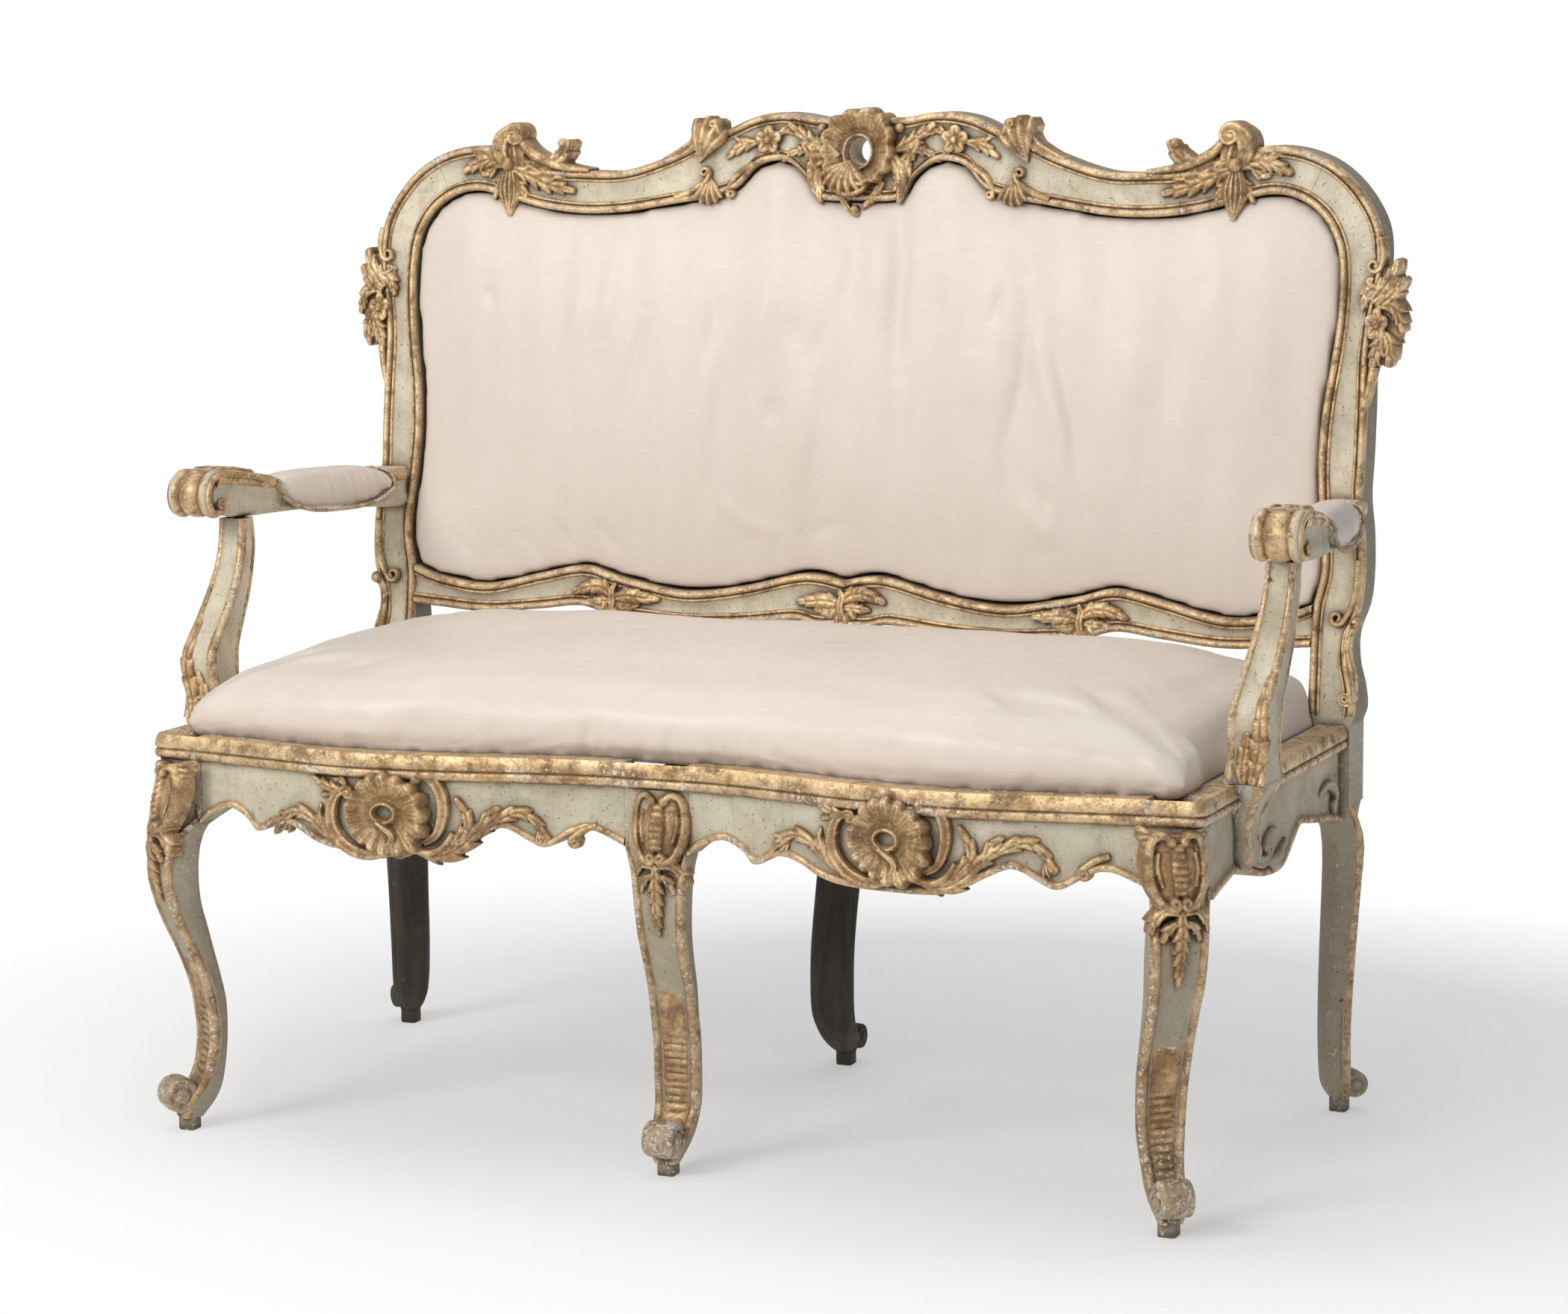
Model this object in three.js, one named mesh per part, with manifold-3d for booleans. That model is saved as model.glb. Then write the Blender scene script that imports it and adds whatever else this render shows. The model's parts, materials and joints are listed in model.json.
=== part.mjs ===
// A two-seat settee with six cabriole legs, open padded arms and a stuffed seat and back, in the
// Venetian rococo manner. Its frame is joined with tenons and carries carved shells and scrolls.
// Millimetres, +Z up, the front towards -Y. Left and right are as seen from the front.
import * as THREE from 'three';
import { mergeVertices } from 'three/addons/utils/BufferGeometryUtils.js';
import Module from 'manifold-3d';

const wasm = await Module();
wasm.setup();

// Overall sizes.
const seatTop = 440;
const backHeight = 664;
const crestTop = seatTop + backHeight;
const frameHalfWidth = 593;
const backFlare = 26;
const backHalfWidth = frameHalfWidth + backFlare;
const clearance = 0.3;
const overrun = 20;
const cutMargin = 10;

// The back: its front face leans away from the seat.
const backFaceY = 229.5;
const backRakeShare = 0.125;
const backThickness = 40;
const postDepth = 56;
const postTaperRise = 90;
const beadWidth = 11;
const beadHeight = 5;
const panelHollow = 1.5;

// The seat frame: rails with a moulded top edge, whose front bows out in front of each seat.
const frameDepth = 491.5;
const frontFaceY = backFaceY - frameDepth;
const bowDepth = 45;
const railDepth = 32;
const cornerRadius = 12;
const apronHeight = 75;
const archHeight = seatTop - apronHeight;
const apronDrop = 34;
const sideApronHeight = 83;
const sideArchHeight = seatTop - sideApronHeight;
const sideDrop = 35;
const mouldingHeight = 27;
const mouldingProud = 9;
const edgeBead = 7;
const edgeBeadProud = 4;
const middleBlockHalf = 36;
const cornerBlockWidth = 51;
const cornerBlockDepth = 30;
const cornerJointX = frameHalfWidth - cornerBlockWidth;
const cornerJointY = frontFaceY + cornerBlockDepth;
const postInnerShare = 0.898;
const postWidth = 47;
const postInnerX = postInnerShare * backHalfWidth;
const postOuterX = postInnerX + postWidth;
const rearRailSetback = 55.5;
const rearRailBack = backFaceY + rearRailSetback;
const rearRailDepth = 30;
const rearRailHeight = 68;
const rearRailBottom = seatTop - rearRailHeight;
const seatLip = 24;
const ledgeDepth = 10;
const rearLip = 23;
const seatWellRear = rearRailBack - rearLip;
const wellPostGap = 6;

// The legs. Each foot is placed by how far it stands in from the frame, or out where negative.
const kneeHeight = 90;
const legTop = seatTop - kneeHeight;
const frontFootInset = 26;
const frontFootReach = 17;
const frontFootX = frameHalfWidth - frontFootInset;
const frontFootY = frontFaceY - frontFootReach;
const middleFootX = 6;
const middleFootInset = 6;
const middleFootY = frontFaceY + middleFootInset;
const rearFootSideInset = 6;
const rearFootInset = 20;
const rearFootX = frameHalfWidth - rearFootSideInset;
const rearFootY = rearRailBack - rearFootInset;
const rearMiddleFootX = -7;
const rearMiddleFootInset = 23;
const rearMiddleFootY = rearRailBack - rearMiddleFootInset;
const frontLegTurn = 52;
const rearLegTurn = 40;
const legReach = 40;
const legHalfWidth = 27;
const legBead = 10;
const legBeadHeight = 2;
const blockLap = 14;
const frontRoll = { out: 13, height: 41, radius: 20, half: 19 };
const rearRoll = { out: 14, height: 31, radius: 15, half: 18 };
const padHalf = 9.5;
const padHeight = 20;

// The arms.
const armInset = 3;
const armEndX = frameHalfWidth - armInset;
const armOutsweep = 40;
const armSetback = 140;
const armRollY = frontFaceY + armSetback;
const armHeight = 197;
const armUnderside = seatTop + armHeight;
const armRollLift = 50;
const armRollZ = armUnderside + armRollLift;
const armRollRadius = 27;
const armRollHalf = 25;
const armLift = 28;
const armDeep = 80;
const armHalfWidth = 29;
const supportLap = 18;
const supportTop = armUnderside + supportLap;
const supportOut = 14;
const supportFlare = 9;
const supportBaseX = frameHalfWidth + supportOut;
const supportTopX = supportBaseX + supportFlare;
const supportFrontReach = 120;
const supportBehindRoll = 71;
const supportTopY = armRollY + supportBehindRoll;
const supportHalfWidth = 22;
const armPadRise = 26;
const armPadSide = 26;

// The upholstery.
const cushionShoulder = 67;
const cushionCrown = 38;
const cornerDroop = 22;
const seatBelly = 5;
const backPadSink = 14;
const backPadCrown = 29;
const backPadRear = 26;
const clothThickness = 1.5;
const clothLap = 12;
const webThickness = 2;
const webInset = 1.2;
const webWidth = 50;
const webColumns = 4;
const webRows = 2;

// The joints.
const tenonLength = 18;
const tenonThickness = 10;
const tenonInset = 11;
const tenonHeight = 44;
const tenonShoulder = 16;
const lowerTenonHeight = 22;
const armTenonHeight = 22;

// The inner structure of the seat.
const bearerHalf = 15;
const bearerHeight = 48;
const braceLeg = 70;

// The carvings.
const shellHoleRadius = 14;
const crestShellRadius = 46;
const crestShellShare = 0.9337;
const crestShellZ = seatTop + crestShellShare * backHeight;
const apronShellRadius = 42;
const apronShellLift = 15;
const apronShellZ = archHeight + apronShellLift;
const apronShellHole = 6;
const shellDepth = 26;
const carvingSink = 12;
const carvingProud = 16;

// Half of the back's outline from its centre over the shoulder to the seat: shares of the half
// width across, and of the height from the seat to the crest. Each outer point has its inner one.
const backOuterShares = [
  [0, 0.991], [0.08, 0.991], [0.13, 0.998], [0.17, 1], [0.218, 0.992], [0.267, 0.973],
  [0.323, 0.953], [0.388, 0.926], [0.477, 0.901], [0.565, 0.899], [0.646, 0.905], [0.711, 0.928],
  [0.792, 0.943], [0.874, 0.928], [0.94, 0.887], [0.989, 0.821], [1, 0.753], [0.989, 0.685],
  [0.981, 0.602], [0.982, 0.512], [0.982, 0.432], [0.981, 0.369], [0.989, 0.309], [0.992, 0.248],
  [0.988, 0.196], [0.972, 0.148], [0.971, 0.102], [0.981, 0.057], [0.984, 0.023], [0.976, 0],
];
const backInnerShares = [
  [0, 0.848], [0.081, 0.852], [0.107, 0.889], [0.153, 0.916], [0.207, 0.908], [0.25, 0.869],
  [0.307, 0.852], [0.375, 0.842], [0.48, 0.827], [0.569, 0.824], [0.654, 0.833], [0.735, 0.852],
  [0.792, 0.863], [0.843, 0.854], [0.887, 0.825], [0.914, 0.779], [0.922, 0.723], [0.921, 0.663],
  [0.913, 0.595], [0.901, 0.512], [0.897, 0.437], [0.901, 0.369], [0.911, 0.286], [0.911, 0.241],
  [0.9, 0.19], [0.898, 0.125], [0.898, 0.095], [0.898, 0.057], [0.898, 0.023], [0.898, 0],
];
const shoulderJoint = 13.2;

// Half of the lower back rail from its centre: shares of its half length, and of the height from
// the seat to the crest, for its top and its bottom edge.
const lowerTopShares = [
  [0, 0.199], [0.054, 0.208], [0.108, 0.206], [0.228, 0.182], [0.354, 0.169], [0.459, 0.181],
  [0.518, 0.191], [0.594, 0.206], [0.694, 0.19], [0.82, 0.167], [0.933, 0.176], [1, 0.194],
];
const lowerBottomShares = [
  [0, 0.12], [0.054, 0.118], [0.108, 0.126], [0.228, 0.115], [0.354, 0.11], [0.459, 0.115],
  [0.53, 0.12], [0.6, 0.134], [0.694, 0.125], [0.82, 0.115], [0.933, 0.12], [1, 0.124],
];

// How far the seat frame's front bows out, at even steps from the centre to the corner.
const bowShares = [0, 0.03, 0.33, 0.71, 0.98, 0.95, 0.68, 0.4, 0.24];

// The scalloped lower edge of an apron: shares of its length, and of how far it hangs down.
const apronEdgeShares = [
  [0, 0.6], [0.035, 0.22], [0.085, 0], [0.13, 0.28], [0.15, 0.6], [0.172, 0.6], [0.195, 0.38],
  [0.23, 0.28], [0.27, 0.42], [0.32, 0.76], [0.38, 0.92], [0.48, 0.94], [0.586, 0.9],
  [0.64, 0.66], [0.69, 0.28], [0.74, 0.02], [0.795, 0.42], [0.82, 0.58], [0.845, 0.5],
  [0.88, 0.16], [0.93, 0], [1, 0.42],
];
const sideEdgeShares = [
  [0, 0.66], [0.09, 0.43], [0.17, 0.28], [0.27, 0.54], [0.36, 0.86], [0.48, 1], [0.54, 0.86],
  [0.6, 0.4], [0.66, 0], [0.74, 0.14], [0.82, 0.3], [0.91, 0.45], [1, 0.7],
];

// The legs' profiles, from the foot up: shares of the leg's height, of its reach to the front
// and to the back of its shaft, and of its half width.
const frontLegShares = [
  [0.04, 0.3, -0.34, 0.44], [0.09, 0.26, -0.68, 0.64], [0.14, -0.08, -0.88, 0.74],
  [0.2, -0.33, -0.98, 0.8], [0.29, -0.46, -1.05, 0.91], [0.4, -0.39, -1.04, 0.96],
  [0.486, -0.22, -0.9, 1], [0.571, 0.06, -0.72, 1], [0.657, 0.4, -0.54, 1],
  [0.743, 0.66, -0.36, 1.06], [0.86, 0.86, -0.3, 1.08],
];
const middleLegShares = [
  [0.04, 0.3, -0.4, 0.46], [0.09, 0.24, -0.8, 0.66], [0.14, -0.14, -1, 0.82],
  [0.2, -0.45, -1.1, 0.92], [0.29, -0.48, -1.12, 0.95], [0.4, -0.44, -1.08, 0.96],
  [0.486, -0.3, -0.98, 0.96], [0.571, -0.14, -0.9, 0.96], [0.657, 0.14, -0.72, 0.96],
  [0.743, 0.38, -0.56, 1], [0.86, 0.5, -0.5, 1.06],
];
const rearLegShares = [
  [0.04, 0.24, -0.24, 0.36], [0.08, 0.24, -0.46, 0.6], [0.14, 0.14, -0.52, 0.8],
  [0.3, 0.11, -0.55, 0.87], [0.5, 0.2, -0.52, 0.9],
  [0.74, 0.34, -0.45, 0.96], [0.9, 0.46, -0.42, 1],
];
const rearMiddleLegShares = [
  [0.04, 0.24, -0.24, 0.36], [0.085, 0.18, -0.8, 0.6], [0.14, -0.4, -1.2, 0.8],
  [0.22, -0.77, -1.48, 0.92], [0.38, -0.78, -1.48, 0.94], [0.5, -0.6, -1.3, 0.94],
  [0.6, -0.36, -1.08, 0.94], [0.7, -0.08, -0.86, 0.94],
  [0.8, 0.15, -0.65, 0.95], [0.9, 0.26, -0.5, 1],
];
const earBlendShares = [[0.935, 0.22], [0.968, 0.58], [1, 1]];

// The arm from the post to its roll: shares of its length, outsweep, underside, top and width.
const armShares = [
  [0, 0, 0, 0.6, 0.78], [0.08, 0.06, 0.08, 0.6, 0.78], [0.1, 0.08, 0.1, 0.42, 0.78],
  [0.3, 0.36, 0.36, 0.46, 0.78], [0.5, 0.6, 0.54, 0.5, 0.8], [0.665, 0.78, 0.6, 0.52, 0.82],
  [0.685, 0.8, 0.6, 0.76, 0.84], [0.78, 0.88, 0.62, 0.84, 0.9], [0.88, 0.95, 0.7, 0.93, 0.96],
  [1, 1, 1, 0.97, 0.97],
];
const padFrontShare = 0.68;
const padRearShare = 0.085;

// The arm support from its foot up: shares of its height, of its reach to its front and back
// edges, and of its half width.
const supportShares = [
  [0, 1, 0.42, 1.05], [0.06, 0.97, 0.46, 1], [0.14, 0.95, 0.5, 0.98], [0.26, 0.99, 0.49, 0.96],
  [0.36, 0.95, 0.45, 0.94], [0.5, 0.71, 0.3, 0.9], [0.62, 0.52, 0.17, 0.86],
  [0.74, 0.37, 0.07, 0.8], [0.86, 0.28, 0, 0.75], [1, 0.24, 0, 0.72],
];

// The solids.

function geometryOf(positions, index) {
  const geometry = new THREE.BufferGeometry();
  geometry.setAttribute('position', new THREE.Float32BufferAttribute(positions, 3));
  geometry.setIndex(index);
  return geometry;
}

// Points that lie together are merged, and triangles that this empties are left out.
function welded(source) {
  const bare = source.clone();
  bare.deleteAttribute('normal');
  bare.deleteAttribute('uv');
  const merged = mergeVertices(bare);
  const corners = merged.index.array;
  const kept = [];
  for (let i = 0; i < corners.length; i += 3) {
    const [a, b, c] = [corners[i], corners[i + 1], corners[i + 2]];
    if (a !== b && b !== c && c !== a) kept.push(a, b, c);
  }
  return geometryOf(merged.attributes.position.array, kept);
}

function signedVolume(positions, index) {
  let sum = 0;
  const [a, b, c] = [new THREE.Vector3(), new THREE.Vector3(), new THREE.Vector3()];
  for (let i = 0; i < index.length; i += 3) {
    a.fromArray(positions, 3 * index[i]);
    b.fromArray(positions, 3 * index[i + 1]);
    c.fromArray(positions, 3 * index[i + 2]);
    sum += a.dot(b.cross(c));
  }
  return sum;
}

function solidOf(geometry) {
  const mesh = welded(geometry);
  const vertProperties = Float32Array.from(mesh.attributes.position.array);
  const triVerts = Uint32Array.from(mesh.index.array);
  if (signedVolume(vertProperties, triVerts) < 0) triVerts.reverse();
  return new wasm.Manifold(new wasm.Mesh({ numProp: 3, vertProperties, triVerts }));
}

function turnOf(a, b, c) {
  return (b.x - a.x) * (c.y - a.y) - (b.y - a.y) * (c.x - a.x);
}

// The triangles that close one ring, turned the way the ring runs. Ears are clipped one by one,
// and every point of the ring is kept, also where it lies on a straight edge.
function capOf(ring) {
  const normal = new THREE.Vector3();
  const start = new THREE.Vector3(...ring[0]);
  ring.forEach((point, i) => {
    const here = new THREE.Vector3(...point).sub(start);
    const next = new THREE.Vector3(...ring[(i + 1) % ring.length]).sub(start);
    normal.add(here.cross(next));
  });
  const size = [Math.abs(normal.x), Math.abs(normal.y), Math.abs(normal.z)];
  const dropped = size.indexOf(Math.max(...size));
  const kept = [0, 1, 2].filter((axis) => axis !== dropped);
  const flat = ring.map((point) => new THREE.Vector2(point[kept[0]], point[kept[1]]));
  const turn = Math.sign(THREE.ShapeUtils.area(flat));
  const left = ring.map((_, i) => i);
  const faces = [];
  while (left.length > 3) {
    const ear = bestEar(left, flat, turn);
    faces.push([left.at(ear - 1), left[ear], left[(ear + 1) % left.length]]);
    left.splice(ear, 1);
  }
  return [...faces, left];
}

// The widest ear that holds no other point of the ring.
function bestEar(left, flat, turn) {
  let best = 0;
  let widest = -Infinity;
  left.forEach((corner, i) => {
    const [a, b, c] = [flat[left.at(i - 1)], flat[corner], flat[left[(i + 1) % left.length]]];
    const area = turn * turnOf(a, b, c);
    const blocked = left.some((other) => {
      const p = flat[other];
      if (p === a || p === b || p === c) return false;
      return [[a, b], [b, c], [c, a]].every(([from, to]) => turn * turnOf(from, to, p) >= 0);
    });
    const reach = a.distanceTo(c);
    const shape = area > 0 && !blocked ? area / (reach * reach) : -Infinity;
    if (shape > widest) {
      widest = shape;
      best = i;
    }
  });
  return best;
}

// Joins a row of rings into one closed body, capped at both ends.
function loft(rings) {
  const count = rings[0].length;
  const index = [];
  for (let ring = 0; ring + 1 < rings.length; ring += 1) {
    for (let i = 0; i < count; i += 1) {
      const a = ring * count + i;
      const b = ring * count + (i + 1) % count;
      index.push(a, b, b + count, a, b + count, a + count);
    }
  }
  capOf(rings[0]).forEach(([a, b, c]) => index.push(a, c, b));
  const last = (rings.length - 1) * count;
  capOf(rings[rings.length - 1]).forEach(([a, b, c]) => index.push(last + a, last + b, last + c));
  return solidOf(geometryOf(rings.flat(2), index));
}

function box(low, high) {
  const size = high.map((value, axis) => value - low[axis]);
  const middle = high.map((value, axis) => (value + low[axis]) / 2);
  return solidOf(new THREE.BoxGeometry(...size).translate(...middle));
}

// A turned body: its profile gives distance along the axis and radius.
function turned(profile, axis, place, segments) {
  const points = profile.map(([along, radius]) => new THREE.Vector2(radius, along));
  const geometry = new THREE.LatheGeometry(points, segments);
  const up = new THREE.Vector3(0, 1, 0);
  geometry.applyQuaternion(new THREE.Quaternion().setFromUnitVectors(up, axis));
  return solidOf(geometry.translate(...place));
}

function union(solids) {
  return solids.reduce((sum, solid) => sum.add(solid));
}

function mix(a, b, share) {
  return a + (b - a) * share;
}

// Reads a table of evenly spaced shares as a smooth curve.
function readEvenly(shares, t) {
  const curve = new THREE.SplineCurve(shares.map((share, i) => new THREE.Vector2(i, share)));
  return curve.getPoint(Math.min(Math.max(t, 0), 1)).y;
}

// Places on the frame.

function onBack(x, z, proud) {
  return [x, backFaceY + backRakeShare * Math.max(z - seatTop, 0) - proud, z];
}

function faceY(x) {
  return frontFaceY - bowDepth * readEvenly(bowShares, Math.abs(x) / frameHalfWidth);
}

function onApron(x, z, proud) {
  return [x, faceY(x) - proud, z];
}

function backPoint([across, up]) {
  return new THREE.Vector2(across * backHalfWidth, mix(seatTop, crestTop, up));
}

const backOuter = new THREE.SplineCurve(backOuterShares.map(backPoint));
const backInner = new THREE.SplineCurve(backInnerShares.map(backPoint));
const backSteps = backOuterShares.length - 1;

// The back frame.

function backDepth(z) {
  const share = Math.min(Math.max((z - seatTop) / postTaperRise, 0), 1);
  return mix(postDepth, backThickness, share);
}

// One section through the back frame, from its outer edge to its inner one: a bead on either
// side of a hollow panel, grown by a margin all round where it serves as a tool.
function backSection(outer, inner, grow) {
  const across = inner.clone().sub(outer);
  const width = across.length();
  across.normalize();
  const depth = backDepth((outer.y + inner.y) / 2);
  const profile = [
    [-grow, -depth - grow], [-grow, grow], [beadWidth / 2, beadHeight + grow],
    [beadWidth, grow], [width / 2, grow - panelHollow], [width - beadWidth, grow],
    [width - beadWidth / 2, beadHeight + grow], [width + grow, grow],
    [width + grow, -depth - grow],
  ];
  return profile.map(([along, proud]) => {
    const point = outer.clone().addScaledVector(across, along);
    return onBack(point.x, point.y, proud);
  });
}

// The places along the back's outline where its sections lie: one at each point of the tables,
// and one between where the outline turns tightly.
const tightSpans = [[12, 16]];

function backMarks() {
  const marks = [];
  backOuterShares.forEach((_, step) => {
    marks.push(step);
    if (tightSpans.some(([start, end]) => step >= start && step < end)) marks.push(step + 0.5);
  });
  return marks;
}

function backStations(from, to) {
  const [low, high] = [Math.min(from, to), Math.max(from, to)];
  const inside = backMarks().filter((mark) => mark > low && mark < high);
  const stations = [low, ...inside, high].map((mark) => mark / backSteps);
  return from < to ? stations : stations.reverse();
}

function mirroredRing(ring) {
  return ring.map(([x, y, z]) => [-x, y, z]);
}

// A stretch of the back frame's right half, as rings.
function backRings(from, to, grow = 0) {
  const stations = backStations(from, to);
  return stations.map((t) => backSection(backOuter.getPoint(t), backInner.getPoint(t), grow));
}

function crestSolid(grow = 0) {
  const right = backRings(shoulderJoint, 0, grow);
  const left = right.slice(0, -1).reverse().map(mirroredRing);
  return loft([...right, ...left]);
}

// A tongue inside the back frame at the shoulder joint.
const tongueSteps = 0.35;
const tongueEdgeShare = 0.3;
const tongueFrontShare = 0.34;
const tongueBackShare = 0.64;

function shoulderTongue(grow) {
  const spare = grow > 0 ? grow / tenonLength : 0;
  const stations = backStations(shoulderJoint - tongueSteps, shoulderJoint + tongueSteps + spare);
  return loft(stations.map((t) => {
    const [outer, inner] = [backOuter.getPoint(t), backInner.getPoint(t)];
    const start = outer.clone().lerp(inner, tongueEdgeShare);
    const end = outer.clone().lerp(inner, 1 - tongueEdgeShare);
    const margin = inner.clone().sub(outer).normalize().multiplyScalar(grow);
    start.sub(margin);
    end.add(margin);
    const front = -tongueFrontShare * backThickness + grow;
    const back = -tongueBackShare * backThickness - grow;
    return [
      onBack(start.x, start.y, front), onBack(end.x, end.y, front),
      onBack(end.x, end.y, back), onBack(start.x, start.y, back),
    ];
  }));
}

function lowerRailPoint([along, up]) {
  return new THREE.Vector2(along * postInnerX, mix(seatTop, crestTop, up));
}

const lowerTop = new THREE.SplineCurve(lowerTopShares.map(lowerRailPoint));
const lowerBottom = new THREE.SplineCurve(lowerBottomShares.map(lowerRailPoint));
const lowerSteps = lowerTopShares.length - 1;

function lowerRailSolid(grow = 0) {
  const half = Array.from({ length: lowerSteps + 1 }, (_, i) => {
    const t = 1 - i / lowerSteps;
    return backSection(lowerBottom.getPoint(t), lowerTop.getPoint(t), grow);
  });
  half[0] = half[0].map(([, y, z]) => [postInnerX - clearance, y, z]);
  return loft([...half, ...half.slice(0, -1).reverse().map(mirroredRing)]);
}

// The tenons at the ends of straight rails, with the same boxes grown for their mortises.

function lowerRailTenon(side, grow) {
  const z = mix(seatTop, crestTop, lowerTopShares.at(-1)[1]) - tenonShoulder;
  const [, y] = onBack(0, z, -backThickness / 2);
  const ends = [side * (postInnerX - tenonLength), side * (postInnerX + tenonLength + grow)];
  const half = tenonThickness / 2 + grow;
  const low = [Math.min(...ends), y - half, z - lowerTenonHeight - grow];
  const high = [Math.max(...ends), y + half, z + grow];
  return box(low, high);
}

function seatTenonAlongX(from, to, y, top, grow) {
  const low = [Math.min(from, to) - grow, y - grow, top - tenonHeight - grow];
  const high = [Math.max(from, to) + grow, y + tenonThickness + grow, top + grow];
  return box(low, high);
}

function seatTenonAlongY(side, from, to, grow) {
  const outer = frameHalfWidth - tenonInset;
  const inner = outer - tenonThickness;
  const xs = [side * inner, side * outer];
  const top = seatTop - mouldingHeight;
  const low = [Math.min(...xs) - grow, Math.min(from, to) - grow, top - tenonHeight - grow];
  const high = [Math.max(...xs) + grow, Math.max(from, to) + grow, top + grow];
  return box(low, high);
}

const tenonTop = seatTop - mouldingHeight;
const frontTenonY = faceY(cornerJointX) + tenonInset;
const middleTenonY = frontFaceY + tenonInset;
const rearTenonY = rearRailBack - rearRailDepth / 2 - tenonThickness / 2;

function cornerTenon(side, grow) {
  const inside = side * (cornerJointX - tenonLength);
  return seatTenonAlongX(inside, side * (cornerJointX + tenonLength), frontTenonY, tenonTop, grow);
}

function middleTenon(side, grow) {
  const [near, far] = [middleBlockHalf - tenonLength, middleBlockHalf + tenonLength];
  return seatTenonAlongX(side * near, side * far, middleTenonY, tenonTop, grow);
}

function rearTenon(side, grow) {
  const [near, far] = [postInnerX - tenonLength, postInnerX + tenonLength];
  return seatTenonAlongX(side * near, side * far, rearTenonY, rearTenonTop, grow);
}

const rearTenonTop = seatTop - ledgeDepth - edgeBead;

function rearMiddleTenon(side, grow) {
  const [near, far] = [middleBlockHalf - tenonLength, middleBlockHalf + tenonLength];
  return seatTenonAlongX(side * near, side * far, rearTenonY, rearTenonTop, grow);
}

function sideFrontTenon(side, grow) {
  return seatTenonAlongY(side, cornerJointY - tenonLength, cornerJointY + tenonLength, grow);
}

function sideRearTenon(side, grow) {
  return seatTenonAlongY(side, backFaceY - tenonLength, backFaceY + tenonLength, grow);
}

// The seat frame.

// The moulding's section: how far it stands out, and how far below the top, as shares.
const mouldingShares = [
  [0, 1], [0.9, 0.92], [0.9, 0.6], [0.62, 0.48], [1, 0.37], [1, 0.11], [0.55, 0],
];

const undersideShare = 0.5;

// The section of a front or side rail, from its inner foot over its top to its lower edge, as
// distance out from its face and height.
function railSection(bottom, grow = 0) {
  const moulding = mouldingShares.map(([out, down]) => {
    const lift = down > undersideShare ? -grow : grow;
    return [out * mouldingProud + grow, seatTop - down * mouldingHeight + lift];
  });
  return [
    [grow, bottom - grow], [edgeBeadProud + grow, bottom - grow],
    [edgeBeadProud + grow, bottom + edgeBead + grow], [grow, bottom + edgeBead + grow],
    ...moulding,
    [-railDepth - grow, seatTop + grow], [-railDepth - grow, bottom - grow],
  ];
}

// The plan of the well that holds the seat's upholstery, inset by a margin.
const wellSteps = 16;

function wellOutline(inset) {
  const halfWidth = frameHalfWidth - seatLip - inset;
  const front = Array.from({ length: wellSteps + 1 }, (_, i) => {
    const x = mix(-halfWidth, halfWidth, i / wellSteps);
    return [x, faceY(x) + seatLip + inset];
  });
  const backX = postInnerX - wellPostGap - inset;
  const besidePost = backFaceY - wellPostGap - inset;
  const rear = seatWellRear - inset;
  return [
    ...front, [halfWidth, besidePost], [backX, besidePost], [backX, rear],
    [-backX, rear], [-backX, besidePost], [-halfWidth, besidePost],
  ];
}

function prism(outline, low, high) {
  return loft([low, high].map((z) => outline.map(([x, y]) => [x, y, z])));
}

const seatWell = prism(wellOutline(0), seatTop - ledgeDepth, seatTop + overrun);

function apronBottom(start, end) {
  return apronEdgeShares.map(([along, drop]) => {
    return [mix(start, end, along), archHeight - drop * apronDrop];
  });
}

function frontApronSolid(start, end, grow = 0) {
  const rings = apronBottom(start, end).map(([x, bottom]) => {
    return railSection(bottom, grow).map(([out, z]) => [x, faceY(x) - out, z]);
  });
  return loft(rings);
}

function sideApronSolid(grow = 0) {
  const [start, end] = [cornerJointY + clearance, backFaceY - clearance];
  return loft(sideEdgeShares.map(([along, drop]) => {
    const bottom = sideArchHeight - drop * sideDrop;
    const y = mix(start, end, along);
    return railSection(bottom, grow).map(([out, z]) => [frameHalfWidth + out, y, z]);
  }));
}

function frontApron(side) {
  const ends = [side * (middleBlockHalf + clearance), side * (cornerJointX - clearance)];
  const [start, end] = ends.sort((a, b) => a - b);
  return frontApronSolid(start, end)
    .add(cornerTenon(side, 0))
    .add(middleTenon(side, 0))
    .subtract(seatWell);
}

// The bracket outside the side rail that carries the arm support's foot: shares of its drop,
// of how far it stands out, and of its front and its back edge's reach.
const bracketDrop = 92;
const bracketShares = [
  [0, 1, 1, 0.42], [0.1, 0.96, 0.98, 0.44], [0.3, 0.66, 0.92, 0.5], [0.6, 0.44, 0.84, 0.56],
  [0.85, 0.5, 0.84, 0.5], [1, 0.28, 0.78, 0.56],
];

function supportBracket() {
  const inner = frameHalfWidth - clearance;
  const reach = supportBaseX + supportHalfWidth - frameHalfWidth;
  return loft(bracketShares.map(([down, out, front, back]) => {
    const z = seatTop - down * bracketDrop;
    const outer = frameHalfWidth + out * reach;
    const [frontY, backY] = [front, back].map((share) => supportTopY - share * supportFrontReach);
    return [
      [inner, backY, z], [inner, frontY, z], [outer - legBead, frontY, z],
      [outer, frontY + legBead, z], [outer, backY - legBead, z], [outer - legBead, backY, z],
    ];
  }));
}

function sideApron() {
  return sideApronSolid()
    .add(supportBracket())
    .add(sideFrontTenon(1, 0))
    .add(sideRearTenon(1, 0))
    .subtract(seatWell)
    .subtract(supportTenon(clearance));
}

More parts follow.
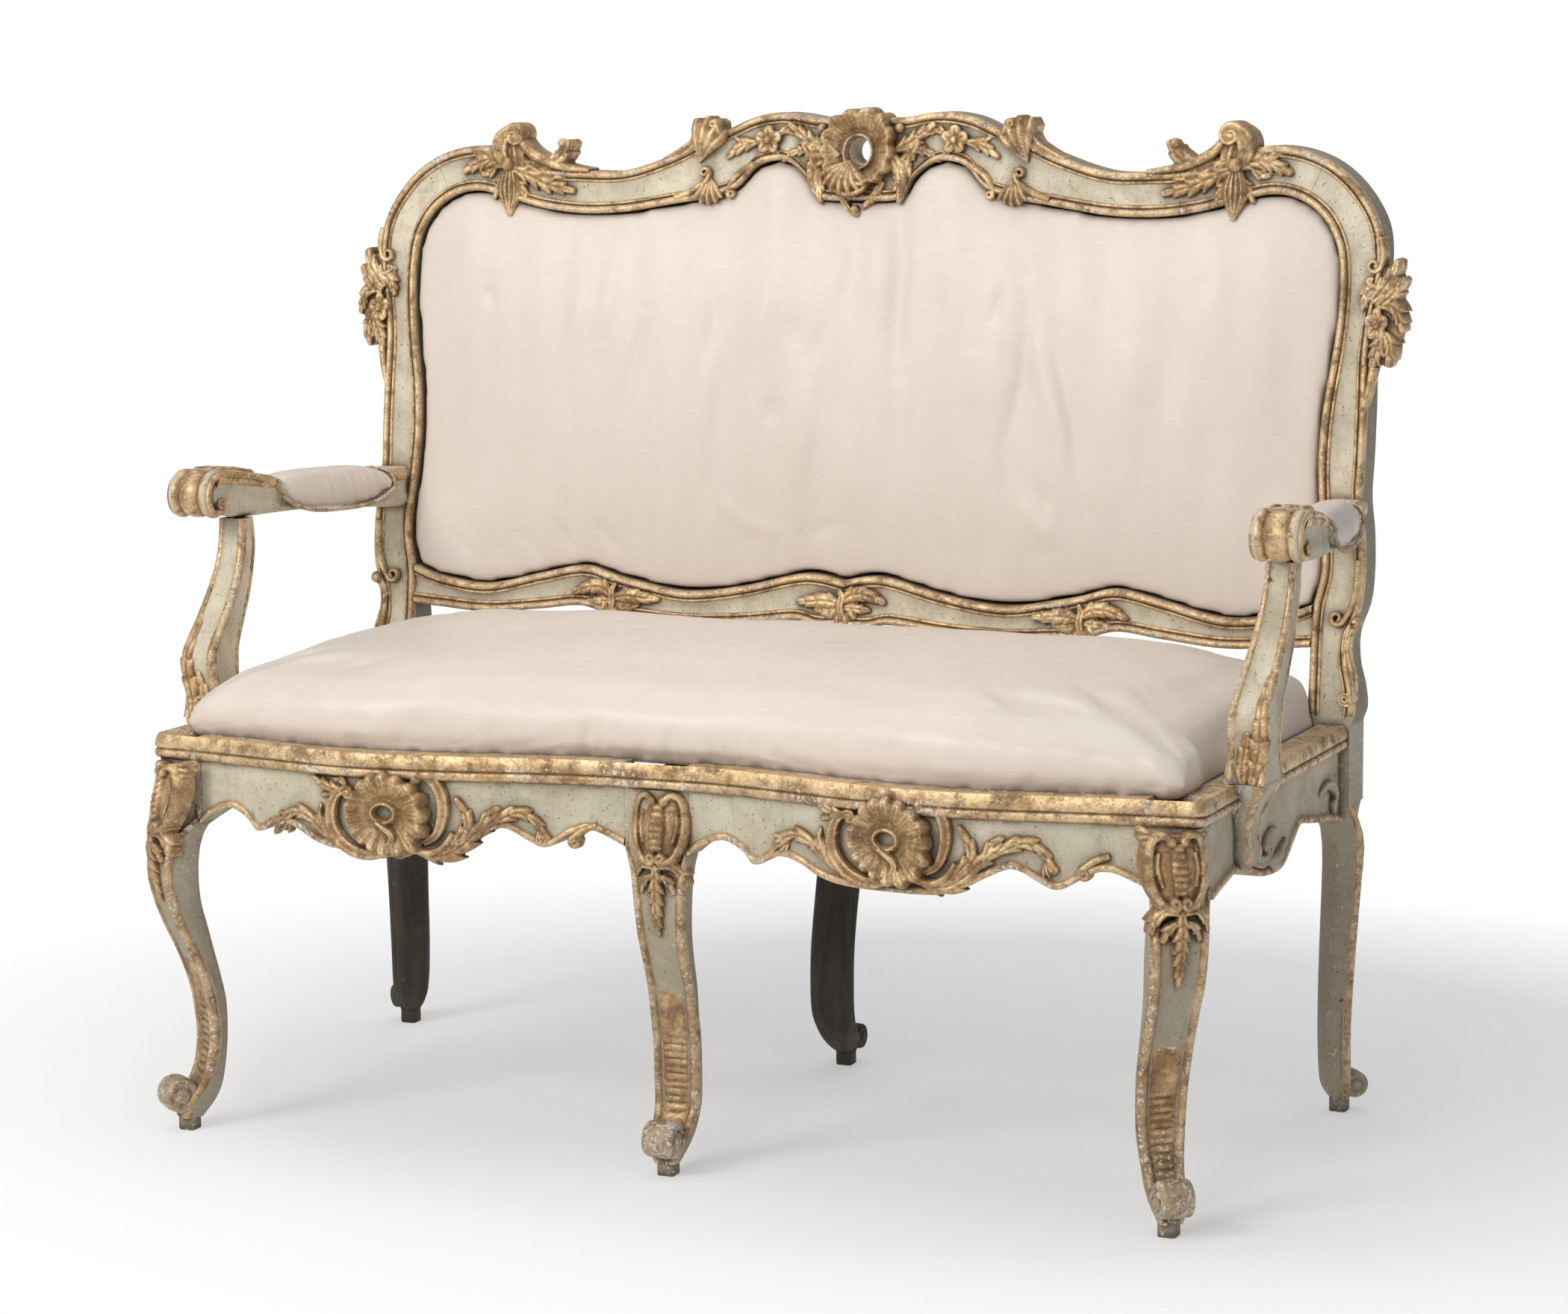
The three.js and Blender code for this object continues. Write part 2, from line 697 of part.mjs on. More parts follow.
function rearSeatRail() {
  const bottom = rearRailBottom;
  const low = [middleBlockHalf + clearance, rearRailBack - rearRailDepth, bottom];
  const high = [postInnerX - clearance, rearRailBack, seatTop];
  return box(low, high).add(rearTenon(1, 0)).add(rearMiddleTenon(1, 0)).subtract(seatWell);
}

// The legs.

// The ring of a leg's shaft in its own plane: distance towards its front, and across it.
const legHeelShare = 0.6;
const legCalfShare = 0.9;

function legRing(front, back, half) {
  const soft = legBead - legBeadHeight;
  const flank = [
    [back, legHeelShare * half], [back + soft, legCalfShare * half], [front - legBead, half],
    [front - legBeadHeight, half - legBeadHeight / 2], [front, half - legBead / 2],
    [front - legBeadHeight, half - legBead],
  ];
  const left = flank.map(([depth, across]) => [depth, -across]);
  return [...left, [front - legBeadHeight, 0], ...flank.reverse()];
}

function legFrame(foot, facing) {
  const out = [Math.cos(facing), Math.sin(facing)];
  const across = [-out[1], out[0]];
  return ([depth, side], z) => [
    foot[0] + depth * out[0] + side * across[0],
    foot[1] + depth * out[1] + side * across[1],
    z,
  ];
}

// A leg's shaft, its scrolled toe and the pad under it. Its top spreads into the block's plan.
function cabriole({ foot, facing, shares, roll, blockRing }) {
  const place = legFrame(foot, facing);
  const rows = shares.map(([up, front, back, half]) => {
    const ring = legRing(front * legReach, back * legReach, half * legHalfWidth);
    return ring.map((point) => place(point, up * legTop));
  });
  const knee = shares.at(-1);
  const kneeRing = legRing(knee[1] * legReach, knee[2] * legReach, knee[3] * legHalfWidth)
    .map((point) => place(point, legTop));
  earBlendShares.forEach(([up, share]) => {
    rows.push(kneeRing.map(([x, y], i) => [
      mix(x, blockRing[i][0], share), mix(y, blockRing[i][1], share), up * legTop,
    ]));
  });
  rows.push(blockRing.map(([x, y]) => [x, y, legTop + blockLap]));
  const across = new THREE.Vector3(-Math.sin(facing), Math.cos(facing), 0);
  const centre = place([roll.out, 0], roll.height);
  const toe = turned(toeProfile(roll), across, centre, toeSegments);
  return loft(rows).add(toe).add(footPad(foot));
}

const toeSegments = 8;
const toeEdgeShare = 0.86;
const toeEyeShare = 0.42;

// The toe is a barrel with a small eye standing out of either end.
function toeProfile({ radius, half }) {
  const edge = toeEdgeShare * half;
  const eye = toeEyeShare * radius;
  return [
    [-half, 0], [-half, eye], [-edge, toeEdgeShare * radius], [-edge / 2, radius],
    [edge / 2, radius], [edge, toeEdgeShare * radius], [half, eye], [half, 0],
  ];
}

function footPad([x, y]) {
  return box([x - padHalf, y - padHalf, 0], [x + padHalf, y + padHalf, padHeight]);
}

// The heights and offsets at which the corner blocks repeat the rails' moulding.
function blockLevels() {
  const levels = mouldingShares.map(([out, down]) => {
    return [out * mouldingProud, seatTop - down * mouldingHeight];
  });
  return [[0, legTop], ...levels];
}

function frontBlockPlan(out) {
  const side = frameHalfWidth + out;
  const corner = faceY(frameHalfWidth) - out;
  const cut = cornerRadius;
  const between = (cornerJointX + frameHalfWidth) / 2;
  return [
    [cornerJointX, faceY(cornerJointX) - out], [between, faceY(between) - out],
    [side - cut, corner], [side - cut / 4, corner + cut / 4], [side, corner + cut],
    [side, cornerJointY],
    [frameHalfWidth - railDepth, cornerJointY],
    [frameHalfWidth - railDepth, faceY(frameHalfWidth) + railDepth],
    [cornerJointX, faceY(cornerJointX) + railDepth],
  ];
}

function stackPlans(plan, levels) {
  return loft(levels.map(([out, z]) => plan(out).map(([x, y]) => [x, y, z])));
}

// The same corner as a ring that the leg's shaft can spread into, just inside the block.
const earPlaceShares = [0.25, 0.5, 0.35, 0.6];

function frontEarRing() {
  const [first, second, third, fourth] = earPlaceShares;
  const inset = clearance;
  const corner = faceY(frameHalfWidth) + inset;
  const side = frameHalfWidth - inset;
  const inner = [frameHalfWidth - railDepth, faceY(frameHalfWidth) + railDepth];
  const joint = cornerJointX + inset;
  const front = faceY(cornerJointX) + inset;
  const rear = cornerJointY - inset;
  const cut = cornerRadius;
  return [
    [(joint + inner[0]) / 2, inner[1] - inset], [joint, faceY(cornerJointX) + railDepth - inset],
    [joint, front + edgeBead], [joint, front], [mix(joint, side, first), front - inset],
    [mix(joint, side, second), faceY(mix(joint, side, second)) + inset],
    [side - cut / 2, corner + cut / 3],
    [side, mix(corner, rear, third)], [side, mix(corner, rear, fourth)], [side, rear],
    [side - edgeBead, rear], [inner[0], rear], [inner[0] - inset, inner[1] + edgeBead],
  ];
}

// How far the block's corner stands out from the foot, along the way that the leg faces.
const frontFacing = -THREE.MathUtils.degToRad(frontLegTurn);
const cornerReach = (frameHalfWidth - cornerRadius / 2 - frontFootX) * Math.cos(frontFacing)
  + (faceY(frameHalfWidth) + cornerRadius / 2 - frontFootY) * Math.sin(frontFacing);

function frontCornerLeg() {
  const foot = [frontFootX, frontFootY];
  const shaft = cabriole({
    foot,
    facing: frontFacing,
    shares: frontLegShares,
    roll: frontRoll,
    blockRing: frontEarRing(),
  });
  return shaft.add(stackPlans(frontBlockPlan, blockLevels()))
    .add(cartouche(foot, frontFacing, frontLegShares, cornerReach))
    .subtract(seatWell)
    .subtract(cornerTenon(1, clearance))
    .subtract(sideFrontTenon(1, clearance));
}

function middleBlockPlan(out) {
  const half = middleBlockHalf;
  const front = [-half, -half / 2, 0, half / 2, half].map((x) => [x, faceY(x) - out]);
  return [...front, [half, frontFaceY + railDepth], [-half, frontFaceY + railDepth]];
}

const earShoulderShare = 0.8;

function straightEarRing(half, front, back) {
  const towards = Math.sign(front - back);
  const inset = clearance * towards;
  const flank = [
    [half / 2, back + inset], [half, back + inset], [half, front - edgeBead * towards],
    [half, front - inset], [earShoulderShare * half, front - inset], [half / 2, front - inset],
  ].map(([x, y]) => [x - clearance, y]);
  const left = flank.map(([x, y]) => [-x, y]);
  const ring = [...left, [0, front - inset], ...flank.slice().reverse()];
  return towards < 0 ? ring : ring.map(([x, y]) => [-x, y]);
}

function frontMiddleLeg() {
  const foot = [middleFootX, middleFootY];
  const shaft = cabriole({
    foot,
    facing: -Math.PI / 2,
    shares: middleLegShares,
    roll: frontRoll,
    blockRing: straightEarRing(middleBlockHalf, frontFaceY, frontFaceY + railDepth),
  });
  return shaft.add(stackPlans(middleBlockPlan, blockLevels()))
    .add(cartouche(foot, -Math.PI / 2, middleLegShares, middleFootY - frontFaceY))
    .subtract(seatWell)
    .subtract(middleTenon(1, clearance))
    .subtract(middleTenon(-1, clearance))
    .subtract(bearerTenon(frontFaceY + railDepth, clearance));
}

function rearMiddleLeg() {
  const [front, back] = [rearRailBack - rearRailDepth, rearRailBack];
  const shaft = cabriole({
    foot: [rearMiddleFootX, rearMiddleFootY],
    facing: Math.PI / 2,
    shares: rearMiddleLegShares,
    roll: rearRoll,
    blockRing: straightEarRing(middleBlockHalf, back, front),
  });
  const block = box([-middleBlockHalf, front, legTop], [middleBlockHalf, back, seatTop]);
  return shaft.add(block)
    .subtract(seatWell)
    .subtract(rearMiddleTenon(1, clearance))
    .subtract(rearMiddleTenon(-1, clearance))
    .subtract(bearerTenon(rearRailBack - rearRailDepth, clearance));
}

// The back posts: each is one timber from the rear foot to the shoulder.

// The ring on the post that the rear leg spreads into: shares of the post's width and depth.
const rearEarShares = [
  [0.4, 0], [0.7, 0], [0.92, 0], [1, 0.06], [1, 0.28], [1, 0.55], [1, 1], [0.55, 1], [0.28, 1],
  [0.06, 1], [0, 0.92], [0, 0.6], [0, 0.2],
];

function rearEarRing() {
  const [left, right] = [postInnerX + clearance, postOuterX - clearance];
  const [front, back] = [backFaceY + clearance, backFaceY + postDepth - clearance];
  return rearEarShares.map(([across, along]) => [mix(left, right, across), mix(front, back, along)]);
}

function postFoot() {
  return cabriole({
    foot: [rearFootX, rearFootY],
    facing: THREE.MathUtils.degToRad(rearLegTurn),
    shares: rearLegShares,
    roll: rearRoll,
    blockRing: rearEarRing(),
  });
}

// Beside the seat frame the post's front is flat: its beads end just above the seat.
const postFlatSteps = 0.4;

function postShaft(grow = 0) {
  const beaded = backRings(shoulderJoint, backSteps - postFlatSteps, grow);
  const end = backRings(shoulderJoint, backSteps, grow).at(-1);
  const flat = [seatTop + clearance, legTop].map((z) => {
    return end.map(([x, y]) => [x, Math.max(y, backFaceY - grow), z]);
  });
  return loft([...beaded, ...flat]);
}

// The saw cut between the crest and the post, in steps of the outline's tables.
const gapSteps = 0.008;

function shoulderGap() {
  const [start, end] = [shoulderJoint - gapSteps / 2, shoulderJoint + gapSteps / 2];
  return loft(backStations(start, end).map((t) => {
    return backSection(backOuter.getPoint(t), backInner.getPoint(t), cutMargin);
  }));
}

function backPost() {
  return postShaft()
    .add(postFoot())
    .subtract(shoulderGap())
    .subtract(shoulderTongue(clearance))
    .subtract(lowerRailTenon(1, clearance))
    .subtract(sideRearTenon(1, clearance))
    .subtract(rearTenon(1, clearance))
    .subtract(armTenon(clearance));
}

function crestRail() {
  const tongue = shoulderTongue(0);
  const hole = turned(
    [[-overrun, 0], [-overrun, shellHoleRadius + clearance],
      [backThickness * 2, shellHoleRadius + clearance], [backThickness * 2, 0]],
    new THREE.Vector3(0, 1, 0),
    onBack(0, crestShellZ, 0),
    holeSegments,
  );
  const gap = shoulderGap();
  return crestSolid()
    .subtract(gap)
    .subtract(mirrored(gap))
    .add(tongue)
    .add(mirrored(tongue))
    .subtract(hole);
}

const holeSegments = 16;

function lowerBackRail() {
  return lowerRailSolid().add(lowerRailTenon(1, 0)).add(lowerRailTenon(-1, 0));
}

// The arms.

const armLength = onBack(0, armUnderside, 0)[1] - armRollY;

function armRow([along, sweep, under, top, half]) {
  return {
    x: armEndX + sweep * armOutsweep,
    y: armRollY + (1 - along) * armLength - (along === 0 ? clearance : 0),
    low: armUnderside + under * armLift,
    high: armUnderside + top * armDeep,
    half: half * armHalfWidth,
  };
}

// A rounded section across the arm.
const armSoftShare = 0.28;
const armFlatShare = 0.63;

function armRing({ x, y, low, high, half }, grow = 0) {
  const soften = armSoftShare * (high - low);
  const flat = armFlatShare * half;
  const right = [
    [flat, low - grow], [half + grow, low + soften], [half + grow, high - soften],
    [flat, high + grow],
  ];
  const left = right.map(([across, z]) => [-across, z]).reverse();
  return [...right, ...left].map(([across, z]) => [x + across, y, z]);
}

// The end of the arm follows the raked face of the post that it meets.
function rakedEnd(ring) {
  return ring.map(([x, , z]) => onBack(x, z, 0));
}

function armBody(grow = 0) {
  const rings = armShares.map((row) => armRing(armRow(row), grow));
  rings[0] = rakedEnd(rings[0]);
  return loft(rings);
}

const armRollSegments = 12;
const rollRibShares = [
  [-1, 0], [-1, 0.4], [-0.9, 0.9], [-0.7, 1], [-0.45, 0.88], [0, 0.96],
  [0.45, 0.88], [0.7, 1], [0.9, 0.9], [1, 0.4], [1, 0],
];

function armRoll() {
  const profile = rollRibShares.map(([along, out]) => [along * armRollHalf, out * armRollRadius]);
  const place = [armEndX + armOutsweep, armRollY, armRollZ];
  return turned(profile, new THREE.Vector3(1, 0, 0), place, armRollSegments);
}

function armTenon(grow) {
  const z = armUnderside + armLift;
  const [, y] = onBack(0, z, 0);
  const half = tenonThickness / 2 + grow;
  const tall = armTenonHeight / 2 + grow;
  const low = [armEndX - half, y - tenonLength, z - tall];
  const high = [armEndX + half, y + tenonLength + grow, z + tall];
  return box(low, high);
}

function arm() {
  return armBody()
    .subtract(postShaft(clearance))
    .add(armRoll())
    .add(armTenon(0))
    .subtract(supportHeadTenon(clearance));
}

// A saddle over the arm, with the cover drawn down over its sides: shares of its half width,
// and of its rise over the arm.
const padSectionShares = [[1, 0.05], [0.82, 0.72], [0.45, 0.95]];
const padEndShare = 0.25;
const padRoundness = 4;
const padWrap = 3;
const padSteps = 6;

function armPad() {
  const rings = Array.from({ length: padSteps + 1 }, (_, i) => {
    const share = i / padSteps;
    const row = armRowAt(mix(padRearShare, padFrontShare, share));
    const swell = Math.sqrt(1 - (2 * share - 1) ** padRoundness);
    const rise = armPadRise * mix(padEndShare, 1, swell);
    const half = row.half + padWrap;
    const right = padSectionShares.map(([across, up]) => [across * half, row.high + up * rise]);
    right.unshift([half, row.high - armPadSide]);
    const left = right.map(([across, z]) => [-across, z]).reverse();
    return [...right, [0, row.high + rise], ...left].map(([across, z]) => {
      return [row.x + across, row.y, z];
    });
  });
  return loft(rings).subtract(armBody(clearance));
}

// The arm's row at any share of its length, without the step at the pad's front end.
const padBedShares = [0.42, 0.52];

function armRowAt(along) {
  const after = armShares.findIndex((row) => row[0] >= along);
  const [start, end] = [armShares[after - 1], armShares[after]];
  const [a, b] = [armRow(start), armRow(end)];
  const share = (along - start[0]) / (end[0] - start[0]);
  const row = Object.fromEntries(Object.keys(a).map((key) => [key, mix(a[key], b[key], share)]));
  row.high = armUnderside + mix(...padBedShares, along / padFrontShare) * armDeep;
  return row;
}

const supportFoot = seatTop + clearance;
const supportHeelShare = 0.8;

function armSupportBody(grow = 0) {
  return loft(supportShares.map(([up, front, back, half]) => {
    const z = mix(supportFoot, supportTop, up);
    const x = mix(supportBaseX, supportTopX, up);
    const wide = half * supportHalfWidth + grow;
    const frontY = supportTopY - front * supportFrontReach - grow;
    const backY = supportTopY - back * supportFrontReach + grow;
    const soft = legBead / 2;
    return [
      [-wide * supportHeelShare, backY], [-wide, backY - soft],
      [-wide, frontY + soft], [-wide + soft, frontY],
      [0, frontY + legBeadHeight], [wide - soft, frontY], [wide, frontY + soft],
      [wide, backY - soft], [wide * supportHeelShare, backY],
    ].map(([across, y]) => [x + across, y, z]);
  }));
}

function supportTenon(grow) {
  const y = supportTopY - mix(supportShares[0][1], supportShares[0][2], 0.5) * supportFrontReach;
  const half = tenonThickness / 2 + grow;
  const wide = tenonThickness + grow;
  const low = [supportBaseX - half, y - wide, seatTop - tenonLength - grow];
  const high = [supportBaseX + half, y + wide, seatTop + tenonLength];
  return box(low, high);
}

function supportHeadTenon(grow) {
  const y = supportTopY - supportShares.at(-1)[1] * supportFrontReach / 2;
  const half = tenonThickness / 2 + grow;
  const low = [supportTopX - half, y - half, supportTop - tenonLength];
  const high = [supportTopX + half, y + half, supportTop + tenonLength + grow];
  return box(low, high);
}

function armSupport() {
  return armSupportBody()
    .subtract(armBody(clearance))
    .add(supportTenon(0))
    .add(supportHeadTenon(0));
}

// The inner structure of the seat.

const bearerTop = seatTop - ledgeDepth - clearance;
const bearerShoulder = 8;

function bearerTenon(y, grow) {
  const half = tenonThickness / 2 + grow;
  const [bottom, top] = [bearerTop - bearerHeight + bearerShoulder, bearerTop - bearerShoulder];
  const low = [-half, y - tenonLength - grow, bottom - grow];
  const high = [half, y + tenonLength + grow, top + grow];
  return box(low, high);
}

function crossBearer() {
  const front = frontFaceY + railDepth;
  const rear = rearRailBack - rearRailDepth;
  const low = [-bearerHalf, front + clearance, bearerTop - bearerHeight];
  const high = [bearerHalf, rear - clearance, bearerTop];
  return box(low, high).add(bearerTenon(front, 0)).add(bearerTenon(rear, 0));
}

// A triangular brace glued into a corner of the seat frame.
function cornerBrace(outline) {
  return prism(outline, bearerTop - bearerHeight, bearerTop);
}

const braceSteps = 5;

function frontBrace() {
  const side = frameHalfWidth - railDepth - clearance;
  const block = Math.max(faceY(cornerJointX), faceY(frameHalfWidth)) + railDepth + clearance;
  const along = Array.from({ length: braceSteps + 1 }, (_, i) => {
    const x = mix(side - braceLeg, cornerJointX - clearance, i / braceSteps);
    return [x, faceY(x) + railDepth + clearance];
  });
  return cornerBrace([...along, [cornerJointX - clearance, block], [side, block], [side, block + braceLeg]]);
}

function rearBrace() {
  const side = frameHalfWidth - railDepth - clearance;
  const rear = rearRailBack - rearRailDepth - clearance;
  const postSide = postInnerX - clearance;
  const postFront = backFaceY - clearance;
  return cornerBrace([
    [side, postFront - braceLeg], [side, postFront], [postSide, postFront],
    [postSide, rear], [postSide - braceLeg, rear],
  ]);
}

// Webbing tacked to the ledge, in one woven layer.
function seatWebbing() {
  const low = seatTop - ledgeDepth + clearance;
  const high = low + webThickness;
  const halfWeb = webWidth / 2;
  const inset = webInset;
  const reach = frameHalfWidth - seatLip - inset;
  const columns = Array.from({ length: webColumns }, (_, i) => {
    const x = mix(-reach + webWidth, reach - webWidth, i / (webColumns - 1));
    const front = Math.max(faceY(x - halfWeb), faceY(x + halfWeb)) + seatLip + inset;
    const rear = Math.abs(x) + halfWeb > postInnerX - wellPostGap - inset
      ? backFaceY - wellPostGap - inset
      : seatWellRear - inset;
    return box([x - halfWeb, front, low], [x + halfWeb, rear, high]);
  });
  const [nearest, farthest] = [frontFaceY + railDepth + webWidth, backFaceY - webWidth];
  const rows = Array.from({ length: webRows }, (_, i) => {
    const y = mix(nearest, farthest, i / (webRows - 1));
    return box([-reach, y - halfWeb, low], [reach, y + halfWeb, high]);
  });
  return union([...columns, ...rows]);
}

// The upholstery.

// Rings of a stuffed body, from its foot over its shoulder to the middle of its crown: the share
// of the outline's size, and the share of the crown reached there.
const droopPower = 6;
const rearFall = 20;
const cushionSideShares = [[0, 0], [0.22, 0.7], [0.55, 1], [0.85, 0.5]];
const crownShares = [[0.985, 0.12], [0.94, 0.36], [0.84, 0.6], [0.66, 0.84], [0.34, 1]];

function seatCushion() {
  const foot = seatTop - ledgeDepth + webThickness + 2 * clearance;
  const outline = wellOutline(clearance);
  const centre = [0, mix(frontFaceY, seatWellRear, 0.5)];
  const reach = frameHalfWidth - seatLip;
  const shoulder = ([x, y]) => {
    const forward = Math.max((centre[1] - y) / (centre[1] - frontFaceY), 0);
    const behind = Math.max((y - centre[1]) / (seatWellRear - centre[1]), 0);
    const droop = cornerDroop * forward * (Math.abs(x) / reach) ** droopPower;
    return cushionShoulder - droop - rearFall * behind ** 2;
  };
  const level = seatTop + clearance;
  const rings = cushionSideShares.map(([up, belly]) => outline.map(([x, y]) => {
    const sideways = y < cornerJointY ? Math.sign(x) * seatBelly * belly : 0;
    const forward = y < centre[1] ? seatBelly * belly : 0;
    return [x + sideways, y - forward, mix(level, foot + shoulder([x, y]), up)];
  }));
  rings.unshift(outline.map(([x, y]) => [x, y, foot]));
  crownShares.forEach(([size, rise]) => rings.push(outline.map((point) => [
    mix(centre[0], point[0], size),
    mix(centre[1], point[1], size),
    foot + mix(shoulder(point), cushionShoulder, rise) + rise * cushionCrown,
  ])));
  return loft(rings);
}

// The back's stuffed panel fills the frame's opening and swells towards the sitter.
const backOpeningEnd = 23;

function openingOutline(inset) {
  const over = Array.from({ length: backOpeningEnd + 1 }, (_, step) => {
    return backInner.getPoint(step / backSteps);
  });
  const under = Array.from({ length: lowerSteps + 1 }, (_, i) => {
    return lowerTop.getPoint(1 - i / lowerSteps);
  });
  const half = [...over, ...under];
  const middle = mix(seatTop, crestTop, 0.5);
  const eased = half.map((point) => {
    const reach = Math.hypot(point.x, point.y - middle);
    const share = (reach - inset) / reach;
    return [point.x * share, middle + (point.y - middle) * share];
  });
  const left = eased.slice(1, -1).reverse().map(([x, z]) => [-x, z]);
  return [...eased, ...left];
}

const padEdgeInset = 2;
const backCrownShares = [
  [1, 0], [0.975, 0.3], [0.93, 0.5], [0.8, 0.78], [0.52, 0.96], [0.2, 1],
];

function backPad(grow = 0) {
  const outline = openingOutline(padEdgeInset - grow);
  const middle = mix(seatTop, crestTop, 0.5);
  const ring = (size, proud) => outline.map(([x, z]) => {
    return onBack(x * size, middle + (z - middle) * size, proud + grow);
  });
  const rings = backCrownShares.map(([size, rise]) => ring(size, rise * backPadCrown - backPadSink));
  return loft([ring(1, -backPadRear - grow), ...rings]);
}

// The linen that the back's stuffing lies on, and the cloth that closes the back.
function backLinen() {
  const outline = openingOutline(padEdgeInset);
  const front = -backPadRear - clearance;
  return loft([front, front - clothThickness].map((proud) => {
    return outline.map(([x, z]) => onBack(x, z, proud));
  }));
}

function outsideBackCloth() {
  const outline = openingOutline(-clothLap);
  return loft([clearance, clearance + clothThickness].map((off) => {
    return outline.map(([x, z]) => onBack(x, z, -backDepth(z) - off));
  }));
}

// The carvings.

// A tapering round bar along hand-set places, as scrolls and leaf stems are: each place gives
// its position on the surface, how proud it stands, and its radius there.
const barSides = 5;
const barSteps = 1.5;

function carvedBar(places, onSurface) {
  const path = new THREE.CatmullRomCurve3(places.map(([x, z, proud]) => {
    return new THREE.Vector3(...onSurface(x, z, proud));
  }));
  const radii = new THREE.SplineCurve(places.map((place, i) => new THREE.Vector2(i, place[3])));
  const count = Math.round((places.length - 1) * barSteps);
  const rings = Array.from({ length: count + 1 }, (_, i) => {
    const t = i / count;
    const centre = path.getPoint(t);
    const ahead = path.getTangent(t);
    const out = new THREE.Vector3(0, -1, 0);
    out.addScaledVector(ahead, -out.dot(ahead)).normalize();
    const side = new THREE.Vector3().crossVectors(ahead, out);
    const radius = Math.max(radii.getPoint(t).y, clearance);
    return Array.from({ length: barSides }, (__, k) => {
      const turn = 2 * Math.PI * k / barSides;
      return centre.clone()
        .addScaledVector(out, Math.cos(turn) * radius)
        .addScaledVector(side, Math.sin(turn) * radius)
        .toArray();
    });
  });
  return loft(rings);
}

// A fluted shell round a pierced eye: its lip is scalloped and turned forward.
const shellFlutes = 11;
const shellSteps = 22;
const shellRingShares = [[0, 0.35], [0.65, 0.7], [1, 1]];
const lipScallopShare = 0.07;
const fluteDepthShare = 0.12;

function flutedShell({ x, z, radius, hole, depth, onSurface }) {
  const wave = (turn) => Math.abs(Math.cos(turn * shellFlutes / 2));
  const point = (turn, share, height) => {
    const lip = radius * (1 - lipScallopShare * (1 - wave(turn)) * share);
    const reach = mix(hole, lip, share);
    const flute = share * fluteDepthShare * (wave(turn) - 0.5) * depth;
    return onSurface(
      x + reach * Math.sin(turn),
      z + reach * Math.cos(turn),
      height * depth + (height > 0 ? flute : 0),
    );
  };
  const turns = Array.from({ length: shellSteps }, (_, i) => 2 * Math.PI * i / shellSteps);
  const section = [...shellRingShares, [1, -carvingSink / depth], [0, -carvingSink / depth]];
  const rings = turns.map((turn) => section.map(([share, height]) => point(turn, share, height)));
  return ringBody(rings);
}

// Closes a row of sections on itself, as round a hole.
function ringBody(rings) {
  const count = rings[0].length;
  const index = [];
  rings.forEach((_, ring) => {
    const after = (ring + 1) % rings.length;
    for (let i = 0; i < count; i += 1) {
      const j = (i + 1) % count;
      const [a, b, c, d] = [ring * count + i, ring * count + j, after * count + j, after * count + i];
      index.push(a, b, c, a, c, d);
    }
  });
  return solidOf(geometryOf(rings.flat(2), index));
}

// Places on the back's carvings are shares of the crest shell's radius, from its centre.
function aroundCrest(places) {
  return places.map(([x, z, proud, radius]) => [
    x * crestShellRadius, crestShellZ + z * crestShellRadius,
    proud * carvingProud, radius * crestShellRadius,
  ]);
}

const crestFootScrollShares = [
  [0.25, -0.9, 0.2, 0.2], [0.75, -1.2, 0.35, 0.3], [1.2, -1.3, 0.4, 0.27], [1.42, -1.05, 0.35, 0.16],
];
const crestFoldShares = [
  [0.72, -0.72, 0.3, 0.2], [0.35, -1.05, 0.7, 0.34], [-0.1, -1.22, 0.8, 0.32], [-0.4, -1.02, 0.6, 0.2],
];
const crestDropShares = [[0, -1.2, 0.4, 0.2], [0.02, -1.45, 0.4, 0.17], [0, -1.62, 0.35, 0.05]];
const crestCurlShares = [
  [0.7, 0.1, 0, 0.12], [1.05, 0.35, 0.3, 0.16], [1.42, 0.45, 0.35, 0.17], [1.7, 0.2, 0.2, 0.1],
];

function bothSides(shares) {
  return [shares, shares.map(([x, ...rest]) => [-x, ...rest])];
}

function crestShell() {
  const shell = flutedShell({
    x: 0,
    z: crestShellZ,
    radius: crestShellRadius,
    hole: shellHoleRadius,
    depth: shellDepth,
    onSurface: onBack,
  });
  const tables = [
    ...bothSides(crestFootScrollShares), crestFoldShares, crestDropShares,
    ...bothSides(crestCurlShares),
  ];
  const bars = tables.map((shares) => carvedBar(aroundCrest(shares), onBack));
  return cutToSeat(union([shell, ...bars]), crestSolid(clearance).add(backPad(clearance)));
}

// A carving's back is cut to the rail that carries it.
function cutToSeat(carving, seat) {
  return carving.subtract(seat);
}

// Places beside the shoulder are shares of the height from the seat to the crest.
const shoulderShares = { across: 0.7254, up: 0.9142 };
const shoulderX = shoulderShares.across * backHalfWidth;
const shoulderZ = mix(seatTop, crestTop, shoulderShares.up);
const scrollSize = 44;

function aroundShoulder(places) {
  return places.map(([x, z, proud, radius]) => [
    shoulderX + x * scrollSize, shoulderZ + z * scrollSize, proud * carvingProud, radius * scrollSize,
  ]);
}

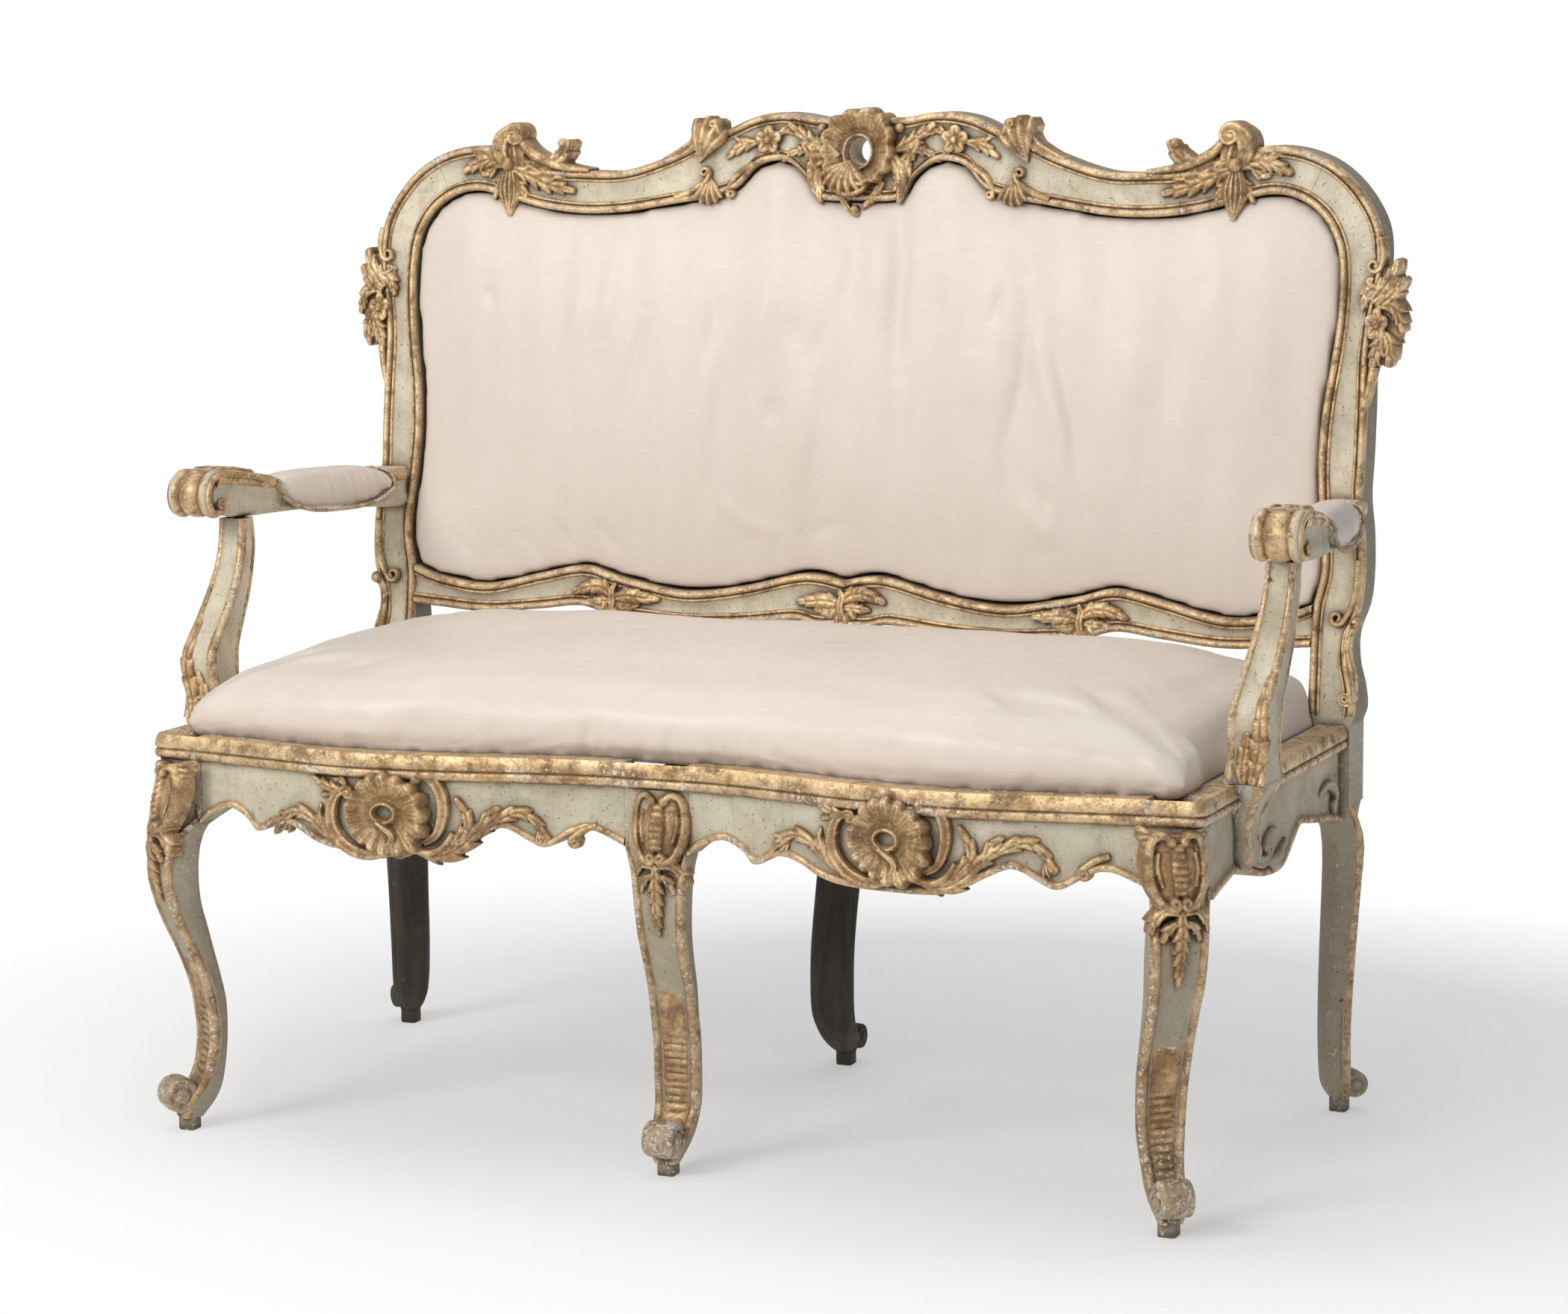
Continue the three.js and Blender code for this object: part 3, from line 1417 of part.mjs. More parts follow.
const shoulderCurlShares = [
  [0.05, -0.3, 0.2, 0.2], [0.14, 0.3, 0.2, 0.22], [0.06, 0.64, 0.1, 0.2], [-0.26, 0.82, 0.1, 0.17],
  [-0.56, 0.72, 0.2, 0.14], [-0.54, 0.48, 0.3, 0.11],
];
const shoulderWaveShares = [
  [0.05, 0.05, 0.3, 0.22], [-0.52, 0.02, 0.2, 0.28], [-1.08, 0, 0.15, 0.26], [-1.54, 0.12, 0.1, 0.19],
  [-1.66, 0.44, 0.1, 0.11],
];
const shoulderFanShares = [
  [0, 0.1, 0.5, 0.16], [-0.05, -0.4, 0.6, 0.3], [-0.02, -0.9, 0.5, 0.34], [0.02, -1.3, 0.25, 0.12],
];
const shoulderLeafShares = [
  [-0.1, -0.3, 0.5, 0.16], [-0.7, -0.5, 0.35, 0.24], [-1.4, -0.62, 0.3, 0.18], [-1.95, -0.6, 0.2, 0.06],
];
const shoulderSprayShares = [
  [0.05, -0.2, 0.5, 0.16], [0.5, -0.2, 0.35, 0.24], [1, -0.12, 0.3, 0.16], [1.4, -0.1, 0.2, 0.05],
];

function shoulderScroll() {
  const tables = [
    shoulderCurlShares, shoulderWaveShares, shoulderFanShares, shoulderLeafShares,
    shoulderSprayShares,
  ];
  const bars = tables.map((shares) => carvedBar(aroundShoulder(shares), onBack));
  return cutToSeat(union(bars), crestSolid(clearance).add(backPad(clearance)));
}

// A small shell that stands on the crest's outer edge.
const smallShellPlaceShares = { across: 0.3166, up: 0.9518 };
const smallShellX = smallShellPlaceShares.across * backHalfWidth;
const smallShellZ = mix(seatTop, crestTop, smallShellPlaceShares.up);
const smallShellSize = 26;
const smallShellShares = [
  [[-0.5, -0.2, 0.1, 0.3], [-0.5, 0.4, 0.1, 0.38], [-0.25, 0.85, 0, 0.3], [0, 1.02, 0, 0.12]],
  [[0, -0.3, 0.1, 0.3], [0.15, 0.3, 0.15, 0.4], [0.35, 0.75, 0, 0.3], [0.5, 0.9, 0, 0.12]],
  [[0.3, -0.6, 0.1, 0.3], [0.7, -0.05, 0.1, 0.38], [0.95, 0.15, 0, 0.3], [1.15, 0.05, 0, 0.12]],
];

function smallShell() {
  const bars = smallShellShares.map((shares) => carvedBar(shares.map(([x, z, proud, radius]) => [
    smallShellX + x * smallShellSize, smallShellZ + z * smallShellSize,
    proud * carvingProud, radius * smallShellSize,
  ]), onBack));
  return cutToSeat(union(bars), crestSolid(clearance));
}

// A flower between two leaves, on the outer edge of the post.
const flowerOut = 3;
const flowerUpShare = 0.6642;
const flowerX = backHalfWidth + flowerOut;
const flowerZ = mix(seatTop, crestTop, flowerUpShare);
const flowerSize = 30;
const flowerShares = [
  [[-0.2, 0.2, 0.2, 0.3], [0.3, 0.9, 0.3, 0.5], [0.55, 1.5, 0.2, 0.45], [0.3, 2.05, 0, 0.14]],
  [[-0.2, 0.5, 0.3, 0.3], [0.6, 0.7, 0.3, 0.36], [1.15, 1.05, 0.1, 0.12]],
  [[-0.5, 0, 0.2, 0.4], [0, 0.05, 0.55, 0.62], [0.55, 0, 0.55, 0.5], [0.95, -0.1, 0.2, 0.2]],
  [[-0.2, -0.4, 0.2, 0.3], [0.25, -0.9, 0.3, 0.46], [0.3, -1.45, 0.2, 0.34], [0, -1.95, 0, 0.12]],
];

function sideFlower() {
  const bars = flowerShares.map((shares) => carvedBar(shares.map(([x, z, proud, radius]) => [
    flowerX + x * flowerSize, flowerZ + z * flowerSize,
    proud * carvingProud, radius * flowerSize,
  ]), onBack));
  return cutToSeat(union(bars), postShaft(clearance));
}

// The shell on an apron, in the curve of two scrolls, with a leaf that follows the lower edge.
const apronScrollShares = [
  [[-0.6, 0.95, 0.3, 0.12], [-1.25, 0.75, 0.3, 0.16], [-1.35, 0, 0.4, 0.18], [-1, -0.75, 0.5, 0.2],
    [-0.4, -1.06, 0.6, 0.18], [0.1, -0.84, 0.9, 0.16], [0.05, -0.35, 1.1, 0.1]],
  [[0.55, 0.95, 0.3, 0.1], [1.15, 0.7, 0.3, 0.16], [1.35, 0, 0.3, 0.16], [1.1, -0.7, 0.4, 0.16],
    [0.6, -1.05, 0.4, 0.14]],
  [[-0.8, 0.55, 0.3, 0.16], [-1.2, 0.85, 0.2, 0.2], [-1.6, 1.1, 0.1, 0.06]],
];
const apronLeafShares = [
  [0, -0.84, 0.6, 0.22], [1.1, -0.98, 0.4, 0.18], [1.9, -0.82, 0.35, 0.22],
  [2.6, -0.4, 0.3, 0.22], [3.3, -0.06, 0.2, 0.2], [4, -0.26, 0.1, 0.06],
];
const apronShootShares = [[1.6, -0.9, 0.3, 0.1], [1.95, -0.3, 0.3, 0.2], [1.85, 0.55, 0.2, 0.08]];

function apronShellX(side) {
  const start = side > 0 ? middleBlockHalf : -cornerJointX;
  return start + apronShellShare * (cornerJointX - middleBlockHalf);
}

const apronShellShare = 0.475;

function apronShell(side) {
  const centre = apronShellX(side);
  const shell = flutedShell({
    x: centre,
    z: apronShellZ,
    radius: apronShellRadius,
    hole: apronShellHole,
    depth: shellDepth,
    onSurface: onApron,
  });
  const tables = [...apronScrollShares, apronLeafShares, apronShootShares];
  const bars = tables.map((shares) => carvedBar(shares.map(([x, z, proud, radius]) => [
    centre + x * apronShellRadius, apronShellZ + z * apronShellRadius,
    proud * carvingProud, radius * apronShellRadius,
  ]), onApron));
  const ends = [side * (middleBlockHalf + clearance), side * (cornerJointX - clearance)];
  const [start, end] = ends.sort((a, b) => a - b);
  return cutToSeat(union([shell, ...bars]), frontApronSolid(start, end, clearance));
}

// The cartouche on a front leg's knee, carved from the leg's own timber: shares of its size.
const cartoucheSize = 33;
const cartoucheHalf = 22;
const cartoucheLift = 26;
const cartoucheZ = legTop + cartoucheLift;
const cartoucheStand = 14;
const cartoucheShares = [
  [[0, 0.95, 0, 0.2], [-0.8, 0.8, 0.15, 0.3], [-0.95, 0.1, 0.1, 0.26], [-0.6, -0.75, 0.15, 0.28],
    [0, -0.8, 0.2, 0.22]],
  [[0, 0.7, -0.3, 0.4], [0, 0, -0.4, 0.9], [0, -0.6, -0.3, 0.4]],
  [[0, -0.8, -0.1, 0.4], [0, -1.6, -0.2, 0.6], [0, -3.1, -0.2, 0.15]],
];

function cartouche(foot, facing, shares, blockReach) {
  const place = legFrame(foot, facing);
  const front = shares.map(([up, reach]) => [up * legTop, reach * legReach]);
  front.push([legTop, blockReach + cartoucheStand], [seatTop, blockReach + cartoucheStand]);
  const onKnee = (across, z, proud) => {
    const next = front.findIndex((row) => row[0] >= z);
    const [low, high] = [front[next - 1], front[next]];
    const reach = mix(low[1], high[1], (z - low[0]) / (high[0] - low[0]));
    return place([reach + proud, across], z);
  };
  const [left, middle, drop] = cartoucheShares;
  const right = left.map(([x, ...rest]) => [-x, ...rest]);
  return union([left, right, middle, drop].map((table) => {
    const places = table.map(([x, z, proud, radius]) => [
      x * cartoucheHalf, cartoucheZ + z * cartoucheSize,
      proud * carvingProud, radius * cartoucheHalf,
    ]);
    return carvedBar(places, onKnee);
  }));
}

// The finished pieces.

const coats = {
  paint: { color: 0xa9ab95, roughness: 0.6, metalness: 0 },
  gilt: { color: 0xa98443, roughness: 0.42, metalness: 0.7 },
  bareWood: { color: 0x6f5a42, roughness: 0.8, metalness: 0 },
  silk: { color: 0xd8c9be, roughness: 0.55, metalness: 0 },
  linen: { color: 0xb7a88d, roughness: 0.95, metalness: 0 },
};

function arraysOf(solid) {
  const { vertProperties, triVerts } = solid.getMesh();
  return { positions: Array.from(vertProperties), index: Array.from(triVerts) };
}

function flipped({ positions, index }) {
  const sides = positions.map((value, i) => (i % 3 === 0 ? -value : value));
  const turned180 = index.slice().reverse();
  return { positions: sides, index: turned180 };
}

function mirrored(solid) {
  const { positions, index } = flipped(arraysOf(solid));
  return solidOf(geometryOf(positions, index));
}

function pieceOf(name, coat, { positions, index }) {
  const geometry = geometryOf(positions, index);
  geometry.computeVertexNormals();
  const mesh = new THREE.Mesh(geometry, new THREE.MeshStandardMaterial(coats[coat]));
  mesh.name = name;
  return mesh;
}

const settee = new THREE.Group();
settee.name = 'settee';

function add(name, coat, solid) {
  settee.add(pieceOf(name, coat, arraysOf(solid)));
}

// Builds the right-hand piece and its mirror image on the left.
function addPair(name, coat, solid) {
  const right = arraysOf(solid);
  settee.add(pieceOf(`${name}_right`, coat, right));
  settee.add(pieceOf(`${name}_left`, coat, flipped(right)));
}

add('crest_rail', 'paint', crestRail());
addPair('back_post', 'paint', backPost());
add('lower_back_rail', 'paint', lowerBackRail());
addPair('rear_seat_rail', 'bareWood', rearSeatRail());
add('rear_middle_leg', 'paint', rearMiddleLeg());
addPair('front_corner_leg', 'paint', frontCornerLeg());
add('front_middle_leg', 'paint', frontMiddleLeg());
addPair('side_apron', 'paint', sideApron());
add('front_apron_left', 'paint', frontApron(-1));
add('front_apron_right', 'paint', frontApron(1));
addPair('arm', 'paint', arm());
addPair('arm_support', 'paint', armSupport());
add('seat_cross_bearer', 'bareWood', crossBearer());
addPair('front_corner_brace', 'bareWood', frontBrace());
addPair('rear_corner_brace', 'bareWood', rearBrace());
add('seat_webbing', 'linen', seatWebbing());
add('seat_cushion', 'silk', seatCushion());
add('back_pad', 'silk', backPad());
add('back_linen', 'linen', backLinen());
add('outside_back_cloth', 'silk', outsideBackCloth());
addPair('arm_pad', 'silk', armPad());
add('crest_shell', 'gilt', crestShell());
addPair('shoulder_scroll', 'gilt', shoulderScroll());
addPair('crest_edge_shell', 'gilt', smallShell());
addPair('post_flower', 'gilt', sideFlower());
add('apron_shell_left', 'gilt', apronShell(-1));
add('apron_shell_right', 'gilt', apronShell(1));

// The origin is under the middle of the whole, on the floor.
const bounds = new THREE.Box3().setFromObject(settee);
settee.position.y = -(bounds.min.y + bounds.max.y) / 2;

export default settee;
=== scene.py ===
"""Looks for a painted and gilt settee for two in the Venetian rococo manner.

Tables and places are in millimetres in the settee's own measured frame, the right as seen from the
front at +X and the front towards -Y. in_metres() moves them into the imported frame.
"""
import json
import math

import bpy
import numpy as np
from mathutils import Matrix, Vector


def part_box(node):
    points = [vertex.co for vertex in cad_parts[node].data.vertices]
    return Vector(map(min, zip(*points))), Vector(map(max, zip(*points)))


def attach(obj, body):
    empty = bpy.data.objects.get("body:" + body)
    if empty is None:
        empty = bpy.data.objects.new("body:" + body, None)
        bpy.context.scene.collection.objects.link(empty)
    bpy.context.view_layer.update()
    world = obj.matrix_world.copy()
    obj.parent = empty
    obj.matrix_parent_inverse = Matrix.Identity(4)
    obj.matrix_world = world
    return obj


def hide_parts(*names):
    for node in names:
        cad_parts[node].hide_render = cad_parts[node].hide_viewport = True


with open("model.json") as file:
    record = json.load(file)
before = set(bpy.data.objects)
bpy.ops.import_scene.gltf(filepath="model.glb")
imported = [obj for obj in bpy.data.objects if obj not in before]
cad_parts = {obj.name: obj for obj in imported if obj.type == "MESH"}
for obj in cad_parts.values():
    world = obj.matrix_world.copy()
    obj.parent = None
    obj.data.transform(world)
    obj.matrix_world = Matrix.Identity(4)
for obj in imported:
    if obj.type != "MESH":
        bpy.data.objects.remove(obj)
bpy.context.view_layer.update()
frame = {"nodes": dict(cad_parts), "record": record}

MM = 0.001
REAR_RAIL_BACK = 285
SHIFT_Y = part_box("rear_seat_rail_right")[1].y - REAR_RAIL_BACK * MM

# The frame's sizes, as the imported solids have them.
SEAT_TOP, CREST_TOP = 440, 1104
BACK_HALF_WIDTH, FRAME_HALF_WIDTH = 619, 593
BACK_FACE_Y, BACK_RAKE = 229.5, 0.125
BACK_THICKNESS, POST_DEPTH, POST_TAPER_RISE = 40, 56, 90
FRONT_FACE_Y, BOW_DEPTH, RAIL_DEPTH = -262, 45, 32
ARCH_HEIGHT, APRON_DROP = 365, 34
SIDE_ARCH_HEIGHT, SIDE_DROP = 357, 35
MOULDING_HEIGHT, MOULDING_PROUD = 27, 9
EDGE_BEAD, EDGE_BEAD_PROUD = 7, 4
MIDDLE_BLOCK_HALF, CORNER_JOINT_X, CORNER_JOINT_Y = 36, 542, -232
CORNER_RADIUS = 12
POST_INNER_X, POST_OUTER_X = 556, 603
SEAT_LIP, SEAT_WELL_REAR, WELL_POST_GAP, LEDGE_DEPTH = 24, 262, 6, 10
JOINT_GAP = 0.3
LEG_TOP, LEG_REACH, LEG_HALF_WIDTH, BLOCK_LAP = 350, 40, 27, 14
PAD_HALF, PAD_HEIGHT = 9.5, 20
ARM_END_X, ARM_OUTSWEEP, ARM_ROLL_Y, ARM_ROLL_Z = 590, 40, -122, 687
ARM_ROLL_RADIUS, ARM_ROLL_HALF = 27, 25
ARM_UNDERSIDE, ARM_LIFT, ARM_DEEP, ARM_HALF_WIDTH = 637, 28, 80, 29
SUPPORT_TOP, SUPPORT_BASE_X, SUPPORT_TOP_X, SUPPORT_TOP_Y = 655, 607, 616, -51
SUPPORT_REACH, SUPPORT_HALF_WIDTH = 120, 22
SHOULDER_JOINT = 13.2

# Half of the back's outline from the centre of the crest over the shoulder to the seat, as shares
# of the half width and of the height from the seat to the crest.
BACK_OUTER = [
    (0, 0.991), (0.08, 0.991), (0.13, 0.998), (0.17, 1), (0.218, 0.992), (0.267, 0.973),
    (0.323, 0.953), (0.388, 0.926), (0.477, 0.901), (0.565, 0.899), (0.646, 0.905), (0.711, 0.928),
    (0.792, 0.943), (0.874, 0.928), (0.94, 0.887), (0.989, 0.821), (1, 0.753), (0.989, 0.685),
    (0.981, 0.602), (0.982, 0.512), (0.982, 0.432), (0.981, 0.369), (0.989, 0.309), (0.992, 0.248),
    (0.988, 0.196), (0.972, 0.148), (0.971, 0.102), (0.981, 0.057), (0.984, 0.023), (0.976, 0),
]
BACK_INNER = [
    (0, 0.848), (0.081, 0.852), (0.107, 0.889), (0.153, 0.916), (0.207, 0.908), (0.25, 0.869),
    (0.307, 0.852), (0.375, 0.842), (0.48, 0.827), (0.569, 0.824), (0.654, 0.833), (0.735, 0.852),
    (0.792, 0.863), (0.843, 0.854), (0.887, 0.825), (0.914, 0.779), (0.922, 0.723), (0.921, 0.663),
    (0.913, 0.595), (0.901, 0.512), (0.897, 0.437), (0.901, 0.369), (0.911, 0.286), (0.911, 0.241),
    (0.9, 0.19), (0.898, 0.125), (0.898, 0.095), (0.898, 0.057), (0.898, 0.023), (0.898, 0),
]
LOWER_TOP = [
    (0, 0.199), (0.054, 0.208), (0.108, 0.206), (0.228, 0.182), (0.354, 0.169), (0.459, 0.181),
    (0.518, 0.191), (0.594, 0.206), (0.694, 0.19), (0.82, 0.167), (0.933, 0.176), (1, 0.194),
]
LOWER_BOTTOM = [
    (0, 0.12), (0.054, 0.118), (0.108, 0.126), (0.228, 0.115), (0.354, 0.11), (0.459, 0.115),
    (0.53, 0.12), (0.6, 0.134), (0.694, 0.125), (0.82, 0.115), (0.933, 0.12), (1, 0.124),
]
BOW = [0, 0.03, 0.33, 0.71, 0.98, 0.95, 0.68, 0.4, 0.24]
APRON_EDGE = [
    (0, 0.6), (0.035, 0.22), (0.085, 0), (0.13, 0.28), (0.15, 0.6), (0.172, 0.6), (0.195, 0.38),
    (0.23, 0.28), (0.27, 0.42), (0.32, 0.76), (0.38, 0.92), (0.48, 0.94), (0.586, 0.9),
    (0.64, 0.66), (0.69, 0.28), (0.74, 0.02), (0.795, 0.42), (0.82, 0.58), (0.845, 0.5),
    (0.88, 0.16), (0.93, 0), (1, 0.42),
]
SIDE_EDGE = [
    (0, 0.66), (0.09, 0.43), (0.17, 0.28), (0.27, 0.54), (0.36, 0.86), (0.48, 1), (0.54, 0.86),
    (0.6, 0.4), (0.66, 0), (0.74, 0.14), (0.82, 0.3), (0.91, 0.45), (1, 0.7),
]

# The legs from the foot up: shares of the height, of the reach to the front and to the back of
# the shaft, and of the half width.
FRONT_LEG = [
    (0.04, 0.3, -0.34, 0.44), (0.09, 0.26, -0.68, 0.64), (0.14, -0.08, -0.88, 0.74),
    (0.2, -0.33, -0.98, 0.8), (0.29, -0.46, -1.05, 0.91), (0.4, -0.39, -1.04, 0.96),
    (0.486, -0.22, -0.9, 1), (0.571, 0.06, -0.72, 1), (0.657, 0.4, -0.54, 1),
    (0.743, 0.66, -0.36, 1.06), (0.86, 0.86, -0.3, 1.08), (1, 0.86, -0.3, 1.08),
]
MIDDLE_LEG = [
    (0.04, 0.3, -0.4, 0.46), (0.09, 0.24, -0.8, 0.66), (0.14, -0.14, -1, 0.82),
    (0.2, -0.45, -1.1, 0.92), (0.29, -0.48, -1.12, 0.95), (0.4, -0.44, -1.08, 0.96),
    (0.486, -0.3, -0.98, 0.96), (0.571, -0.14, -0.9, 0.96), (0.657, 0.14, -0.72, 0.96),
    (0.743, 0.38, -0.56, 1), (0.86, 0.5, -0.5, 1.06), (1, 0.5, -0.5, 1.06),
]
REAR_LEG = [
    (0.04, 0.24, -0.24, 0.36), (0.08, 0.24, -0.46, 0.6), (0.14, 0.14, -0.52, 0.8),
    (0.3, 0.11, -0.55, 0.87), (0.5, 0.2, -0.52, 0.9), (0.74, 0.34, -0.45, 0.96),
    (0.9, 0.46, -0.42, 1), (1, 0.46, -0.42, 1),
]
REAR_MIDDLE_LEG = [
    (0.04, 0.24, -0.24, 0.36), (0.085, 0.18, -0.8, 0.6), (0.14, -0.4, -1.2, 0.8),
    (0.22, -0.77, -1.48, 0.92), (0.38, -0.78, -1.48, 0.94), (0.5, -0.6, -1.3, 0.94),
    (0.6, -0.36, -1.08, 0.94), (0.7, -0.08, -0.86, 0.94), (0.8, 0.15, -0.65, 0.95),
    (0.9, 0.26, -0.5, 1), (1, 0.26, -0.5, 1),
]
FRONT_ROLL = dict(out=13, height=41, radius=20, half=19)
REAR_ROLL = dict(out=14, height=31, radius=15, half=18)

# The arm from the post to its roll, and its support from the foot up.
ARM = [
    (0, 0, 0, 0.6, 0.78), (0.08, 0.06, 0.08, 0.6, 0.78), (0.1, 0.08, 0.1, 0.42, 0.78),
    (0.3, 0.36, 0.36, 0.46, 0.78), (0.5, 0.6, 0.54, 0.5, 0.8), (0.665, 0.78, 0.6, 0.52, 0.82),
    (0.685, 0.8, 0.6, 0.76, 0.84), (0.78, 0.88, 0.62, 0.84, 0.9), (0.88, 0.95, 0.7, 0.93, 0.96),
    (1, 1, 1, 0.97, 0.97),
]
SUPPORT = [
    (0, 1, 0.42, 1.05), (0.06, 0.97, 0.46, 1), (0.14, 0.95, 0.5, 0.98), (0.26, 0.99, 0.49, 0.96),
    (0.36, 0.95, 0.45, 0.94), (0.5, 0.71, 0.3, 0.9), (0.62, 0.52, 0.17, 0.86),
    (0.74, 0.37, 0.07, 0.8), (0.86, 0.28, 0, 0.75), (1, 0.24, 0, 0.72),
]


# Reading tables.

def mix(a, b, share):
    return a + (b - a) * share


def smooth(low, high, values):
    """0 up to low and 1 from high, eased between."""
    share = np.clip((np.asarray(values, float) - low) / (high - low), 0, 1)
    return share * share * (3 - 2 * share)


def read_curve(table, shares):
    """A smooth curve through the rows of a table, read at shares of the way along it."""
    points = np.asarray(table, float).reshape(len(table), -1)
    last = len(points) - 1
    places = np.clip(np.asarray(shares, float), 0, 1) * last
    step = np.minimum(places.astype(int), last - 1)
    t = (places - step)[:, None]
    start, end = points[step], points[step + 1]
    before, after = points[np.maximum(step - 1, 0)], points[np.minimum(step + 2, last)]
    leave, arrive = (end - before) / 2, (after - start) / 2
    cubic = (2 * start - 2 * end + leave + arrive) * t ** 3
    return cubic + (3 * end - 3 * start - 2 * leave - arrive) * t ** 2 + leave * t + start


def in_metres(points):
    moved = np.asarray(points, float) * MM
    moved[..., 1] += SHIFT_Y
    return moved


def mirrored(points):
    """The same points, or the same list of carved elements, on the left-hand side."""
    if isinstance(points, list):
        return [mirrored(part) for part in points]
    return points * np.array([-1, 1, 1])


# Places on the frame.

def back_y(z):
    return BACK_FACE_Y + BACK_RAKE * np.maximum(np.asarray(z, float) - SEAT_TOP, 0)


def alike(*values):
    """Numbers and arrays, brought to one shape."""
    return np.broadcast_arrays(*[np.asarray(value, float) for value in values])


def on_back(x, z, proud):
    x, z, proud = alike(x, z, proud)
    return np.stack([x, back_y(z) - proud, z], axis=-1)


def face_y(x):
    x = np.atleast_1d(np.asarray(x, float))
    shares = np.abs(x).ravel() / FRAME_HALF_WIDTH
    return FRONT_FACE_Y - BOW_DEPTH * read_curve(BOW, shares)[:, 0].reshape(x.shape)


def on_apron(x, z, proud):
    x, z, proud = alike(x, z, proud)
    return np.stack([x, face_y(x) - proud, z], axis=-1)


# Making pieces.

# Points closer than this, in metres, are merged. Edges up to this many degrees are shaded smooth.
MERGED_WITHIN = 0.000004
SMOOTHED_TO = 50


def only(piece):
    bpy.ops.object.select_all(action="DESELECT")
    piece.select_set(True)
    bpy.context.view_layer.objects.active = piece


def mark(piece, name, values):
    """Stores one number for each point of a piece, for its material to read."""
    layer = piece.data.attributes.new(name, "FLOAT", "POINT")
    layer.data.foreach_set("value", np.asarray(values, np.float32).ravel())


def closed(rows):
    """Rows of values, each with its first value again at its end."""
    return np.concatenate([rows, rows[:, :1]], axis=1)


def grid_piece(name, points, marks=None, angle=SMOOTHED_TO):
    """A grid bent over rows of points. Each row closes on itself, and the two ends are capped."""
    plain = np.asarray(points, float)
    points = closed(plain)
    rows, columns = points.shape[:2]
    bpy.ops.object.select_all(action="DESELECT")
    bpy.ops.mesh.primitive_grid_add(x_subdivisions=columns - 1, y_subdivisions=rows - 1)
    piece = bpy.context.object
    piece.name = piece.data.name = name
    piece.data.vertices.foreach_set("co", in_metres(points).ravel())
    for key, values in (marks or {}).items():
        mark(piece, key, closed(np.broadcast_to(values, plain.shape[:2])))
    close_up(piece)
    bpy.ops.object.shade_smooth_by_angle(angle=math.radians(angle))
    return piece


def changed_by(piece, kind, **settings):
    """Applies a modifier with these settings to a piece."""
    modifier = piece.modifiers.new(kind.lower(), kind)
    for key, value in settings.items():
        setattr(modifier, key, value)
    only(piece)
    bpy.ops.object.modifier_apply(modifier=modifier.name)


def close_up(piece):
    """Merges what lies together, caps open ends and turns the faces out."""
    only(piece)
    bpy.ops.object.mode_set(mode="EDIT")
    bpy.ops.mesh.select_all(action="SELECT")
    bpy.ops.mesh.remove_doubles(threshold=MERGED_WITHIN)
    bpy.ops.mesh.select_all(action="SELECT")
    bpy.ops.mesh.fill_holes(sides=0)
    bpy.ops.mesh.select_all(action="SELECT")
    bpy.ops.mesh.normals_make_consistent(inside=False)
    bpy.ops.object.mode_set(mode="OBJECT")


def cover_with(piece, material):
    piece.data.materials.clear()
    piece.data.materials.append(material)


def finish_piece(piece, material, slot, *nodes):
    cover_with(piece, material)
    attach(piece, "root")
    if nodes:
        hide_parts(*nodes)


def painted_pair(name, points, marks, material, node=None):
    """A painted piece on the right and its mirror image on the left. {} in a name is the side."""
    for side, placed in (("right", points), ("left", mirrored(points))):
        nodes = [node.format(side)] if node else []
        piece = grid_piece(name.format(side), placed, marks)
        finish_piece(piece, material, "painted_wood", *nodes)


def gilt_and_worn(columns):
    """The marks of a section, from the last two values of each of its columns."""
    gold, worn = np.array([column[-2:] for column in columns], float).T
    return {"gilt": gold, "worn": worn}


# Node materials.

def feed(tree, socket, value):
    """Links an output to a socket, or sets the socket's own value."""
    if isinstance(value, bpy.types.NodeSocket):
        tree.links.new(value, socket)
    else:
        socket.default_value = value


def add_node(tree, kind, settings=None, **sockets):
    """Adds a node. A socket is named in lower case with underscores, and is given a value or an
    output to link from."""
    node = tree.nodes.new("ShaderNode" + kind)
    for key, value in (settings or {}).items():
        setattr(node, key, value)
    for key, value in sockets.items():
        name = key.rstrip("_")
        if name.isdigit():
            socket = node.inputs[int(name)]
        else:
            wanted = name.replace("_", " ").lower()
            socket = next(s for s in node.inputs if s.name.lower() == wanted and s.enabled)
        feed(tree, socket, value)
    return node


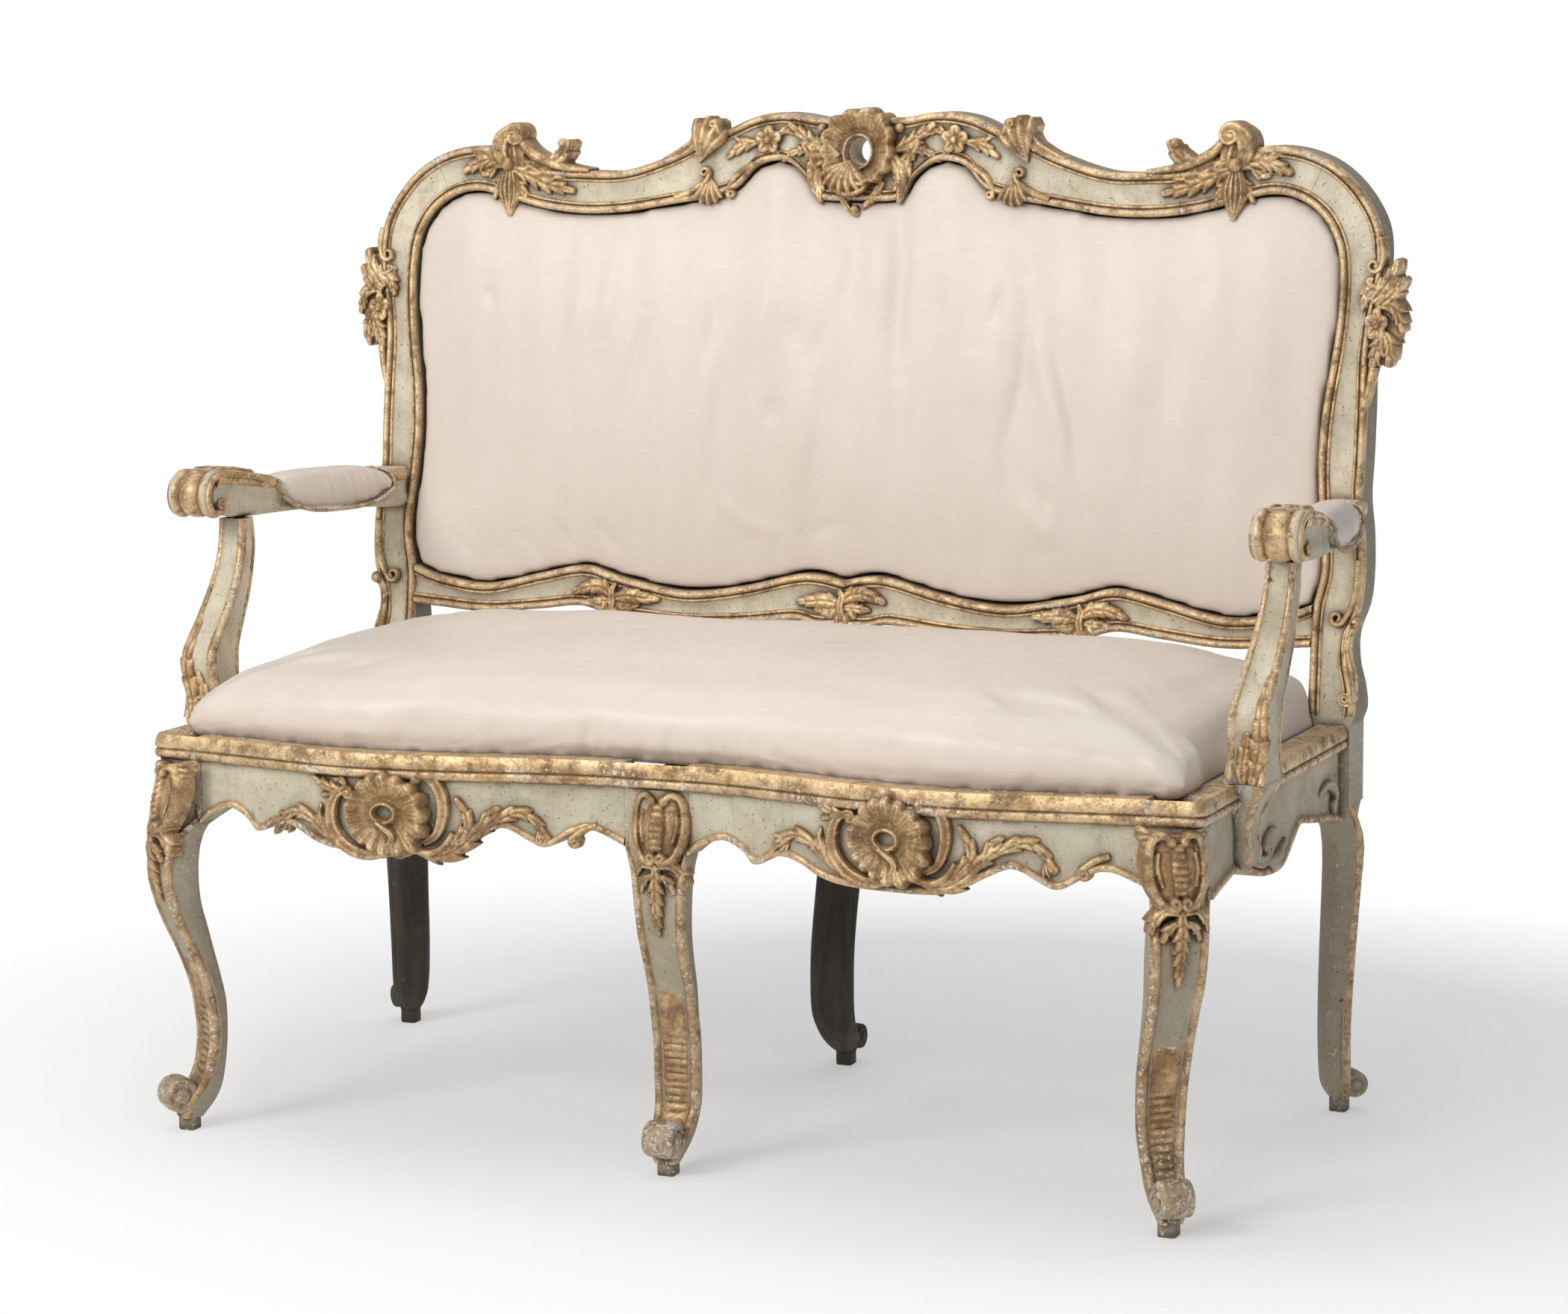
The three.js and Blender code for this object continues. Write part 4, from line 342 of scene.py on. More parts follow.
class Mixer:
    """A material under way, with short names for the nodes that it is made of."""

    def __init__(self, name):
        self.material = bpy.data.materials.new(name)
        self.material.use_nodes = True
        self.tree = self.material.node_tree
        self.tree.nodes.clear()
        self.place = add_node(self.tree, "TexCoord").outputs["Object"]

    def stretched(self, scale):
        return add_node(self.tree, "Mapping", vector=self.place, scale=scale).outputs[0]

    def noise(self, scale, detail=4, rough=0.6, where=None, warp=0):
        node = add_node(
            self.tree, "TexNoise", vector=where or self.place, scale=scale, detail=detail,
            roughness=rough, distortion=warp,
        )
        return node.outputs["Fac"]

    def cells(self, scale):
        node = add_node(self.tree, "TexVoronoi", vector=self.place, scale=scale)
        return node.outputs["Distance"]

    def read(self, name):
        return add_node(self.tree, "Attribute", {"attribute_name": name}).outputs["Fac"]

    def span(self, value, low, high, to_low=0.0, to_high=1.0):
        """Maps low..high onto to_low..to_high, clamped."""
        return add_node(
            self.tree, "MapRange", value=value, from_min=low, from_max=high, to_min=to_low,
            to_max=to_high,
        ).outputs[0]

    def falling(self, value, low, high):
        """1 up to low and 0 from high."""
        return self.span(value, low, high, 1.0, 0.0)

    def maths(self, kind, a, b, clamp=False):
        settings = {"operation": kind, "use_clamp": clamp}
        return add_node(self.tree, "Math", settings, **{"0": a, "1": b}).outputs[0]

    def times(self, a, b):
        return self.maths("MULTIPLY", a, b)

    def plus(self, a, b):
        return self.maths("ADD", a, b)

    def less(self, a, b, clamp=False):
        return self.maths("SUBTRACT", a, b, clamp)

    def most(self, a, b):
        return self.maths("MAXIMUM", a, b)

    def blend(self, share, a, b):
        """A colour between a and b."""
        node = self.tree.nodes.new("ShaderNodeMix")
        node.data_type = "RGBA"
        for name, value in (("Factor_Float", share), ("A_Color", a), ("B_Color", b)):
            socket = next(s for s in node.inputs if s.identifier == name)
            feed(self.tree, socket, (*value, 1) if isinstance(value, tuple) else value)
        return next(s for s in node.outputs if s.identifier == "Result_Color")

    def stained(self, colour, where, strength, tint):
        """A colour with a tint laid over it where the mask says so, at most at a strength."""
        return self.blend(self.times(where, strength), colour, tint)

    def bump(self, height, strength, distance):
        sockets = {"height": height, "strength": strength, "distance": distance}
        return add_node(self.tree, "Bump", **sockets).outputs[0]

    def recess(self, distance, samples=6):
        """How open a place is: 1 out in the open and 0 deep in a carving."""
        return add_node(
            self.tree, "AmbientOcclusion", {"samples": samples}, distance=distance
        ).outputs["AO"]

    def pointed(self):
        """How far a place stands out of its neighbours: 0.5 on the flat, less in a groove."""
        return add_node(self.tree, "NewGeometry").outputs["Pointiness"]

    def height(self):
        return add_node(self.tree, "SeparateXYZ", vector=self.place).outputs["Z"]

    def surface(self, **sockets):
        """Ends the material with a shader of these values."""
        shader = add_node(self.tree, "BsdfPrincipled", **sockets)
        add_node(self.tree, "OutputMaterial", surface=shader.outputs[0])
        return self.material


PAINT_LIGHT = (0.8, 0.725, 0.555)
PAINT_DARK = (0.52, 0.475, 0.345)
# Painted shade: the paint towards the floor.
PAINT_FLOOR_SHADE = (0.25, 0.215, 0.145)
PAINT_STAIN = (0.33, 0.25, 0.15)
# Painted shade on marked side faces, with dirt on the feet.
PAINT_SOIL_AND_SHADE = (0.17, 0.15, 0.11)
# Grime and painted shade in the hollows, also the colour of small holes and specks.
PAINT_GRIME_AND_SHADE = (0.1, 0.072, 0.042)
GESSO = (0.74, 0.68, 0.59)
BARE_WOOD = (0.13, 0.075, 0.04)
GOLD_BRIGHT = (0.86, 0.62, 0.34)
GOLD_WORN = (0.43, 0.262, 0.112)
GOLD_AGED = (0.3, 0.17, 0.07)
GOLD_BOLE = (0.17, 0.082, 0.033)
# Dirt and painted shade in the gilding's hollows.
GOLD_DIRT_AND_SHADE = (0.06, 0.03, 0.011)


def painted_and_gilt(name="painted_and_gilt", always_gilt=False):
    """Chalky sage paint over gesso, gilt where the piece's gilt mark says so. Both are worn on
    what stands out, with dirt and painted shade in the hollows and painted shade the more so near
    the floor;
    the gilding gets a painted highlight on what stands out."""
    m = Mixer(name)
    if always_gilt:
        gilt, torn = 1.0, 0.0
    else:
        shake = m.times(m.less(m.noise(170, 3), 0.5), 0.8)
        shaky = m.plus(m.read("gilt"), shake)
        gilt = m.span(shaky, 0.46, 0.54)
        torn = m.times(m.span(shaky, 0.4, 0.46), m.falling(shaky, 0.5, 0.56))
        torn = m.times(torn, m.span(m.noise(60, 3), 0.5, 0.6))
    opened = m.recess(0.011, 8)
    edge = m.pointed()
    # Nearness to the floor, used below as painted shade that darkens the lower paint and gilding.
    low = m.falling(m.height(), 0.26, 0.47)
    # Paint: mottled and stained, rubbed to the gesso, with grime and painted shade in the corners
    # and small holes.
    cloud = m.span(m.noise(9, 6, 0.62), 0.35, 0.68)
    paint = m.blend(cloud, PAINT_LIGHT, PAINT_DARK)
    # Painted shade: the paint darker towards the floor.
    paint = m.stained(paint, low, 0.72, PAINT_FLOOR_SHADE)
    # Painted shade on the side and back faces, and dirt with painted shade on the feet, from their
    # mark.
    paint = m.stained(paint, m.read("soil_and_shade"), 0.75, PAINT_SOIL_AND_SHADE)
    stain = m.span(m.noise(24, 7, 0.72), 0.47, 0.7)
    paint = m.stained(paint, stain, 0.5, PAINT_STAIN)
    rubbed = m.span(m.noise(75, 6, 0.75), 0.52, 0.7)
    paint = m.blend(m.times(rubbed, m.span(low, 0.0, 1.0, 0.42, 0.16)), paint, GESSO)
    streak = m.span(m.noise(26, 5, 0.7, m.stretched((5, 5, 0.6))), 0.55, 0.72)
    paint = m.stained(paint, streak, 0.35, PAINT_STAIN)
    # Grime and painted shade in corners and recesses, from ambient occlusion.
    grime_and_shade = m.falling(opened, 0.5, 0.98)
    specks = m.span(m.noise(330, 2, 0.5), 0.67, 0.72)
    holes = m.falling(m.cells(80), 0.035, 0.07)
    holes = m.times(holes, m.span(m.noise(12, 3), 0.45, 0.55))
    paint = m.stained(paint, grime_and_shade, 0.85, PAINT_GRIME_AND_SHADE)
    paint = m.stained(paint, m.most(specks, holes), 0.75, PAINT_GRIME_AND_SHADE)
    # Gilding: painted highlight on what stands out, worn to the bole, dirt and painted shade in
    # the hollows.
    # Painted highlight: raised places, found by pointiness, lean to bright gold; the noise is
    # wear.
    wear_and_highlight = m.plus(m.noise(34, 7, 0.72), m.times(m.less(0.5, edge), 2.4))
    gold = m.blend(m.span(wear_and_highlight, 0.4, 0.58), GOLD_BRIGHT, GOLD_WORN)
    patch = m.span(m.noise(19, 6, 0.72), 0.49, 0.6)
    gold = m.stained(gold, patch, 0.4, GOLD_AGED)
    bole = m.span(m.noise(58, 7, 0.72), 0.49, 0.62)
    gold = m.stained(gold, bole, 0.78, GOLD_BOLE)
    # Painted shade: the gilding darker towards the floor.
    gold = m.stained(gold, low, 0.36, GOLD_BOLE)
    grain = m.span(m.noise(300, 5, 0.72), 0.5, 0.68)
    gold = m.stained(gold, grain, 0.5, GOLD_BOLE)
    # Dirt and painted shade in grooves and hollows, from pointiness and ambient occlusion.
    cavity = m.falling(edge, 0.44, 0.498)
    dirt_and_shade = m.most(m.falling(opened, 0.35, 0.95), cavity)
    gold = m.stained(gold, dirt_and_shade, 0.86, GOLD_DIRT_AND_SHADE)
    # Chips down to the gesso, most of them along the worn edges.
    wear = m.plus(m.noise(210, 6, 0.75), m.times(m.noise(16, 3), 0.3))
    wear = m.plus(wear, m.times(m.read("worn"), 0.05))
    wear = m.plus(wear, m.times(m.less(edge, 0.5), 0.9))
    wear = m.less(wear, m.times(m.read("soil_and_shade"), 0.08))
    chips = m.most(m.span(wear, 0.765, 0.8), torn)
    colour = m.blend(gilt, paint, gold) if not always_gilt else gold
    colour = m.stained(colour, chips, 0.9, GESSO)
    bare = m.span(m.noise(70, 4, 0.6), 0.71, 0.73)
    colour = m.blend(bare, colour, BARE_WOOD)
    dull = m.most(chips, m.most(bole, dirt_and_shade))
    metal = m.times(gilt, m.less(1.0, dull, True))
    metal = m.times(metal, 0.62)
    shine = m.span(metal, 0.0, 0.62, 0.64, 0.4)
    rough = m.plus(shine, m.times(m.less(m.noise(55, 4), 0.5), 0.25))
    relief = m.less(m.noise(140, 6, 0.7), m.times(chips, 0.6))
    relief = m.less(relief, m.times(m.most(holes, specks), 0.8))
    return m.surface(
        base_color=colour, metallic=metal, roughness=rough,
        normal=m.bump(relief, 0.6, 0.0014),
    )


def grimy_and_shaded_wood():
    """Wood that was once painted, dark with dirt and painted shade, lighter at a few rubbed
    places.
    """
    m = Mixer("grimy_and_shaded_wood")
    grain = m.noise(30, 6, 0.65, m.stretched((3, 3, 0.35)), 0.3)
    cloud = m.span(m.noise(14, 6, 0.65), 0.45, 0.75)
    rubbed = m.span(m.noise(75, 5, 0.7), 0.64, 0.7)
    colour = m.blend(m.span(grain, 0.3, 0.7), (0.052, 0.037, 0.024), (0.022, 0.015, 0.01))
    colour = m.stained(colour, cloud, 0.4, (0.11, 0.09, 0.062))
    colour = m.stained(colour, rubbed, 0.35, (0.3, 0.24, 0.17))
    return m.surface(
        base_color=colour, roughness=m.span(grain, 0.2, 0.8, 0.5, 0.72),
        normal=m.bump(m.less(grain, rubbed), 0.5, 0.001),
    )


def aged_wood():
    m = Mixer("aged_wood")
    grain = m.noise(18, 8, 0.65, m.stretched((0.35, 3.2, 3.2)), 0.4)
    pores = m.span(m.noise(90, 4, 0.6, m.stretched((0.25, 5, 5))), 0.55, 0.72)
    colour = m.blend(m.span(grain, 0.3, 0.7), (0.22, 0.14, 0.085), (0.11, 0.065, 0.035))
    colour = m.stained(colour, pores, 0.6, (0.05, 0.03, 0.018))
    return m.surface(
        base_color=colour, roughness=m.span(grain, 0.2, 0.8, 0.62, 0.85),
        normal=m.bump(m.less(grain, pores), 0.5, 0.001),
    )


def silk():
    """Slubbed silk: fine threads across, thicker ones here and there, soft stains and spots."""
    m = Mixer("ivory_silk")
    weft = m.noise(1, 2, 0.5, m.stretched((60, 60, 1400)))
    warp = m.noise(1, 2, 0.5, m.stretched((1500, 1500, 60)))
    slub = m.noise(1, 3, 0.6, m.stretched((26, 26, 420)))
    slubs = m.span(slub, 0.68, 0.78)
    stain = m.span(m.noise(5, 6, 0.6), 0.42, 0.7)
    drawn = m.span(m.noise(1, 4, 0.6, m.stretched((34, 34, 4))), 0.4, 0.72)
    spots = m.falling(m.cells(26), 0.02, 0.045)
    spots = m.times(spots, m.span(m.noise(5, 2), 0.56, 0.62))
    opened = m.recess(0.03, 6)
    colour = m.blend(m.span(weft, 0.3, 0.7), (0.775, 0.69, 0.615), (0.735, 0.642, 0.565))
    colour = m.stained(colour, stain, 0.2, (0.62, 0.51, 0.42))
    colour = m.stained(colour, drawn, 0.16, (0.6, 0.51, 0.43))
    colour = m.stained(colour, slubs, 0.22, (0.5, 0.41, 0.33))
    colour = m.stained(colour, spots, 0.4, (0.3, 0.23, 0.17))
    shade = m.falling(opened, 0.3, 0.92)
    colour = m.stained(colour, shade, 0.4, (0.3, 0.215, 0.155))
    height = m.plus(m.times(weft, 0.5), m.times(warp, 0.4))
    height = m.plus(height, m.times(slubs, 0.4))
    return m.surface(
        base_color=colour, roughness=m.span(weft, 0.3, 0.7, 0.36, 0.46), sheen_weight=0.15,
        sheen_roughness=0.4, normal=m.bump(height, 0.3, 0.0004),
    )


def gimp():
    """A twisted braid, gilt thread rubbed to its pale core."""
    m = Mixer("gimp_braid")
    fibre = m.noise(260, 5, 0.7)
    worn = m.span(m.noise(70, 4, 0.6), 0.42, 0.6)
    colour = m.blend(worn, (0.4, 0.27, 0.13), (0.66, 0.56, 0.43))
    # Painted shade in the braid's grooves, from ambient occlusion.
    colour = m.blend(m.span(m.recess(0.004, 6), 0.4, 0.95, 0.8, 0.0), colour, (0.09, 0.06, 0.03))
    return m.surface(
        base_color=colour, roughness=m.span(fibre, 0.3, 0.7, 0.5, 0.75),
        normal=m.bump(fibre, 0.6, 0.0008),
    )


def coarse_linen():
    m = Mixer("coarse_linen")
    across = m.noise(1, 2, 0.5, m.stretched((30, 900, 900)))
    down = m.noise(1, 2, 0.5, m.stretched((900, 30, 30)))
    weave = m.times(across, down)
    colour = m.blend(m.span(weave, 0.12, 0.4), (0.3, 0.22, 0.14), (0.5, 0.41, 0.29))
    return m.surface(base_color=colour, roughness=0.9, normal=m.bump(weave, 0.6, 0.0008))


# The back frame.

# Half of the section across the back's frame, from either edge to its hollow panel: distance in,
# height and gilding. A round bead, a quirk and a thin fillet.
EDGE_PROFILE = [
    (0, -2, 0.2), (0.3, 0.8, 1), (1.4, 3, 1), (3, 4.5, 1), (4.8, 5, 1), (6.6, 4.4, 1), (8, 2.8, 1),
    (8.8, 1, 1), (9.4, 0.7, 1), (10, 1.7, 1), (11.2, 2.3, 1), (12.4, 1.8, 1), (13.2, 0.3, 0.8),
    (14, -0.5, 0),
]
SIDE_EDGE_DEPTH = 4
PANEL_STEPS = 6
PANEL_HOLLOW = 1.8
WORN_HEIGHT = 4


def back_depth(z):
    return mix(POST_DEPTH, BACK_THICKNESS, np.clip((z - SEAT_TOP) / POST_TAPER_RISE, 0, 1))


def across_back(outer, inner, bead=1.0):
    """Sections through the back's frame between two edges, with gilding, wear and painted-shade
    marks.
    """
    outer, inner = np.asarray(outer, float), np.asarray(inner, float)
    way = inner - outer
    width = np.linalg.norm(way, axis=1)
    way /= width[:, None]
    depth = back_depth((outer[:, 1] + inner[:, 1]) / 2)
    bead = np.broadcast_to(bead, width.shape)
    columns = [(0 * width, -depth, 0), (0 * width, -depth / 2, 0),
               (0 * width, -SIDE_EDGE_DEPTH, 0)]
    columns += [(0 * width + inset, bead * rise, gold) for inset, rise, gold in EDGE_PROFILE]
    first, last = EDGE_PROFILE[-1][0], width - EDGE_PROFILE[-1][0]
    for step in range(1, PANEL_STEPS):
        share = step / PANEL_STEPS
        hollow = EDGE_PROFILE[-1][1] - PANEL_HOLLOW * math.sin(math.pi * share)
        columns.append((mix(first, last, share), bead * hollow, 0))
    columns += [(width - inset, bead * rise, gold) for inset, rise, gold in EDGE_PROFILE[::-1]]
    columns += [(width, -SIDE_EDGE_DEPTH, 0), (width, -depth / 2, 0), (width, -depth, 0),
                (width / 2, -depth, 0)]
    points = []
    for along, proud, _ in columns:
        place = outer + way * along[:, None]
        points.append(on_back(place[:, 0], place[:, 1], proud))
    gold = np.array([column[2] for column in columns]) * bead[:, None]
    worn = np.array([float(np.all(np.asarray(c[1]) >= WORN_HEIGHT * 0.99)) for c in columns])
    # Side and back faces get a mark for painted shade.
    soil_and_shade = np.array([float(np.all(np.asarray(c[1]) < -SIDE_EDGE_DEPTH * 0.9)) for c in columns])
    marks = {"gilt": gold, "worn": np.broadcast_to(worn, gold.shape),
             "soil_and_shade": np.broadcast_to(soil_and_shade, gold.shape)}
    return np.stack(points, axis=1), marks


def back_curve(table, shares, half_width):
    """A line over the back, from a table of shares of a half width and of the back's height."""
    size = np.array([half_width, CREST_TOP - SEAT_TOP])
    return read_curve(table, shares) * size + np.array([0, SEAT_TOP])


def back_edges(places):
    """The outer and inner edge at places counted in steps of the tables."""
    shares = np.asarray(places, float) / (len(BACK_OUTER) - 1)
    return [back_curve(table, shares, BACK_HALF_WIDTH) for table in (BACK_OUTER, BACK_INNER)]


def both_halves(edge):
    """An edge up to the middle of the back, carried on over its left half."""
    return np.concatenate([edge, (edge * np.array([-1, 1]))[-2::-1]])


CREST_SAMPLES = 300
CREST_HOLE, HOLE_RADIUS = (-1, 1060), 14.3
HOLE_CUTTER_HALF, HOLE_SEGMENTS = 60, 32
POST_SAMPLES, POST_STEP = 190, 4
BEAD_FADE = (2, 16)
JOINT_HALF = 0.004


def crest_rail(material):
    half = np.linspace(SHOULDER_JOINT - JOINT_HALF, 0, CREST_SAMPLES // 2)
    points, marks = across_back(*[both_halves(edge) for edge in back_edges(half)])
    piece = grid_piece("crest_rail_carved", points, marks)
    x, z = CREST_HOLE
    through = HOLE_CUTTER_HALF
    sides = [(-through, 0), (-through, HOLE_RADIUS), (through, HOLE_RADIUS), (through, 0)]
    round_bar = lathe(sides, (0, 1, 0), (x, back_y(z), z), HOLE_SEGMENTS)
    cutter = grid_piece("hole_cutter", round_bar)
    changed_by(piece, "BOOLEAN", operation="DIFFERENCE", object=cutter, solver="EXACT")
    bpy.data.objects.remove(cutter)
    finish_piece(piece, material, "painted_wood", "crest_rail")


def back_posts(material):
    last = len(BACK_OUTER) - 1
    outer, inner = back_edges(np.linspace(SHOULDER_JOINT + JOINT_HALF, last, POST_SAMPLES))
    bead = smooth(SEAT_TOP + BEAD_FADE[0], SEAT_TOP + BEAD_FADE[1], outer[:, 1])
    points, marks = across_back(outer, inner, bead)
    foot = np.repeat(points[-1:], 2, axis=0)
    foot[0, :, 2], foot[1, :, 2] = SEAT_TOP - POST_STEP, LEG_TOP
    points = np.concatenate([points, foot])
    marks = {key: np.concatenate([v, np.zeros((2, v.shape[1]))]) for key, v in marks.items()}
    painted_pair("back_post_{}_carved", points, marks, material, "back_post_{}")


LOWER_SAMPLES = 260


def lower_back_rail(material):
    shares = np.linspace(1, 0, LOWER_SAMPLES // 2)
    edges = [back_curve(table, shares, POST_INNER_X) for table in (LOWER_BOTTOM, LOWER_TOP)]
    points, marks = across_back(*[both_halves(edge) for edge in edges])
    piece = grid_piece("lower_back_rail_carved", points, marks)
    finish_piece(piece, material, "painted_wood", "lower_back_rail")


# The seat frame.

# The moulding round the seat from its foot up: shares of how far it stands out and of how far it
# lies below the top. A round roll under a quirk and a broad band sloping in to the top.
MOULDING_PROFILE = [
    (0.1, 1), (0.5, 0.975), (0.8, 0.93), (0.96, 0.85), (1, 0.76), (0.95, 0.67), (0.82, 0.62),
    (0.74, 0.59), (0.84, 0.55), (0.95, 0.49), (0.97, 0.4), (0.88, 0.25), (0.74, 0.1), (0.6, 0),
]
APRON_BEAD_PROFILE = [
    (0.2, 0), (0.7, 0.02), (0.95, 0.2), (1, 0.5), (0.9, 0.8), (0.55, 1.1), (0.1, 1.25),
    (-0.15, 1.45),
]
PLAIN_BAND, PLAIN_BAND_SUNK = (0.2, 0.5, 0.8, 0.97), 0.6
APRON_GILT_TO, WORN_FROM = 1.2, 0.9
APRON_SAMPLES = 240


def rail_sections(bottom, place):
    """Sections of a seat rail above its scalloped edge. place(out, z) puts one column of points
    in its place for every station along the rail."""
    bottom = np.asarray(bottom, float)
    flat = np.ones_like(bottom)
    columns = [(-RAIL_DEPTH * flat, bottom, 0, 0), (-RAIL_DEPTH / 2 * flat, bottom, 0, 0)]
    for out, up in APRON_BEAD_PROFILE:
        gold = 1 if up < APRON_GILT_TO else 0
        columns.append((out * EDGE_BEAD_PROUD * flat, bottom + up * EDGE_BEAD, gold,
                        out > WORN_FROM))
    foot = SEAT_TOP - MOULDING_HEIGHT
    top_of_bead = bottom + APRON_BEAD_PROFILE[-1][1] * EDGE_BEAD
    for share in PLAIN_BAND:
        columns.append((-PLAIN_BAND_SUNK * flat, mix(top_of_bead, foot, share), 0, 0))
    for out, down in MOULDING_PROFILE:
        height = (SEAT_TOP - down * MOULDING_HEIGHT) * flat
        columns.append((out * MOULDING_PROUD * flat, height, 1, out > WORN_FROM))
    columns += [
        (-SEAT_LIP * 0.2 * flat, SEAT_TOP * flat, 1, 0),
        (-SEAT_LIP * flat, SEAT_TOP * flat, 0.3, 0),
        (-SEAT_LIP * flat, (SEAT_TOP - LEDGE_DEPTH) * flat, 0, 0),
        (-RAIL_DEPTH * flat, (SEAT_TOP - LEDGE_DEPTH) * flat, 0, 0),
    ]
    points = np.stack([place(out, z) for out, z, _, _ in columns], axis=1)
    return points, gilt_and_worn(columns)


def front_aprons(material):
    shares = np.linspace(0, 1, APRON_SAMPLES)
    edge = read_curve(APRON_EDGE, shares)
    near, far = MIDDLE_BLOCK_HALF + JOINT_GAP, CORNER_JOINT_X - JOINT_GAP
    for side, start, end in (("right", near, far), ("left", -far, -near)):
        x = mix(start, end, edge[:, 0])
        bottom = ARCH_HEIGHT - np.clip(edge[:, 1], 0, 1) * APRON_DROP
        points, marks = rail_sections(bottom, lambda out, z: on_apron(x, z, out))
        piece = grid_piece(f"front_apron_{side}_carved", points, marks)
        finish_piece(piece, material, "painted_wood", f"front_apron_{side}")


def side_aprons(material):
    shares = np.linspace(0, 1, APRON_SAMPLES)
    edge = read_curve(SIDE_EDGE, shares)
    y = mix(CORNER_JOINT_Y + JOINT_GAP, BACK_FACE_Y - JOINT_GAP, edge[:, 0])
    bottom = SIDE_ARCH_HEIGHT - np.clip(edge[:, 1], 0, 1) * SIDE_DROP
    points, marks = rail_sections(
        bottom, lambda out, z: np.stack([FRAME_HALF_WIDTH + out, y, z], axis=-1)
    )
    painted_pair("side_apron_{}_carved", points, marks, material, "side_apron_{}")


# The carved bracket outside the side rail, under the foot of the arm support.
BRACKET_DROP = 92
BRACKET = [
    (0, 1, 1, 0.42), (0.1, 0.96, 0.98, 0.44), (0.3, 0.66, 0.92, 0.5), (0.6, 0.44, 0.84, 0.56),
    (0.85, 0.5, 0.84, 0.5), (1, 0.28, 0.78, 0.56),
]
BRACKET_ROWS = 40
BRACKET_RING = [
    (0, 1, 0, 0), (0, 0.5, 0, 0), (0, 0, 0, 0), (0.5, 0, 0, 0), (0.8, 0.02, 1, 0),
    (0.95, 0.06, 1, 1), (1, 0.12, 1, 1), (0.97, 0.2, 1, 0), (0.9, 0.26, 0, 0), (0.88, 0.5, 0, 0),
    (0.9, 0.74, 0, 0), (0.97, 0.8, 1, 0), (1, 0.88, 1, 1), (0.95, 0.94, 1, 1), (0.8, 0.98, 1, 0),
    (0.5, 1, 0, 0),
]


def support_brackets(material):
    rows = read_curve(BRACKET, np.linspace(0, 1, BRACKET_ROWS))
    down, out, front, back = rows.T
    z = SEAT_TOP - down * BRACKET_DROP
    inner = FRAME_HALF_WIDTH - JOINT_GAP
    outer = FRAME_HALF_WIDTH + out * (SUPPORT_BASE_X + SUPPORT_HALF_WIDTH - FRAME_HALF_WIDTH)
    front_y, back_edge = [SUPPORT_TOP_Y - edge * SUPPORT_REACH for edge in (front, back)]
    columns = [
        np.stack([mix(inner, outer, across), mix(front_y, back_edge, along), z], axis=-1)
        for across, along, _, _ in BRACKET_RING
    ]
    points = np.stack(columns, axis=1)
    painted_pair("support_bracket_{}", points, gilt_and_worn(BRACKET_RING), material)


# The legs.

# Half of a leg's ring, from the middle of its heel to the middle of its front: from which edge
# the depth counts, how far in from it, the share of the half width and how much less, gilding,
# wear, and the matching place on the ring of the block that the leg spreads into.
LEG_RING = [
    ("back", 0, 0.3, 0, 0, 0, -0.25), ("back", 0.6, 0.58, 0, 0, 0, 0),
    ("back", 3, 0.76, 0, 0, 0, 0.4), ("back", 8, 0.89, 0, 0, 0, 1), ("mid", 0, 0.96, 0, 0, 0, 1.5),
    ("front", -13, 1, 0, 0, 0, 1.85), ("front", -10, 1, 0, 0.5, 0, 2),
    ("front", -8.5, 1, -0.8, 1, 0, 2.5), ("front", -5, 1, -0.6, 1, 1, 2.8),
    ("front", -2, 1, 0.6, 1, 1, 2.95), ("front", -0.3, 1, 3, 1, 1, 3.1),
    ("front", 0, 1, 5, 1, 1, 3.25), ("front", -0.8, 1, 7.4, 1, 0, 3.45),
    ("front", -2.4, 1, 9, 0.8, 0, 3.6), ("front", -3.4, 1, 10.4, 0, 0, 3.8),
    ("front", -3.6, 0.5, 0, 0, 0, 4.8), ("front", -3.6, 0.25, 0, 0, 0, 5.5),
    ("front", -3.6, 0, 0, 0, 0, 6),
]
LEG_ROWS = 150
SHIN_COLUMNS = 2
KNEE_BEAD, KNEE_FROM = 2.4, 0.92
EAR_BLEND = [(0, 0), (0.8, 0), (0.86, 0.06), (0.91, 0.2), (0.95, 0.45), (0.98, 0.74), (1, 1)]
GILT_TO, GILT_FADE = 0.6, 0.1
GILT_SINK = 1.4
RIBS_FROM, RIBS_TO, RIBS_RISE, RIBS_FALL = 0.17, 0.43, 0.03, 0.04
RIB_PITCH = 8
RIB_CUT = 1.7
CORNER_SWELL, MIDDLE_SWELL, SWELL_WIDTH, SWELL_TOP_SHARE = 17, 12, 20, 0.4


def swell_at(z, amount):
    """How far a leg's block swells out over its knee, less towards the seat's moulding."""
    return amount * mix(1, SWELL_TOP_SHARE, smooth(LEG_TOP, SEAT_TOP - MOULDING_HEIGHT, z))


def swollen(plan, z, middle, facing, amount):
    plan = np.asarray(plan, float)
    out = np.array([math.cos(facing), math.sin(facing)])
    reach = np.exp(-(np.linalg.norm(plan - np.array(middle), axis=1) / SWELL_WIDTH) ** 2)
    return plan + out * (swell_at(z, amount) * reach)[:, None]


def leg_ring(front, back, half):
    """The ring round a leg's shaft at each height, as depth towards its front and across."""
    columns = []
    for base, inset, share, less, gold, worn, place in LEG_RING:
        edge = {"front": front, "back": back, "mid": (front + back) / 2}[base]
        columns.append((edge + inset, np.maximum(share * half - less, 0), gold, worn, place))
    left = [(d, -a, g, w, p) for d, a, g, w, p in columns]
    right = [(d, a, g, w, 12 - p) for d, a, g, w, p in columns[-2::-1]]
    return left + right


